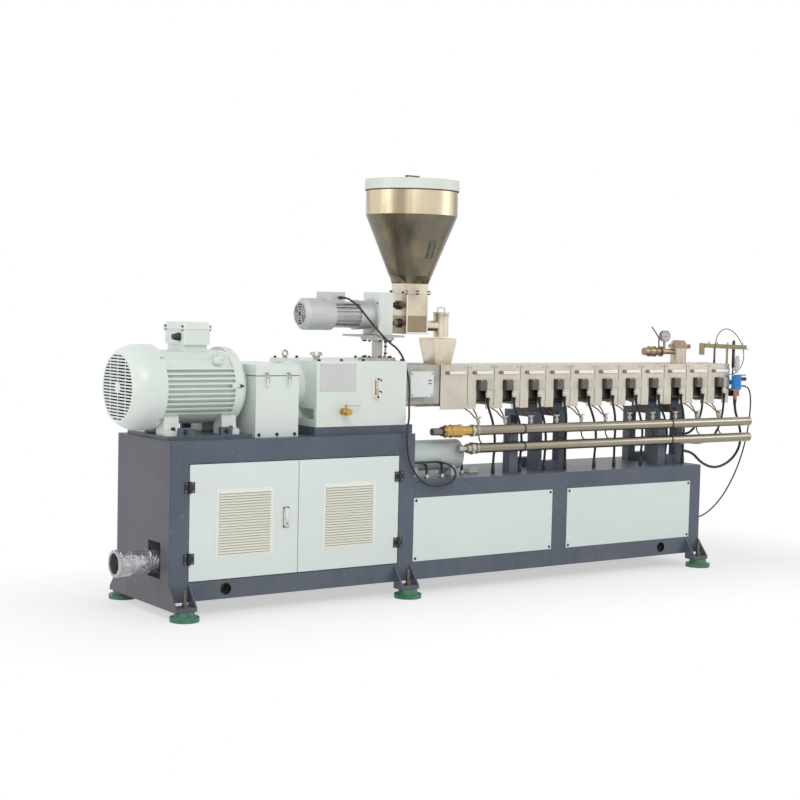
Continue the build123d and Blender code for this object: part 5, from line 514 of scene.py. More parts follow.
TROUGH_STEEL = metal(
    "trough_sheet",
    srgb(222, 212, 192),
    0.24,
    0.08,
    0.45,
    tint=srgb(140, 120, 94),
    grain=(26.0, 26.0, 3.0),
    zones=(
        Zone(srgb(160, 146, 120), 1.0, 0.24, x=(-0.5, -0.28), z=(1.5, 1.64)),
        Zone(srgb(232, 230, 224), 0.5, 0.3, z=(1.7745, 1.7835)),
    ),
)
VACUUM_STEEL = metal(
    "vacuum_pipe",
    srgb(168, 150, 126),
    0.26,
    0.3,
    0.6,
    tint=srgb(120, 92, 66),
    grain=(20.0, 260.0, 260.0),
    slot="stainless",
)
CAST_STEEL = metal("machined_steel", srgb(128, 126, 120), 0.38, 0.3, 0.3, slot="cast_steel")
LANTERN_STEEL = metal("adapter_casting", srgb(186, 184, 176), 0.42, 0.2, 0.6, 0.6, srgb(128, 122, 112))
DARK_STEEL = metal("dark_steel", srgb(84, 80, 75), 0.4, 0.2)
BOLT_STEEL = metal("zinc_plate", srgb(182, 180, 174), 0.3, 0.15)
FOOT_STEEL = metal("worn_zinc", srgb(118, 114, 106), 0.45, 0.3, 0.4, tint=srgb(96, 84, 70))
BRIGHT_STEEL = metal("handle_steel", srgb(240, 238, 230), 0.3, 0.1, metallic=0.5)
SILVER_PAINT = metal(
    "silver_casting",
    srgb(204, 206, 206),
    0.4,
    0.15,
    metallic=0.5,
    tint=srgb(150, 150, 152),
    slot="motor_aluminium",
)
OLIVE_STEEL = metal("yellow_passivated", srgb(168, 160, 124), 0.4, 0.2, metallic=0.6)
BRASS_INLET = Zone(srgb(128, 124, 114), 1.0, 0.3, x=(-9.0, -0.302))
BRASS_VALVE = metal("brass_valve", BRASS, 0.24, 0.2, 0.2, slot="brass", zones=(BRASS_INLET,))
BRASS_PLAIN = metal("plain_brass", BRASS, 0.24, 0.15, slot="brass")
COPPER = metal("copper_tube", srgb(122, 92, 74), 0.36, 0.2, 0.5, tint=srgb(80, 60, 48), slot="brass")
BOX_STEEL = metal("junction_box", srgb(196, 192, 182), 0.36, 0.15, metallic=0.8, slot="stainless")
PLATE_ALUMINIUM = metal(
    "plate_aluminium", srgb(206, 207, 204), 0.3, 0.04, metallic=0.8, tint=srgb(172, 174, 176)
)
POT_LID = Zone(srgb(170, 148, 130), 1.0, 0.3, z=(1.4502, 2.0))
VENT_STEEL = metal(
    "vent_pot_steel", srgb(206, 196, 178), 0.3, 0.25, tint=srgb(150, 128, 100), zones=(POT_LID,)
)
FOIL = Finish(
    "wrapped_film",
    Effect.BRUSHED,
    srgb(196, 198, 204),
    {"Along": 26.0, "Across": 40.0, "Upright": 40.0, "Streaks": 0.45, "Roughness": 0.16},
    metallic=0.85,
    bump=0.8,
    bump_depth=0.012,
)
PLUG_TAUPE = moulded("plug_taupe", srgb(104, 97, 87), 0.42, 0.3, "plug_taupe")
BLACK_FITTING = moulded("black_fitting", BLACK, 0.42, 0.2)
HANDLE_PLATE = Zone(srgb(216, 219, 216), 0.0, 0.35, x=(PLATE_FACE + 0.69, PLATE_FACE + 0.75))
DOOR_FITTING = moulded("door_fitting", BLACK, 0.4, 0.15, zones=(HANDLE_PLATE,))
CONNECTOR = Zone(srgb(214, 212, 204), 0.0, 0.4, z=(1.1425, 1.19))
GLAND_BLACK = moulded("gland_black", BLACK, 0.45, 0.15, zones=(CONNECTOR,))
VALVE_SEAT = Zone(srgb(158, 118, 92), 1.0, 0.3, z=(0.0, 1.1635))
VALVE_BLUE = moulded("valve_blue", srgb(36, 132, 208), 0.3, 0.1, zones=(VALVE_SEAT,))
CABLE_BLACK = moulded("cable_sheath", srgb(30, 29, 30), 0.42, 0.12, "cable_black")
CONDUIT_BLACK = moulded("conduit_black", srgb(26, 26, 27), 0.38, 0.1, "cable_black")
CAP_RED = moulded("cap_red", srgb(204, 36, 46), 0.35, 0.1, "plug_taupe")
DIAL_WHITE = moulded("dial_white", srgb(232, 232, 226), 0.45, 0.0, "lid_white")
GAUGE_FACE = moulded("gauge_face", srgb(190, 195, 196), 0.3, 0.0, "lid_white")
# Painted shade: the colour of the dark strips under the hoods of the vent louvres.
PAINTED_SHADE_BROWN = moulded("vent_gap", srgb(140, 134, 116), 0.7, 0.1, "vent_cream")
RUST = moulded("rusty_sheet", srgb(172, 116, 84), 0.7, 0.4, "frame_paint")
GLASS_DARK = moulded("glass_strip", srgb(70, 70, 64), 0.06, 0.0, "bolt_steel", coat=1.0)
GLASS_PALE = moulded("gauge_glass", srgb(208, 208, 200), 0.06, 0.0, "bolt_steel", coat=1.0)
OIL_PALE = moulded("gauge_oil", srgb(188, 180, 150), 0.12, 0.0, "brass", coat=1.0)


def upright(direction: Vector) -> Matrix:
    """Turn that takes +Z to a direction."""
    return direction.to_track_quat("Z", "Y").to_matrix().to_4x4()


def circle(sides: int) -> list[tuple[float, float]]:
    """Corners of a regular polygon of radius 1."""
    angles = [2 * math.pi * number / sides for number in range(sides)]
    return [(math.cos(angle), math.sin(angle)) for angle in angles]


def rod(radius: float, length: float, start: float = 0) -> Profile:
    """Profile of a plain closed rod."""
    return [(start, 0), (start, radius), (length, radius), (length, 0)]


def collar(inner: float, outer: float, length: float) -> Profile:
    """Profile of a plain collar that is open at both ends."""
    return [(0, inner), (0, outer), (length, outer), (length, inner)]


class Head(Enum):
    """Kinds of screw head, by the number of sides that they are drawn with."""

    HEX = 6
    PAN = 16
    SOCKET = 20

    def profile(self, base: float, radius: float) -> Profile:
        """Profile of the head from its seat at a base, by shares of its radius."""
        shares = {
            Head.HEX: ((0, 1), (0.9, 1), (1.1, 0.8), (1.1, 0)),
            Head.PAN: ((0, 1), (0.25, 1), (0.6, 0.6), (0.62, 0.25), (0.45, 0.2), (0.45, 0)),
            Head.SOCKET: ((0, 1), (1.1, 1), (1.2, 0.9), (1.2, 0.5), (0.5, 0.5), (0.5, 0)),
        }
        return [(base + along * radius, out * radius) for along, out in shares[self]]


class Piece:
    """Collects geometry and becomes one named object that rides on a body."""

    def __init__(self, name: str) -> None:
        """Starts an empty piece."""
        self.name = name
        self.mesh = bmesh.new()

    def lathe(self, origin: Vector, direction: Vector, profile: Profile, sides: int = 24) -> None:
        """Adds a turned form.

        Args:
            origin: Start of its axis.
            direction: Direction of its axis.
            profile: Pairs of distance along the axis and radius, in metres.
            sides: Number of sides.
        """
        turn = Matrix.Translation(origin) @ upright(direction.normalized())
        rings = []
        for along, radius in profile:
            corners = [(x * radius, y * radius) for x, y in circle(sides)] if radius > 0 else [(0, 0)]
            rings.append([self.mesh.verts.new(turn @ Vector((x, y, along))) for x, y in corners])
        for lower, upper in zip(rings, rings[1:]):
            self.bridge(lower, upper, sides)

    def bridge(self, lower: list, upper: list, sides: int) -> None:
        """Adds the faces between two rings, either of which may be a single point."""
        for n in range(sides):
            after = (n + 1) % sides
            if len(lower) == 1 and len(upper) == 1:
                return
            if len(lower) == 1:
                self.mesh.faces.new((lower[0], upper[after], upper[n]))
            elif len(upper) == 1:
                self.mesh.faces.new((lower[n], lower[after], upper[0]))
            else:
                self.mesh.faces.new((lower[n], lower[after], upper[after], upper[n]))

    def screw(
        self, origin: Vector, direction: Vector, radius: float, head: Head = Head.HEX, washer: bool = True
    ) -> None:
        """Adds one screw head on a face.

        Args:
            origin: Middle of its seat on the face.
            direction: Direction out of the face.
            radius: Radius of the head.
            head: Its kind.
            washer: Whether it has a washer.
        """
        if washer:
            rim = radius * 1.35
            disc = [(-0.0002, 0), (-0.0002, rim), (radius * 0.22, rim), (radius * 0.25, 0)]
            self.lathe(origin, direction, disc, 18)
        base = radius * 0.25 if washer else 0.0
        self.lathe(origin, direction, head.profile(base, radius), head.value)

    def block(self, low: Point, high: Point) -> None:
        """Adds a box between two corners in millimetres; done() rounds its edges."""
        start, end = place(*low), place(*high)
        for vertex in bmesh.ops.create_cube(self.mesh, size=1.0)["verts"]:
            vertex.co = vertex.co * (end - start) + (start + end) / 2

    def side_block(self, side: int, y: Span, x: Span, z: Span) -> None:
        """Adds a box on the door side, -1, or the back side, 1, of the centre line."""
        low, high = sorted((side * y[0], side * y[1]))
        self.block((x[0], low, z[0]), (x[1], high, z[1]))

    def slab(self, front: list[Vector], depth: Vector) -> None:
        """Adds a slab between a face of four corners and the same face moved by its depth."""
        corners = front + [corner + depth for corner in front]
        verts = [self.mesh.verts.new(corner) for corner in corners]
        for face in ((0, 1, 2, 3), (7, 6, 5, 4), (0, 4, 5, 1), (1, 5, 6, 2), (2, 6, 7, 3), (3, 7, 4, 0)):
            self.mesh.faces.new([verts[n] for n in face])

    def ring(
        self, middle: Vector, axis: Vector, radius: float, bar: float, sides: int = 32, share: float = 1.0
    ) -> None:
        """Adds a round bar bent to a ring or to an arc of one.

        Args:
            middle: Centre of the ring.
            axis: Its axis.
            radius: From the centre to the middle of the bar.
            bar: Radius of the bar.
            sides: Segments round the whole ring.
            share: Share of the whole turn that is there.
        """
        turn = Matrix.Translation(middle) @ upright(axis.normalized())
        count = max(int(sides * share), 3)
        angles = [2 * math.pi * share * n / count for n in range(count if share >= 1 else count + 1)]
        path = [turn @ Vector((radius * math.cos(a), radius * math.sin(a), 0)) for a in angles]
        self.tube(path, [bar] * len(path), 10, closed=share >= 1)

    def tube(self, path: list[Vector], radii: list[float], sides: int = 12, closed: bool = False) -> None:
        """Adds a round tube along a path.

        Args:
            path: Points of its middle line.
            radii: Its radius at each point.
            sides: Number of sides.
            closed: Whether the last point joins the first.
        """
        rings = []
        normal = None
        for number, (point, radius) in enumerate(zip(path, radii)):
            before = path[number - 1] if number or closed else point
            after = path[(number + 1) % len(path)] if number + 1 < len(path) or closed else point
            tangent = (after - before).normalized()
            normal = normal or tangent.orthogonal()
            normal = (normal - tangent * normal.dot(tangent)).normalized()
            cross = tangent.cross(normal)
            corners = [point + radius * (x * normal + y * cross) for x, y in circle(sides)]
            rings.append([self.mesh.verts.new(corner) for corner in corners])
        for lower, upper in zip(rings, rings[1:]):
            self.bridge(lower, upper, sides)
        if closed:
            self.bridge(rings[-1], rings[0], sides)
        else:
            self.mesh.faces.new(list(reversed(rings[0])))
            self.mesh.faces.new(rings[-1])

    def done(
        self, finish: Finish, body: str = "base", edge: float = 0.0, slot: str | None = None
    ) -> bpy.types.Object:
        """Turns the collected geometry into an object.

        Args:
            finish: Its finish.
            body: The body that it rides on.
            edge: Width of its rounded edges, in metres, or 0 for none.
            slot: The record's slot that it takes its finish from, or None for the finish's own.

        Returns:
            The new object.
        """
        bmesh.ops.recalc_face_normals(self.mesh, faces=self.mesh.faces)
        data = bpy.data.meshes.new(self.name)
        self.mesh.to_mesh(data)
        self.mesh.free()
        data.polygons.foreach_set("use_smooth", [True] * len(data.polygons))
        data.set_sharp_from_angle(angle=math.radians(35))
        thing = bpy.data.objects.new(self.name, data)
        bpy.context.scene.collection.objects.link(thing)
        data.materials.append(finish.material())
        if edge:
            bevel = thing.modifiers.new("rounded_edges", "BEVEL")
            bevel.width = edge
            bevel.segments = 2
            bevel.limit_method = "ANGLE"
        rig.ride(thing, body)
        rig.slot(thing, slot or finish.slot)
        LOG.info("piece %s on %s", self.name, body)
        return thing


def screw_set(
    name: str,
    seats: list[Seat],
    radius: float,
    head: Head = Head.HEX,
    finish: Finish = BLACK_FITTING,
    washer: bool = True,
    body: str = "base",
) -> None:
    """Makes one piece of equal screws on their seats."""
    piece = Piece(name)
    for origin, direction in seats:
        piece.screw(origin, direction, radius, head, washer)
    piece.done(finish, body)


def nurbs_line(name: str, routes: list, resolution: int) -> bpy.types.Object:
    """Makes a curve object with one smooth spline on each route, with no thickness yet."""
    data = bpy.data.curves.new(name, "CURVE")
    data.dimensions = "3D"
    data.resolution_u = resolution
    for route in routes:
        spline = data.splines.new("NURBS")
        spline.points.add(len(route) - 1)
        for point, corner in zip(spline.points, route):
            point.co = (*corner, 1)
        spline.order_u = 3
        spline.use_endpoint_u = True
    line = bpy.data.objects.new(name, data)
    bpy.context.scene.collection.objects.link(line)
    return line


def as_mesh(line: bpy.types.Object) -> bpy.types.Mesh:
    """Gives the mesh of a curve object and takes the object away."""
    bpy.context.view_layer.update()
    mesh = bpy.data.meshes.new_from_object(line.evaluated_get(bpy.context.evaluated_depsgraph_get()))
    bpy.data.curves.remove(line.data)
    return mesh


def bent_tubes(name: str, routes: list, radius: float, finish: Finish, slot: str | None = None) -> None:
    """Makes rigid bent tubes of one radius as one piece, each along the corners of its route."""
    line = nurbs_line(name, routes, 5)
    line.data.bevel_depth = radius
    line.data.bevel_resolution = 2
    mesh = as_mesh(line)
    piece = Piece(name)
    piece.mesh.from_mesh(mesh)
    bpy.data.meshes.remove(mesh)
    piece.done(finish, slot=slot)


@dataclass(frozen=True)
class Studio:
    """Camera at the picture's place, pale floor and soft lamps."""

    position: Point = (-5.9449, -7.8757, 1.7186)
    azimuth: float = 35.0252
    pitch: float = 3.5131
    roll: float = 1.3079
    lens: float = 71.53
    machine_middle: float = 0.1
    machine_half_length: float = 2.3
    machine_half_width: float = 0.35
    shadow_reach: float = 1.1

    def camera(self) -> None:
        """Makes the camera from its solved place and angles."""
        turn, tilt, roll = (math.radians(angle) for angle in (self.azimuth, self.pitch, self.roll))
        forward = Vector((math.sin(turn) * math.cos(tilt), math.cos(turn) * math.cos(tilt), -math.sin(tilt)))
        level = Vector((math.cos(turn), -math.sin(turn), 0))
        above = level.cross(forward)
        right = level * math.cos(roll) + above * math.sin(roll)
        top = above * math.cos(roll) - level * math.sin(roll)
        data = bpy.data.cameras.new("picture_camera")
        data.lens = self.lens
        data.sensor_width = 36
        data.clip_end = 100
        camera = bpy.data.objects.new("picture_camera", data)
        bpy.context.scene.collection.objects.link(camera)
        rotation = Matrix((right, top, -forward)).transposed().to_4x4()
        camera.matrix_world = Matrix.Translation(self.position) @ rotation
        bpy.context.scene.camera = camera

    def floor(self) -> None:
        """Makes the pale floor that keeps a soft shadow."""
        mesh = bmesh.new()
        bmesh.ops.create_grid(mesh, x_segments=1, y_segments=1, size=40)
        data = bpy.data.meshes.new("studio_floor")
        mesh.to_mesh(data)
        mesh.free()
        floor = bpy.data.objects.new("studio_floor", data)
        floor.location.z = -0.0005
        bpy.context.scene.collection.objects.link(floor)
        material = bpy.data.materials.new("studio_floor")
        material.use_nodes = True
        nodes = Nodes(material.node_tree)
        plain = nodes.add("BsdfDiffuse", {"Color": (0.88, 0.88, 0.88)})
        white = nodes.add("Emission", {"Color": (1, 1, 1), "Strength": 1.0})
        at = nodes.add("SeparateXYZ", {0: nodes.object_point()}).outputs
        along = nodes.math("ABSOLUTE", nodes.math("SUBTRACT", at[0], self.machine_middle))
        outside = []
        for distance, half in (
            (along, self.machine_half_length),
            (nodes.math("ABSOLUTE", at[1]), self.machine_half_width),
        ):
            past = nodes.math("MAXIMUM", nodes.math("SUBTRACT", distance, half), 0.0)
            outside.append(nodes.math("POWER", past, 2.0))
        away = nodes.math("SQRT", nodes.math("ADD", *outside))
        fade = nodes.add("MapRange", {0: away, 1: 0.0, 2: self.shadow_reach, 3: 0.55, 4: 1.0}, clamp=True)
        share = nodes.math("MULTIPLY", self.seen(nodes), fade.outputs[0])
        mixed = nodes.add("MixShader", {0: share, 1: plain.outputs[0], 2: white.outputs[0]})
        nodes.add("OutputMaterial", {0: mixed.outputs[0]})
        data.materials.append(material)
        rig.stage(floor)

    @staticmethod
    def seen(nodes: Nodes) -> bpy.types.NodeSocket:
        """Mask that is 1 where the camera sees a surface, straight, mirrored or through glass."""
        path = nodes.add("LightPath").outputs
        straight = nodes.math("MAXIMUM", path["Is Camera Ray"], path["Is Glossy Ray"])
        return nodes.math("MAXIMUM", straight, path["Is Transmission Ray"])

    def world(self) -> None:
        """Makes the even surroundings: white where they are seen, softer where they light."""
        world = bpy.data.worlds.new("studio")
        world.use_nodes = True
        nodes = Nodes(world.node_tree)
        lit = nodes.add("Background", {"Color": (1, 1, 1), "Strength": 0.62})
        shown = nodes.add("Background", {"Color": (1, 1, 1), "Strength": 1.0})
        mixed = nodes.add("MixShader", {0: self.seen(nodes), 1: lit.outputs[0], 2: shown.outputs[0]})
        nodes.add("OutputWorld", {0: mixed.outputs[0]})
        bpy.context.scene.world = world

    def lamp(self, name: str, origin: Point, target: Point, size: float, power: float) -> None:
        """Makes one square soft lamp.

        Args:
            name: Its name.
            origin: Where it hangs.
            target: Where it points.
            size: Its side, in metres.
            power: Its power, in watts.
        """
        data = bpy.data.lights.new(name, "AREA")
        data.size = size
        data.energy = power
        lamp = bpy.data.objects.new(name, data)
        lamp.matrix_world = Matrix.Translation(origin) @ upright(Vector(origin) - Vector(target))
        bpy.context.scene.collection.objects.link(lamp)

    def build(self) -> None:
        """Makes the whole studio."""
        self.camera()
        self.floor()
        self.world()
        self.lamp("key_lamp", (-3.5, -6.0, 5.5), (0, 0, 1.0), 3.5, 170)
        self.lamp("side_lamp", (-7.0, 1.0, 3.0), (-1.5, 0, 1.0), 2.5, 70)
        self.lamp("end_lamp", (6.5, -4.0, 3.5), (1.5, 0, 1.0), 2.5, 60)
        bpy.context.scene.view_settings.view_transform = "Standard"


class Lay(Enum):
    """How a cable lies."""

    LOOSE = "loose"
    HANGING = "hanging"


@dataclass(frozen=True)
class Cable:
    """One cable along its given route, from gland to gland."""

    name: str
    route: tuple[Point, ...]
    diameter: float
    length: float
    node: str
    stiffness: str = "medium"
    lay: Lay = Lay.HANGING
    rib: float = 0.0

    def smooth_cable(self) -> None:
        """Makes a plain round cable."""
        thing = nurbs_line(self.name, [self.route], 16)
        thing.data.bevel_depth = self.diameter / 2
        thing.data.bevel_resolution = 4
        thing.data.use_fill_caps = True
        thing.data.materials.append(CABLE_BLACK.material())
        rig.ride(thing, "base")
        self.declare(thing, None)

    def ribbed_conduit(self) -> None:
        """Makes a corrugated conduit whose rings follow the route's own spline."""
        measured = as_mesh(nurbs_line(self.name, [self.route], 16))
        points = [vertex.co.copy() for vertex in measured.vertices]
        bpy.data.meshes.remove(measured)
        travelled = [0.0]
        for first, second in zip(points, points[1:]):
            travelled.append(travelled[-1] + (second - first).length)
        rings_per_rib, groove, shortest = 4, 0.84, 1e-9
        count = int(travelled[-1] / (self.rib / rings_per_rib))
        path, radii, leg = [], [], 0
        for number in range(count + 1):
            distance = travelled[-1] * number / count
            while leg < len(points) - 2 and travelled[leg + 1] < distance:
                leg += 1
            reach = max(travelled[leg + 1] - travelled[leg], shortest)
            path.append(points[leg].lerp(points[leg + 1], (distance - travelled[leg]) / reach))
            radii.append(self.diameter / 2 * (1.0 if number % rings_per_rib in (0, 1) else groove))
        piece = Piece(self.name)
        piece.tube(path, radii, 14)
        self.declare(piece.done(CONDUIT_BLACK), path)

    def declare(self, thing: bpy.types.Object, path: list[Vector] | None) -> None:
        """Args:
            thing: The cable's object.
            path: The points that a mesh cable follows, or None for a curve.
        """
        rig.replaces(thing, self.node)
        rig.slot(thing, "cable_black")
        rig.cord(
            thing,
            exit=self.route[0],
            length=self.length,
            diameter=self.diameter,
            far_end="object",
            stiffness=self.stiffness,
            lay=self.lay.value,
            path=path,
        )

    def strain_reliefs(self) -> None:
        """Makes the tapered sleeves where the cable leaves its glands."""
        piece = Piece(f"{self.name}_reliefs")
        reach = min(3.0 * self.diameter, 0.04)
        thin, thick = 0.52 * self.diameter, 0.74 * self.diameter
        profile = [(-0.001, thick), (reach * 0.2, thick), (reach * 0.25, thick * 0.9)]
        profile += [(reach, thin), (reach, 0)]
        for end, beside in ((self.route[0], self.route[1]), (self.route[-1], self.route[-2])):
            piece.lathe(Vector(end), (Vector(beside) - Vector(end)).normalized(), profile, 16)
        piece.done(CABLE_BLACK)

    def build(self) -> None:
        """Makes the cable and its sleeves."""
        if self.rib:
            self.ribbed_conduit()
        else:
            self.smooth_cable()
        self.strain_reliefs()


def heater_lead(number: int, length: float, route: tuple[Point, ...]) -> Cable:
    """One corrugated lead from a heater plug to its gland."""
    return Cable(f"heater_lead_{number}", route, 0.017, length, "heater_leads", rib=0.006)


def fall(plug: float, gland: float) -> tuple[Point, ...]:
    """Route of a lead from its plug down to the low deck, by the places of both along X."""
    aside = gland - plug
    return (
        (plug, -0.1463, 1.142),
        (plug, -0.1463, 1.092),
        (plug + 0.2 * aside, -0.169, 1.048),
        (plug + 0.75 * aside, -0.188, 0.984),
        (plug + 1.2 * aside, -0.196, 0.906),
        (plug + 1.3 * aside, -0.194, 0.828),
        (gland, -0.19, 0.756),
        (gland, -0.19, 0.7),
    )


FEEDER_CABLE_ROUTE = (
    *((-0.9125, -0.079, 1.738), (-0.9125, -0.13, 1.738), (-0.8995, -0.168, 1.722)),
    *((-0.8655, -0.194, 1.688), (-0.8155, -0.212, 1.624), (-0.7395, -0.23, 1.538)),
    *((-0.6685, -0.232, 1.48), (-0.6055, -0.225, 1.446), (-0.5355, -0.2, 1.372)),
    *((-0.5105, -0.222, 1.232), (-0.5275, -0.24, 1.114), (-0.5575, -0.288, 1.042)),
    *((-0.6105, -0.342, 0.966), (-0.6065, -0.345, 0.847), (-0.5765, -0.347, 0.756)),
    *((-0.5085, -0.348, 0.676), (-0.4185, -0.348, 0.635), (-0.3355, -0.348, 0.64)),
    *((-0.2645, -0.348, 0.663), (-0.2275, -0.324, 0.714), (-0.2445, -0.275, 0.758)),
    *((-0.3085, -0.238, 0.772), (-0.3755, -0.226, 0.768), (-0.4415, -0.221, 0.768)),
    (-0.5065, -0.221, 0.768),
)
DIE_HOSE_ROUTE = (
    *((2.3515, -0.121, 1.094), (2.3515, -0.121, 1.025), (2.3925, -0.124, 0.938)),
    *((2.4225, -0.127, 0.835), (2.3965, -0.129, 0.735), (2.3025, -0.132, 0.655)),
    *((2.1625, -0.133, 0.618), (2.0305, -0.131, 0.66), (1.9365, -0.119, 0.75)),
    (1.8445, -0.119, 0.75),
)
SENSOR_CABLE_ROUTE = (
    *((2.3618, -0.175, 1.19), (2.4045, -0.175, 1.19), (2.4445, -0.171, 1.16)),
    *((2.4705, -0.16, 1.09), (2.4755, -0.152, 0.99), (2.4665, -0.146, 0.88)),
    *((2.4385, -0.142, 0.76), (2.3925, -0.14, 0.64), (2.3175, -0.144, 0.52)),
    *((2.2175, -0.152, 0.41), (2.0975, -0.163, 0.33), (1.9725, -0.18, 0.29)),
    (1.8595, -0.18, 0.29),
)
PROBE_WIRE_ROUTE = (
    *((2.2505, -0.01, 1.369), (2.2505, -0.01, 1.44), (2.2605, -0.009, 1.51)),
    *((2.2925, -0.008, 1.562), (2.3485, -0.007, 1.588), (2.4165, -0.005, 1.578)),
    *((2.4845, -0.003, 1.534), (2.5385, -0.001, 1.472), (2.5625, 0.001, 1.396)),
    *((2.5445, 0.002, 1.322), (2.4845, 0.001, 1.272), (2.4165, 0, 1.259)),
    (2.3615, 0, 1.259),
)
LEAD_10_ROUTE = (
    *((2.0075, -0.1463, 1.142), (2.0075, -0.1463, 1.086), (2.0045, -0.143, 1.02)),
    *((1.9845, -0.134, 0.946), (1.9385, -0.125, 0.888), (1.8945, -0.119, 0.866)),
    (1.8445, -0.119, 0.866),
)
LEAD_11_ROUTE = (
    *((2.2155, -0.1463, 1.142), (2.2155, -0.1463, 1.08), (2.2085, -0.143, 0.99)),
    *((2.1845, -0.138, 0.904), (2.1345, -0.132, 0.836), (2.0665, -0.127, 0.806)),
    *((1.9845, -0.123, 0.8), (1.9125, -0.119, 0.808), (1.8445, -0.119, 0.808)),
)
CABLES = (
    Cable("feeder_motor_cable", FEEDER_CABLE_ROUTE, 0.012, 2.035, "feeder_cable", "medium", Lay.LOOSE),
    Cable("die_air_hose", DIE_HOSE_ROUTE, 0.018, 0.988, "die_hose"),
    Cable("sensor_cable", SENSOR_CABLE_ROUTE, 0.01, 1.305, "sensor_cables"),
    Cable("probe_wire", PROBE_WIRE_ROUTE, 0.006, 0.843, "sensor_cables", "stiff"),
    heater_lead(1, 0.446, fall(0.1355, 0.1555)),
    heater_lead(2, 0.447, fall(0.3435, 0.3675)),
    heater_lead(3, 0.445, fall(0.5515, 0.5675)),
    heater_lead(4, 0.446, fall(0.7595, 0.7415)),
    heater_lead(5, 0.446, fall(0.9675, 0.9895)),
    heater_lead(6, 0.445, fall(1.1755, 1.1635)),
    heater_lead(7, 0.446, fall(1.3835, 1.4015)),
    heater_lead(8, 0.449, fall(1.5915, 1.6235)),
    heater_lead(9, 0.445, fall(1.7995, 1.7895)),
    heater_lead(10, 0.368, LEAD_10_ROUTE),
    heater_lead(11, 0.614, LEAD_11_ROUTE),
)


def grid(xs: Places, ys: Places, zs: Places, out: Vector) -> list[Seat]:
    """Seats at every crossing of the places, in millimetres, all facing one way."""
    return [(place(x, y, z), out) for x, y, z in product(xs, ys, zs)]


def both_sides(xs: Places, y: float, zs: Places) -> list[Seat]:
    """Seats on both sides of the centre line, at one distance from it, facing outwards."""
    return grid(xs, [-y], zs, DOOR_SIDE) + grid(xs, [y], zs, BACK_SIDE)


def bolt_circle(middle: Vector, axes: Seat, radius: float, count: int, out: Vector) -> list[Seat]:
    """Seats evenly round a circle that lies in two axes, half a step from the first of them."""
    angles = [2 * math.pi * (number + 0.5) / count for number in range(count)]
    spots = [middle + (axes[0] * math.cos(angle) + axes[1] * math.sin(angle)) * radius for angle in angles]
    return [(spot, out) for spot in spots]


def turned(name: str, seats: list[Seat], profile: Profile, finish: Finish, sides: int = 24, **more) -> None:
    """Makes one piece of equal turned parts on their seats."""
    piece = Piece(name)
    for origin, direction in seats:
        piece.lathe(origin, direction, profile, sides)
    piece.done(finish, **more)


def blocks(name: str, boxes: list[Box], finish: Finish, edge: float = 0.0, **more) -> None:
    """Makes one piece of boxes, each given by two corners in millimetres."""
    piece = Piece(name)
    for low, high in boxes:
        piece.block(low, high)
    piece.done(finish, edge=edge, **more)


class Assembly:
    """A sub-assembly: the finishes of its CAD nodes and the pieces that the CAD leaves out."""

    finishes: ClassVar[dict[Finish, tuple[str, ...]]] = {}

    def dress(self) -> None:
        """Puts each finish on every slot of its nodes."""
        for finish, names in self.finishes.items():
            for name in names:
                node = FRAME["nodes"][name]
                if not node.material_slots:
                    node.data.materials.append(finish.material())
                for slot in node.material_slots:
                    slot.link = "OBJECT"
                    slot.material = finish.material()

    def build(self) -> None:
        """Makes the assembly's own pieces."""
        raise NotImplementedError


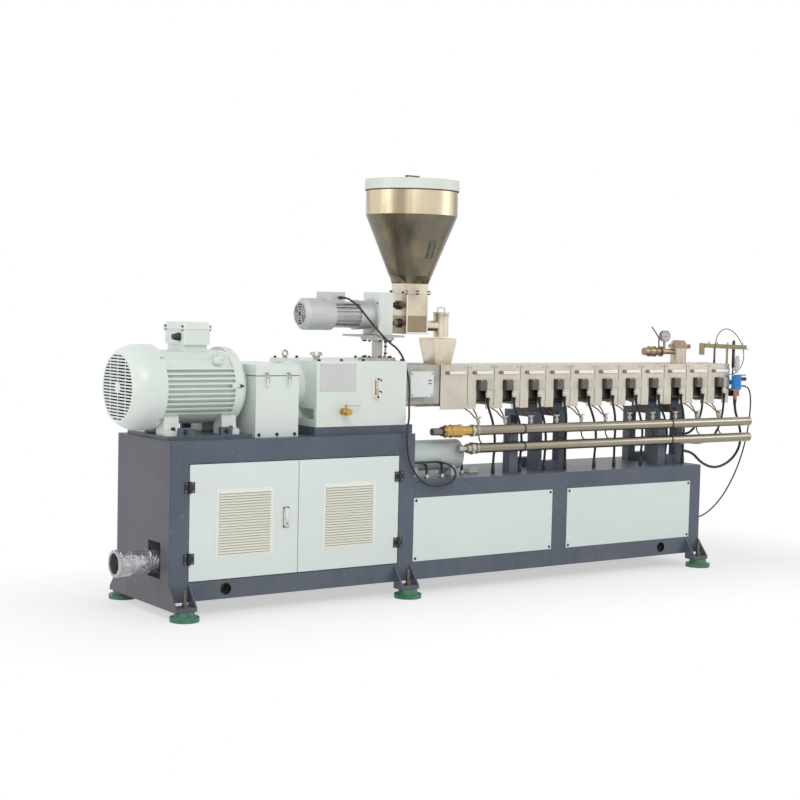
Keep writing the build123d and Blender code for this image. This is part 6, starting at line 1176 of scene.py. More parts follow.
@dataclass
class BaseFrame(Assembly):
    """Welded base with its sheets, doors and feet."""

    finishes: ClassVar = {
        FRAME_PAINT: (
            *("frame_front", "frame_back", "drain_rails", "frame_crossbars"),
            *("deck_plates", "foot_brackets", "drive_bases", "deck_supports"),
        ),
        END_PAINT: ("end_plate",),
        PANEL_PAINT: ("fixed_panels", "door_left", "door_right"),
        VENT_PAINT: ("door_left_vent", "door_right_vent"),
        DOOR_FITTING: ("door_left_fittings", "door_right_fittings", "hinge_frame_leaves"),
        MOUNT_GREEN: ("vibration_mounts",),
        FOOT_STEEL: ("levelling_bolts",),
        FOIL: ("duct_stub",),
    }
    sheet_face: float = 323
    low_panels: tuple[Span, ...] = ((1594, 2658), (2782, 3862))
    panel_heights: Span = (196, 572)
    screw_inset: float = 16
    hinges: tuple[tuple[float, int, str], ...] = ((118.5, 1, "door_left"), (1484.5, -1, "door_right"))
    hinge_heights: tuple[float, ...] = (298, 338, 685, 725)
    hinge_reach: float = 20
    vents: tuple[tuple[float, str], ...] = ((460, "door_left"), (1143, "door_right"))
    vent_heights: Span = (330, 674)
    louvres: int = 23
    drain_holes: Span = (348, 3612)
    feet: tuple[float, ...] = (68, 1522, 3900)
    duct: Span = (-148, 296)

    def screws(self) -> None:
        """Makes the black screws along the sheets' edges and the flush ones of the door hinges."""
        inset = self.screw_inset
        heights = (self.panel_heights[0] + inset, self.panel_heights[1] - inset)
        seats = grid((112, 450, 786, 816, 1150, 1490), [self.sheet_face], (198, 832), BACK_SIDE)
        seats += grid((112, 1490), [self.sheet_face], [520], BACK_SIDE)
        seats += grid([3963], (-290, 0, 290), (118, 645), TO_DIE)
        for start, end in self.low_panels:
            seats += both_sides((start + inset, end - inset), self.sheet_face, heights)
        screw_set("panel_screws", seats, 0.0062, Head.PAN)
        on_frame = []
        for x, side, door in self.hinges:
            reach = side * self.hinge_reach
            on_frame += grid([x - reach], [-self.sheet_face], self.hinge_heights, DOOR_SIDE)
            on_door = grid([x + reach], [-self.sheet_face], self.hinge_heights, DOOR_SIDE)
            screw_set(f"{door}_hinge_screws", on_door, 0.0035, Head.PAN, BOLT_STEEL, False, door)
        screw_set("hinge_screws", on_frame, 0.0035, Head.PAN, BOLT_STEEL, False)

    def doors(self) -> None:
        """Makes the parts of the door handle, with a black outline of painted shade round its plate, and the dark
        strips of painted shade under the hoods of the vents.
        """
        door = "door_left"
        # A black outline of painted shade round the handle plate, standing in for the shade of its recess.
        gasket = ((702.5, -321.6, 453.5), (740.5, -319.8, 569.5))
        blocks("door_handle_shade_outline", [gasket], BLACK_FITTING, 0.0008, body=door)
        grip = ((714.5, -338.4, 500), (728.5, -333.6, 560))
        blocks("door_handle_grip", [grip], BRIGHT_STEEL, 0.002, body=door)
        lock = Piece("door_lock_barrel")
        barrel = [(0, 0.0085), (0.003, 0.0085), (0.0036, 0.0072), (0.0036, 0)]
        lock.lathe(place(721.5, -334, 478), DOOR_SIDE, barrel)
        lock.block((720.7, -338.2, 473), (722.3, -337.4, 483))
        lock.done(BOLT_STEEL, door)
        low, high = self.vent_heights
        pitch = (high - low) / self.louvres
        rows = [low + pitch * (row + 0.26) for row in range(self.louvres)]
        for x, door in self.vents:
            # Dark strips of painted shade along the underside of each louvre hood.
            shade_strips = [((x - 160, -323.4, z - 3.4), (x + 160, -321.8, z + 0.4)) for z in rows]
            blocks(f"{door}_vent_painted_shade_strips", shade_strips, PAINTED_SHADE_BROWN, body=door)

    def build(self) -> None:
        """Makes the screws, the doors' parts, the drain holes' lining, the foot nuts and the clamps."""
        self.screws()
        self.doors()
        ring = [(0.006, 0.0338), (0.0, 0.0345), (0.0, 0.031), (0.02, 0.0305)]
        holes = grid(self.drain_holes, [-320.6], [141], BACK_SIDE)
        turned("drain_hole_rings", holes, ring, DARK_STEEL, 40, slot="frame_paint")
        behind = grid(self.drain_holes, [-238], [141], BACK_SIDE)
        turned("drain_hole_sheets", behind, rod(0.039, 0.003), RUST, 32)
        nuts = Piece("foot_lock_nuts")
        nut = [(0, 0.0102), (0, 0.0165), (0.009, 0.0165), (0.011, 0.0145), (0.011, 0.0102)]
        tip = [(0, 0.0095), (0.003, 0.0075), (0.003, 0.0)]
        for x, y in product(self.feet, (-381, 381)):
            nuts.lathe(place(x, y, 88.5), UP, nut, 6)
            nuts.lathe(place(x, y, 162), UP, tip, 20)
        nuts.done(FOOT_STEEL)
        clamps = Piece("duct_clamps")
        for x, radius in ((-150, 0.0628), (-40, 0.0628), (-215, 0.0737)):
            band = collar(radius - 0.001, radius + 0.0012, 0.012)
            clamps.lathe(place(x - 6, *self.duct), TO_DIE, band, 40)
            housing = place(x, *self.duct) + Vector((0, -radius * 0.7 - 0.012, radius * 0.72 - 0.01))
            clamps.lathe(housing, Vector((0, 1, 1)), rod(0.006, 0.03), 12)
        clamps.done(BOLT_STEEL)


@dataclass
class MotorDrive(Assembly):
    """Main motor, its coupling guard and the bolts that hold them."""

    finishes: ClassVar = {
        MACHINE_PAINT: ("motor_body", "motor_fan_cowl", "motor_end_shield", "coupling_guard", "guard_lid"),
        TERMINAL_PAINT: ("terminal_box",),
        CAST_STEEL: ("shaft_coupling",),
    }
    axis_z: float = 1227
    fan_x: float = -132
    fan_blades: int = 9
    guard_ends: Span = (558.6, 841.4)
    guard_depth: Span = (-240, 236)
    lid_z: float = 1297.6
    latches: Span = (628, 768)

    def fan(self) -> None:
        """Makes the fan that shows through the slots of the cowl."""
        piece = Piece("motor_fan")
        hub = place(self.fan_x, 0, self.axis_z)
        disc = [(0, 0), (0, 0.045), (0.05, 0.05), (0.05, 0.165), (0.056, 0.165), (0.056, 0)]
        piece.lathe(hub, TO_DIE, disc, 40)
        corners = [(0.006, -0.004, 0.04), (0.05, -0.004, 0.04), (0.05, -0.004, 0.16), (0.012, -0.004, 0.15)]
        for number in range(self.fan_blades):
            turn = Matrix.Rotation(2 * math.pi * number / self.fan_blades, 4, "X")
            front = [hub + turn @ Vector(corner) for corner in corners]
            piece.slab(front, turn @ Vector((0, 0.008, 0)))
        piece.done(BLACK_FITTING, edge=0.001)

    def bolts(self) -> None:
        """Makes the bolts of the shield, the feet, the cowl and the jacking blocks."""
        axes = (BACK_SIDE, UP)
        shield = place(521, 0, self.axis_z)
        seats = bolt_circle(shield, axes, 0.183, 8, TO_DIE)
        seats = [(spot, out + (spot - shield) * 0.55 / 0.183) for spot, out in seats]
        screw_set("motor_shield_bolts", seats, 0.009, finish=BOLT_STEEL)
        screw_set("motor_foot_bolts", grid((84, 436), (-187, 187), [1001], UP), 0.013)
        cowl = place(20, 0, self.axis_z)
        seats = [(spot, spot - cowl) for spot, _ in bolt_circle(cowl, axes, 0.234, 4, TO_DIE)]
        screw_set("cowl_screws", seats, 0.006, Head.PAN, BOLT_STEEL)
        jacks = Piece("jacking_bolts")
        for spot, out in both_sides((130, 380), 245, [996]):
            jacks.screw(spot, out, 0.0105)
            jacks.lathe(spot - out * 0.028, -out, [(-0.001, 0.0065), (0.022, 0.0065), (0.022, 0.0)], 16)
        jacks.done(BLACK_FITTING)

    def motor_fittings(self) -> None:
        """Makes the lifting eye, the earthing lug, the greaser and the corners of the box's lid."""
        eye = Piece("motor_eye_bolt")
        out = Vector((0, -0.74, 0.673)).normalized()
        seat = place(362, 0, self.axis_z) + out * 0.226
        boss = [(0, 0), (0, 0.028), (0.02, 0.026), (0.024, 0.012), (0.03, 0.009), (0.03, 0)]
        eye.lathe(seat - out * 0.008, out, boss)
        eye.ring(seat + out * 0.046, Vector((0.75, 0.44, 0.49)), 0.0225, 0.0068)
        eye.done(MACHINE_PAINT)
        lug = Piece("motor_side_lug")
        lug.block((420, -236, 1229), (446, -214, 1251))
        lug.lathe(place(446, -227, 1240), TO_DIE, rod(0.008, 0.02), 20)
        lug.done(MACHINE_PAINT, edge=0.0015)
        nipple = [(0, 0.009), (0.014, 0.009), (0.016, 0.006), (0.026, 0.006), (0.026, 0)]
        turned("motor_greaser", [(place(465, -227, 1240), TO_DIE)], nipple, DARK_STEEL, 20)
        corners = [*product((172, 344), (-104, 104))]
        lugs = [((x - 8, y - 9, 1545), (x + 8, y + 9, 1555)) for x, y in corners]
        blocks("terminal_lid_lugs", lugs, MACHINE_PAINT, 0.001)
        screw = [(0, 0), (0, 0.0034), (0.024, 0.0034), (0.024, 0.0062), (0.031, 0.0056), (0.031, 0)]
        turned("terminal_lid_screws", [(place(x, y, 1536), UP) for x, y in corners], screw, DARK_STEEL, 12)

    def guard(self) -> None:
        """Makes the guard's lip and seal, its toggle latches and its base bolts."""
        left, right = self.guard_ends
        front, back = self.guard_depth
        z = self.lid_z
        lip = [((left, front - 3.4, z), (right, front + 0.4, z + 7.4))]
        lip += [((x, front, z), (x + 3.6, back, z + 7.4)) for x in (left, right - 3.6)]
        blocks("guard_lid_lip", lip, MACHINE_PAINT, 0.001, body="guard_lid")
        seal = [((left + 2.2, front - 1.2, z - 4), (right - 2.2, front + 0.4, z - 0.4))]
        seal += [((x, front, z - 4), (x + 1.4, back, z - 0.4)) for x in (left + 2.2, right - 3.6)]
        blocks("guard_seal", seal, BLACK_FITTING)
        levers = [((x - 8, -256, 1243), (x + 8, -251.6, 1280)) for x in self.latches]
        blocks("guard_latch_levers", levers, BRIGHT_STEEL, 0.0015)
        wires = Piece("guard_latch_wires")
        for x in self.latches:
            wires.ring(place(x, -256.5, 1290), DOOR_SIDE, 0.0085, 0.0019, 28)
            for dx in (-8.5, 8.5):
                wires.lathe(place(x + dx, -256.5, 1252), UP, rod(0.0019, 0.038), 8)
        wires.done(BOLT_STEEL)
        hooks = [((x - 10, -252, 1305.4), (x + 10, -239.6, 1313)) for x in self.latches]
        hooks += [((x - 5, -258.6, 1301), (x + 5, -251.4, 1313)) for x in self.latches]
        blocks("guard_latch_hooks", hooks, BOLT_STEEL, 0.001, body="guard_lid")
        screw_set("guard_base_bolts", both_sides((585, 700, 815), 240, [968]), 0.0075)

    def build(self) -> None:
        """Makes the drive's own pieces."""
        self.fan()
        self.bolts()
        self.motor_fittings()
        self.guard()


@dataclass
class Gearbox(Assembly):
    """Gearbox with its bare plate, gauge and drain, and the adapter after it."""

    finishes: ClassVar = {
        MACHINE_PAINT: ("gearbox_housing",),
        BOLT_STEEL: ("drive_fittings",),
        BRASS_PLAIN: ("drain_valve", "drain_lever"),
        LANTERN_STEEL: ("adapter_lantern",),
        SIGN_WHITE: ("adapter_guard",),
    }
    plate_x: Span = (957, 1203)
    plate_z: Span = (1204, 1362)
    plate_front: float = -271.4
    gauge_at: Span = (1345, 1222)

    def gauge(self) -> None:
        """Makes the oil gauge's frame, glass, oil and clips."""
        x, z = self.gauge_at
        frame = [((x - 29, -274.5, z - 56), (x + 31, -269.6, z + 64))]
        for low, high in ((42, 62.4), (-62.4, -42)):
            frame.append(((x - 13.6, -288.5, z + low), (x + 13.6, -274, z + high)))
        blocks("gauge_frame", frame, BRIGHT_STEEL, 0.0015)
        tube = [(0, 0.0), (0, 0.0092), (0.002, 0.0098), (0.083, 0.0098), (0.085, 0.0092), (0.085, 0)]
        turned("gauge_glass", [(place(x, -281, z - 42.5), UP)], tube, GLASS_PALE)
        filling = [(0, 0), (0, 0.0101), (0.036, 0.0101), (0.0375, 0.0099)]
        turned("gauge_oil", [(place(x, -281, z - 41), UP)], filling, OIL_PALE)
        clips = Piece("gauge_clips")
        for dz in (38, -30):
            clips.ring(place(x + 21, -277, z + dz), DOOR_SIDE, 0.011, 0.003, 28, 0.62)
        for dz in (52, -52):
            clips.screw(place(x, -288.5, z + dz), DOOR_SIDE, 0.006, Head.SOCKET, False)
        clips.done(BLACK_FITTING)

    def build(self) -> None:
        """Makes the bare plate, the gauge, the bolts and the slots of the adapter's guard."""
        (left, right), (low, high), front = self.plate_x, self.plate_z, self.plate_front
        plate = ((left, front, low), (right, front + 1.6, high))
        blocks("bare_plate", [plate], PLATE_ALUMINIUM, 0.0005)
        corners = grid((left + 6, right - 6), [front], (low + 6, high - 6), DOOR_SIDE)
        screw_set("bare_plate_screws", corners, 0.0032, Head.PAN, BOLT_STEEL, False)
        self.gauge()
        cover = grid((965, 1115, 1265, 1535), (-246, 246), [1376], UP)
        screw_set("gearbox_cover_bolts", cover, 0.0085, Head.SOCKET)
        screw_set("adapter_bolts", grid([1560], (-148, 148), (1120, 1215, 1320), TO_DIE), 0.011)
        slots = [((1768, -197.6, z - 3), (1794, -196.6, z + 3)) for z in (1256, 1238)]
        blocks("adapter_guard_slots", slots, BLACK_FITTING, 0.0004)
        guard = grid((1650, 1798), [-197], (1170, 1298), DOOR_SIDE)
        screw_set("adapter_guard_screws", guard, 0.005, Head.PAN, BOLT_STEEL)


@dataclass
class Barrel(Assembly):
    """Barrel with its sheet covers, heater plugs and junction boxes."""

    finishes: ClassVar = {
        COVER_STEEL: ("barrel_covers",),
        CAST_STEEL: ("barrel_core", "die_head"),
        PLUG_TAUPE: ("heater_plugs",),
        BOX_STEEL: ("junction_boxes",),
    }
    start: float = 1907
    pitch: float = 208
    count: int = 12
    cover_face: float = 133
    cover_top: float = 1345
    plug_face: float = 155
    box_face: float = 149

    def rows(
        self, name: str, xs: Places, spans: list[tuple[Span, Span, Span]], finish: Finish, **more
    ) -> None:
        """Makes one piece of equal boxes on both sides of the barrel.

        Args:
            name: Its name.
            xs: Places along the machine that it repeats at.
            spans: Spans of each box: from the centre line, along from the place, and in height.
            finish: Its finish.
            **more: What Piece.done takes.
        """
        piece = Piece(name)
        for x, side, (y, (left, right), z) in product(xs, (-1, 1), spans):
            piece.side_block(side, y, (x + left, x + right), z)
        piece.done(finish, **more)

    def feed_tubes(self, sections: Places) -> None:
        """Makes the thin copper tubes from the water pipes up to the barrel, and their nuts."""
        from_valve = ((0, -252, 1020), (0, -222, 1026), (-2, -176, 1062), (-8, -118, 1078), (-8, -100, 1112))
        from_pipe = ((0, -240, 866), (0, -206, 880), (2, -198, 960), (8, -170, 1040), (14, -118, 1072))
        from_pipe += ((14, -102, 1112),)
        valves = [x + 198 for x in sections[:-1]]
        branches = [x + 40 for x in sections[1:]]
        routes = [[place(x + dx, y, z) for dx, y, z in from_valve] for x in valves]
        routes += [[place(x + dx, y, z) for dx, y, z in from_pipe] for x in branches]
        bent_tubes("water_feed_tubes", routes, 0.0042, COPPER)
        nut = [(-0.002, 0), (-0.002, 0.0085), (0.014, 0.0085), (0.016, 0.006), (0.016, 0)]
        seats = grid(valves, [-258], [1020], BACK_SIDE)
        seats += grid(branches, [-250], [864], Vector((0, 0.9, 0.3)))
        turned("feed_tube_nuts", seats, nut, BOLT_STEEL, 6)

    def build(self) -> None:
        """Makes the barrel's own pieces."""
        sections = [self.start + number * self.pitch for number in range(self.count)]
        heated = sections[1:]
        cover, plug, box = self.cover_face, self.plug_face, self.box_face
        rib_end = ((cover - 0.5, cover + 8), (40, 61), (1287, 1307))
        self.rows("rib_ends", sections, [rib_end], CAST_STEEL, edge=0.0015)
        grip = ((cover + 7, cover + 14), (62, 184), (1286, 1308))
        self.rows("cover_handles", sections, [grip], BRIGHT_STEEL, edge=0.003, slot="stainless")
        self.feed_tubes(sections)
        edges = [x + dx for x, dx in product(sections, (18, 186))]
        seats = both_sides(edges, cover, [1330]) + grid(edges, (-70, 70), [self.cover_top], UP)
        screw_set("cover_screws", seats, 0.0045, Head.PAN, BOLT_STEEL)
        ribs = [((plug - 0.5, plug + 2.5), (90, 128), (z, z + 6)) for z in (1200, 1212, 1224, 1236)]
        self.rows("plug_caps", heated, ribs, PLUG_TAUPE, edge=0.001)
        clips = [((plug - 1, plug + 3.5), (left, left + 8), (1244, 1256)) for left in (86, 124)]
        self.rows("plug_clips", heated, clips, BOLT_STEEL, edge=0.0008)
        lid = ((box - 0.5, box + 2), (139, 195), (1191, 1247))
        self.rows("junction_lids", heated, [lid], BOX_STEEL, edge=0.001)
        corners = both_sides([x + dx for x, dx in product(heated, (144, 190))], box + 2, (1196, 1242))
        screw_set("junction_screws", corners, 0.0032, Head.PAN, BOLT_STEEL, False)
        under = grid([x + 148 for x in heated], [-146.3], [1158], UP)
        turned("connector_nuts", under, collar(0.0132, 0.0165, 0.012), DIAL_WHITE, 6)


@dataclass
class Feeder(Assembly):
    """Hopper feeder on its column."""

    finishes: ClassVar = {
        HOPPER_STEEL: ("hopper",),
        TROUGH_STEEL: ("feeder_trough", "discharge_tube", "feed_funnel"),
        LID_WHITE: ("hopper_lid",),
        REDUCER_PAINT: ("feeder_reducer",),
        SILVER_PAINT: ("feeder_motor",),
        BOLT_STEEL: ("feeder_column",),
    }
    middle: float = 1757
    flange_z: float = 1775
    cone_low: float = 1880
    cone_height: float = 361
    neck_radius: float = 130
    rim_radius: float = 277
    window_share: float = 0.42
    window_turn: float = 4
    motor_face: float = 982
    motor_z: float = 1640

    def trough(self) -> None:
        """Makes the trough's flange bolts, its frame of flat bars and its shaft bearings."""
        x, z = self.middle, self.flange_z
        piece = Piece("trough_flange_bolts")
        seats = grid((x - 83, x, x + 83), (-86, 86), [z + 8], UP)
        for spot, out in seats + grid((x - 83, x, x + 83), (-86, 86), [z], -UP):
            piece.screw(spot, out, 0.0062)
        ends = grid([x + 93], (-60, 60), [z + 4], TO_DIE) + grid([x - 93], (-60, 60), [z + 4], TO_MOTOR)
        for spot, out in ends:
            piece.screw(spot, out, 0.0055)
        piece.done(BLACK_FITTING)
        bars = [((left, -83.4, 1531), (left + 8, -79.6, 1774)) for left in (x - 79, x + 71)]
        bars.append(((x - 72, -83.4, 1531), (x + 72, -79.6, 1541)))
        blocks("trough_frame_bars", bars, BRIGHT_STEEL, 0.0008, slot="stainless")
        for height, radius, finish in ((1702, 0.021, DARK_STEEL), (1594, 0.019, OLIVE_STEEL)):
            boss, rim = radius * 0.75, radius * 1.25
            hub = [(0, 0.0132), (0, boss), (0.014, boss), (0.018, radius), (0.03, radius)]
            hub += [(0.032, rim), (0.04, rim), (0.04, 0.0132)]
            seat = (place(1638, 0, height), TO_DIE)
            turned(f"trough_bearing_{height}", [seat], hub, finish, 28, slot="cast_steel")

    def sight_window(self) -> None:
        """Makes the glass of the hopper's sight window, its gasket and its screws."""
        flare = self.rim_radius - self.neck_radius
        turn = math.radians(self.window_turn)
        out = Vector((math.sin(turn), -math.cos(turn), 0))
        height = self.cone_low + self.window_share * self.cone_height
        radius = self.neck_radius + self.window_share * flare
        middle = place(self.middle, 0, height) + out * radius / 1000
        normal = (out * self.cone_height - UP * flare).normalized()
        across = Vector((math.cos(turn), math.sin(turn), 0))
        along = normal.cross(across)

        def spots(half_width: float, half_height: float, lift: float, shares: list[Span]) -> list[Vector]:
            """Points over the window, by shares of half its width and half its height."""
            raised = middle + normal * lift
            return [raised + across * (u * half_width) + along * (v * half_height) for u, v in shares]

        corners = [(-1, -1), (1, -1), (1, 1), (-1, 1)]
        glass = Piece("sight_window")
        glass.slab(spots(0.0168, 0.0478, 0.0022, corners), normal * -0.0026)
        glass.done(GLASS_DARK)
        gasket = Piece("sight_window_gasket")
        gasket.tube(spots(0.0178, 0.0488, 0.0034, corners), [0.0022] * 4, 8, closed=True)
        gasket.done(BLACK_FITTING)
        seats = [(spot, normal) for spot in spots(0.021, 0.048, 0.004, [*product((-1, 1), (-1, 0, 1))])]
        screw_set("sight_window_screws", seats, 0.0028, Head.PAN, BOLT_STEEL, False)

    def motor(self) -> None:
        """Makes the feeder motor's fan grille and the bolts of its reducer."""
        grille = Piece("feeder_fan_grille")
        face = place(self.motor_face, 0, self.motor_z)
        bar = 0.0022
        for radius in (0.02, 0.034, 0.048, 0.062):
            grille.ring(face, TO_MOTOR, radius, bar, 36)
        for x, y in circle(6):
            arm = Vector((0, x, y))
            grille.tube([face + arm * 0.012, face + arm * 0.068], [bar, bar], 8)
        grille.done(SILVER_PAINT)
        shadow = (place(self.motor_face + 0.4, 0, self.motor_z), TO_MOTOR)
        turned("feeder_fan_shadow", [shadow], rod(0.066, 0.0009, -0.0005), BLACK_FITTING, 36)
        bolts = Piece("reducer_bolts")
        for spot, out in grid([1477], (-66, 66), (1576, 1704), TO_MOTOR):
            bolts.screw(spot, out, 0.0085)
        for spot, out in grid([1577], (-70, 70), (1560, 1640, 1720, 1764), TO_DIE):
            bolts.screw(spot, out, 0.006)
        bolts.done(BLACK_FITTING)

    def build(self) -> None:
        """Makes the feeder's own pieces."""
        self.trough()
        self.sight_window()
        self.motor()
        column = Piece("column_bolts")
        for z, out in ((1392, UP), (1496, -UP)):
            for spot, way in bolt_circle(place(1446, -118, z), (TO_DIE, BACK_SIDE), 0.082, 8, out):
                column.screw(spot, way, 0.008)
        for spot, out in grid([1506], [-118], (1412, 1452, 1478), UP):
            column.lathe(spot, out, collar(0.0061, 0.011, 0.009), 6)
        column.done(BLACK_FITTING)
        wire = Piece("drop_pipe_handle")
        route = ((1970, 1664), (1970, 1686), (1974, 1691), (2018, 1691), (2022, 1686), (2022, 1664))
        wire.tube([place(x, 0, z) for x, z in route], [0.003] * len(route), 10)
        wire.done(BOLT_STEEL)
        clamp = Piece("drop_pipe_clamp")
        clamp.lathe(place(1996, 0, 1640), UP, collar(0.0468, 0.0488, 0.01), 40)
        clamp.lathe(place(1996, -56, 1645), BACK_SIDE, rod(0.005, 0.012), 12)
        clamp.done(BOLT_STEEL)
        rim = Piece("hopper_rim")
        rim.ring(place(self.middle, 0, 2386), UP, 0.2785, 0.0032, 72)
        rim.done(DARK_STEEL, slot="stainless")


@dataclass
class WaterAndOil(Assembly):
    """Cooling pipes with their valves, and the oil cooler."""

    finishes: ClassVar = {
        PIPE_STEEL: ("water_manifolds",),
        BOLT_STEEL: ("pipe_fittings",),
        DARK_STEEL: ("pipe_straps",),
        BRASS_VALVE: ("inlet_valve",),
        COOLER_PAINT: ("oil_cooler",),
    }
    pipe_y: float = -260
    pipes_z: Span = (953, 845)

    def pipe_fittings(self) -> None:
        """Makes the weld beads, the valve's collars, the inlet nut and the unions of the pipes."""
        y, (upper, _) = self.pipe_y, self.pipes_z
        beads = Piece("pipe_weld_rings")
        for spot, axis in grid((2062, 4474), [y], self.pipes_z, TO_DIE):
            beads.ring(spot, axis, 0.0298, 0.0016, 40)
        beads.done(BOLT_STEEL, slot="stainless")
        rings = Piece("brass_valve_rings")
        for x, radius, length in ((1850, 0.039, 0.012), (1890, 0.041, 0.01), (1972, 0.031, 0.016)):
            rings.lathe(place(x, y, upper), TO_DIE, collar(radius - 0.012, radius, length), 8)
        rings.done(BRASS_PLAIN)
        inlet = (place(1826, y, upper), TO_DIE)
        turned("inlet_port_nut", [inlet], collar(0.02, 0.031, 0.018), DARK_STEEL, 6, slot="cast_steel")
        unions = Piece("pipe_unions")
        union = [(0, 0.024), (0, 0.037), (0.022, 0.037), (0.022, 0.0295)]
        for z in self.pipes_z:
            unions.lathe(place(2046, y, z), TO_DIE, union, 8)
            unions.lathe(place(2086, y, z), TO_DIE, collar(0.0295, 0.0335, 0.012), 40)
        unions.done(BOLT_STEEL)
        straps = grid((2454, 3721), [-226], [z + 1.5 for z in self.pipes_z], UP)
        screw_set("strap_nuts", straps, 0.0055, washer=False)

    def build(self) -> None:
        """Makes the pipes' fittings, the oil cooler's pipes and bolts and the white valve block."""
        self.pipe_fittings()
        corners = (
            ((1740, -205, 764), (1740, -232, 760), (1742, -238, 730), (1742, -238, 677)),
            ((1850, -207, 770), (1850, -236, 768), (1852, -242, 735), (1852, -242, 677)),
            ((2046, -120, 764), (2076, -120, 764), (2092, -122, 748), (2092, -124, 677)),
        )
        routes = [[place(*corner) for corner in route] for route in corners]
        bent_tubes("oil_cooler_pipes", routes, 0.0085, BLACK_FITTING, "cable_black")
        nuts = Piece("oil_pipe_unions")
        upper = [(-0.004, 0), (-0.004, 0.015), (0.014, 0.015), (0.018, 0.0115), (0.024, 0.0115), (0.024, 0)]
        lower = [(-0.0005, 0), (-0.0005, 0.016), (0.012, 0.016), (0.02, 0.0115), (0.02, 0)]
        for route in routes:
            nuts.lathe(route[0], route[1] - route[0], upper, 8)
            nuts.lathe(route[-1], UP, lower, 8)
        nuts.done(BOLT_STEEL)
        block = Piece("deck_valve_block")
        block.block((2158, -118, 676.3), (2226, -62, 704))
        cap = [(0, 0), (0, 0.012), (0.008, 0.012), (0.01, 0.009), (0.018, 0.009), (0.018, 0)]
        block.lathe(place(2180, -90, 703), UP, cap, 20)
        port = [(0, 0), (0, 0.009), (0.018, 0.009), (0.02, 0.007), (0.02, 0)]
        block.lathe(place(2225, -90, 690), TO_DIE, port, 20)
        block.done(DIAL_WHITE, edge=0.002)
        ends = []
        for x, out in ((2040, TO_DIE), (1640, TO_MOTOR)):
            ends += bolt_circle(place(x, -120, 800), (BACK_SIDE, UP), 0.078, 8, out)
        screw_set("cooler_bolts", ends, 0.006, finish=BOLT_STEEL)


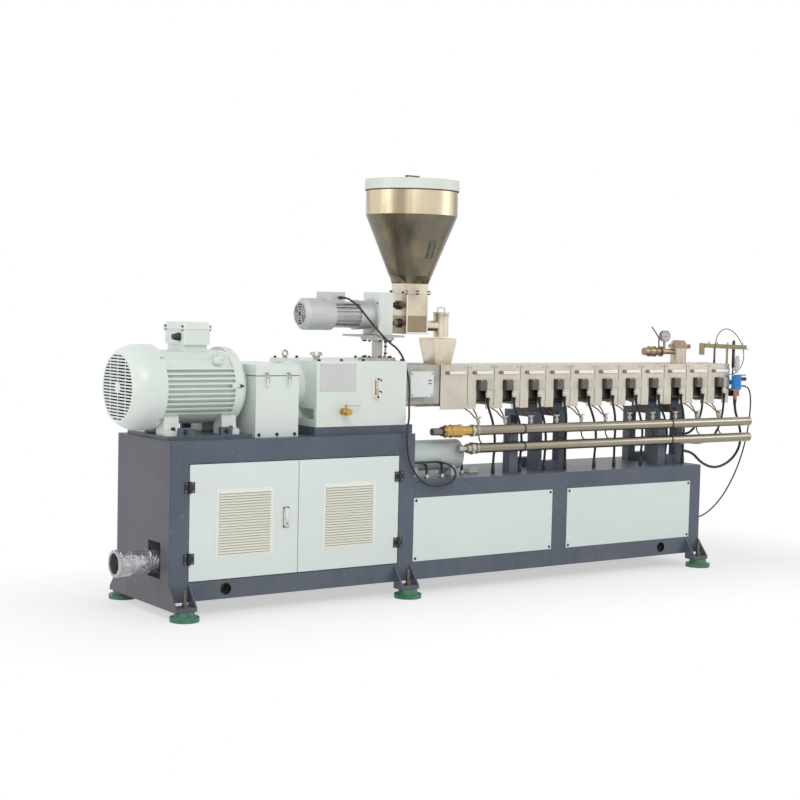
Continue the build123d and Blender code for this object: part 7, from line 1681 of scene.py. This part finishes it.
@dataclass
class VentAndDie(Assembly):
    """Vacuum vent with its gauge, and the die end with its sensors."""

    finishes: ClassVar = {
        VENT_STEEL: ("vent_pot",),
        VACUUM_STEEL: ("vacuum_line",),
        OLIVE_STEEL: ("sensor_bar",),
        VALVE_BLUE: ("die_valve",),
        GLAND_BLACK: ("cable_glands",),
    }
    gauge: Point = (3898, -15, 1530)
    gauge_marks: int = 11
    pot: Point = (4034, 0, 1468)

    def dial(self) -> None:
        """Makes the gauge's bezel, dial, marks and pointer."""
        middle = place(*self.gauge)
        bezel = [(-0.001, 0.0385), (0.003, 0.0395), (0.005, 0.037), (0.003, 0.0335), (0.0, 0.0335)]
        turned("gauge_bezel", [(middle, DOOR_SIDE)], bezel, BOLT_STEEL, 48)
        turned("gauge_dial", [(middle, DOOR_SIDE)], rod(0.0336, 0.0012, -0.0005), GAUGE_FACE, 48)
        marks = Piece("gauge_marks")
        on_dial = middle + DOOR_SIDE * 0.0014
        for number in range(self.gauge_marks):
            angle = math.radians(225 - 27 * number)
            out = Vector((math.cos(angle), 0, math.sin(angle)))
            marks.tube([on_dial + out * 0.024, on_dial + out * 0.03], [0.0007, 0.0007], 6)
        over_dial = middle + DOOR_SIDE * 0.0022
        needle = Vector((math.cos(math.radians(200)), 0, math.sin(math.radians(200))))
        marks.tube([over_dial - needle * 0.006, over_dial + needle * 0.026], [0.0011, 0.0005], 6)
        marks.lathe(middle, DOOR_SIDE, [(0.001, 0.004), (0.0034, 0.004), (0.0034, 0)], 16)
        marks.done(BLACK_FITTING)

    def vent_fittings(self) -> None:
        """Makes the red cap, the black rod, the bolts and the flanges of the vent."""
        cap = [(0, 0), (0, 0.013), (0.012, 0.016), (0.036, 0.016), (0.041, 0.01), (0.041, 0)]
        turned("vent_red_cap", [(place(4092, -8, 1460), TO_DIE)], cap, CAP_RED)
        stick = Piece("vent_rod")
        path = [place(3847, 0, 1450), place(3847, 0, 1516), place(3812, 0, 1556), place(3778, 0, 1591)]
        stick.tube(path, [0.0045, 0.0045, 0.004, 0.004], 12)
        stick.done(BLACK_FITTING)
        seats = bolt_circle(place(*self.pot), (TO_DIE, BACK_SIDE), 0.062, 6, UP)
        screw_set("vent_pot_bolts", seats, 0.0055, Head.HEX, BOLT_STEEL, False)
        flanges = grid((3755, 3800, 3860), [0], [1425], TO_DIE)
        turned("vacuum_flange_rings", flanges, collar(0.02, 0.036, 0.007), VACUUM_STEEL, 32)

    def die_fittings(self) -> None:
        """Makes the die's bolts, the knob of its valve and the sensors on their bar."""
        bolts = grid([4443], (-78, 78), (1140, 1190, 1240, 1300), TO_DIE)
        screw_set("die_bolts", bolts, 0.009, Head.SOCKET)
        knob = [(0, 0), (0, 0.0095), (0.012, 0.0095), (0.015, 0.014), (0.03, 0.0125)]
        knob += [(0.055, 0.0135), (0.06, 0.01), (0.06, 0)]
        turned("die_valve_knob", [(place(4462, -175, 1240), TO_DIE)], knob, BLACK_FITTING)
        probe = [(0, 0), (0, 0.005), (0.06, 0.005), (0.062, 0.0105)]
        probe += [(0.24, 0.0105), (0.252, 0.007), (0.252, 0)]
        turned("melt_probe", [(place(4450, -120, 1256), UP)], probe, BLACK_FITTING, 20)
        actuator = [(0, 0), (0, 0.01), (0.014, 0.01), (0.016, 0.018), (0.1, 0.018), (0.104, 0.014)]
        actuator += [(0.118, 0.014), (0.12, 0.01), (0.12, 0)]
        turned("valve_actuator", [(place(4431, -175, 1281), UP)], actuator, SILVER_PAINT, 28)
        sensor = [(0, 0), (0, 0.009), (0.014, 0.009), (0.014, 0.0065), (0.04, 0.0065), (0.04, 0)]
        turned("melt_sensors", grid([4453], (-200, -60, 40, 120), [1451], UP), sensor, BOLT_STEEL, 6)

    def build(self) -> None:
        """Makes the vent's and the die end's own pieces."""
        self.dial()
        self.vent_fittings()
        self.die_fittings()


def main() -> None:
    """Builds the studio, the cables and every sub-assembly, and writes the two boxes."""
    logging.basicConfig(level=logging.INFO, format="%(name)s: %(message)s")
    cad_box = [[float(value) for value in corner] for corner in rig.bounds()]
    Studio().build()
    for cable in CABLES:
        cable.build()
    LOG.info("%d cables", len(CABLES))
    for assembly in (BaseFrame(), MotorDrive(), Gearbox(), Barrel(), Feeder(), WaterAndOil(), VentAndDie()):
        assembly.dress()
        assembly.build()
        LOG.info("%s done", type(assembly).__name__)
    bpy.context.view_layer.update()
    seen_box = [[float(value) for value in corner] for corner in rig.bounds()]
    Path("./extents.json").write_text(json.dumps({"cad": cad_box, "seen": seen_box}))


if __name__ == "__main__":
    main()
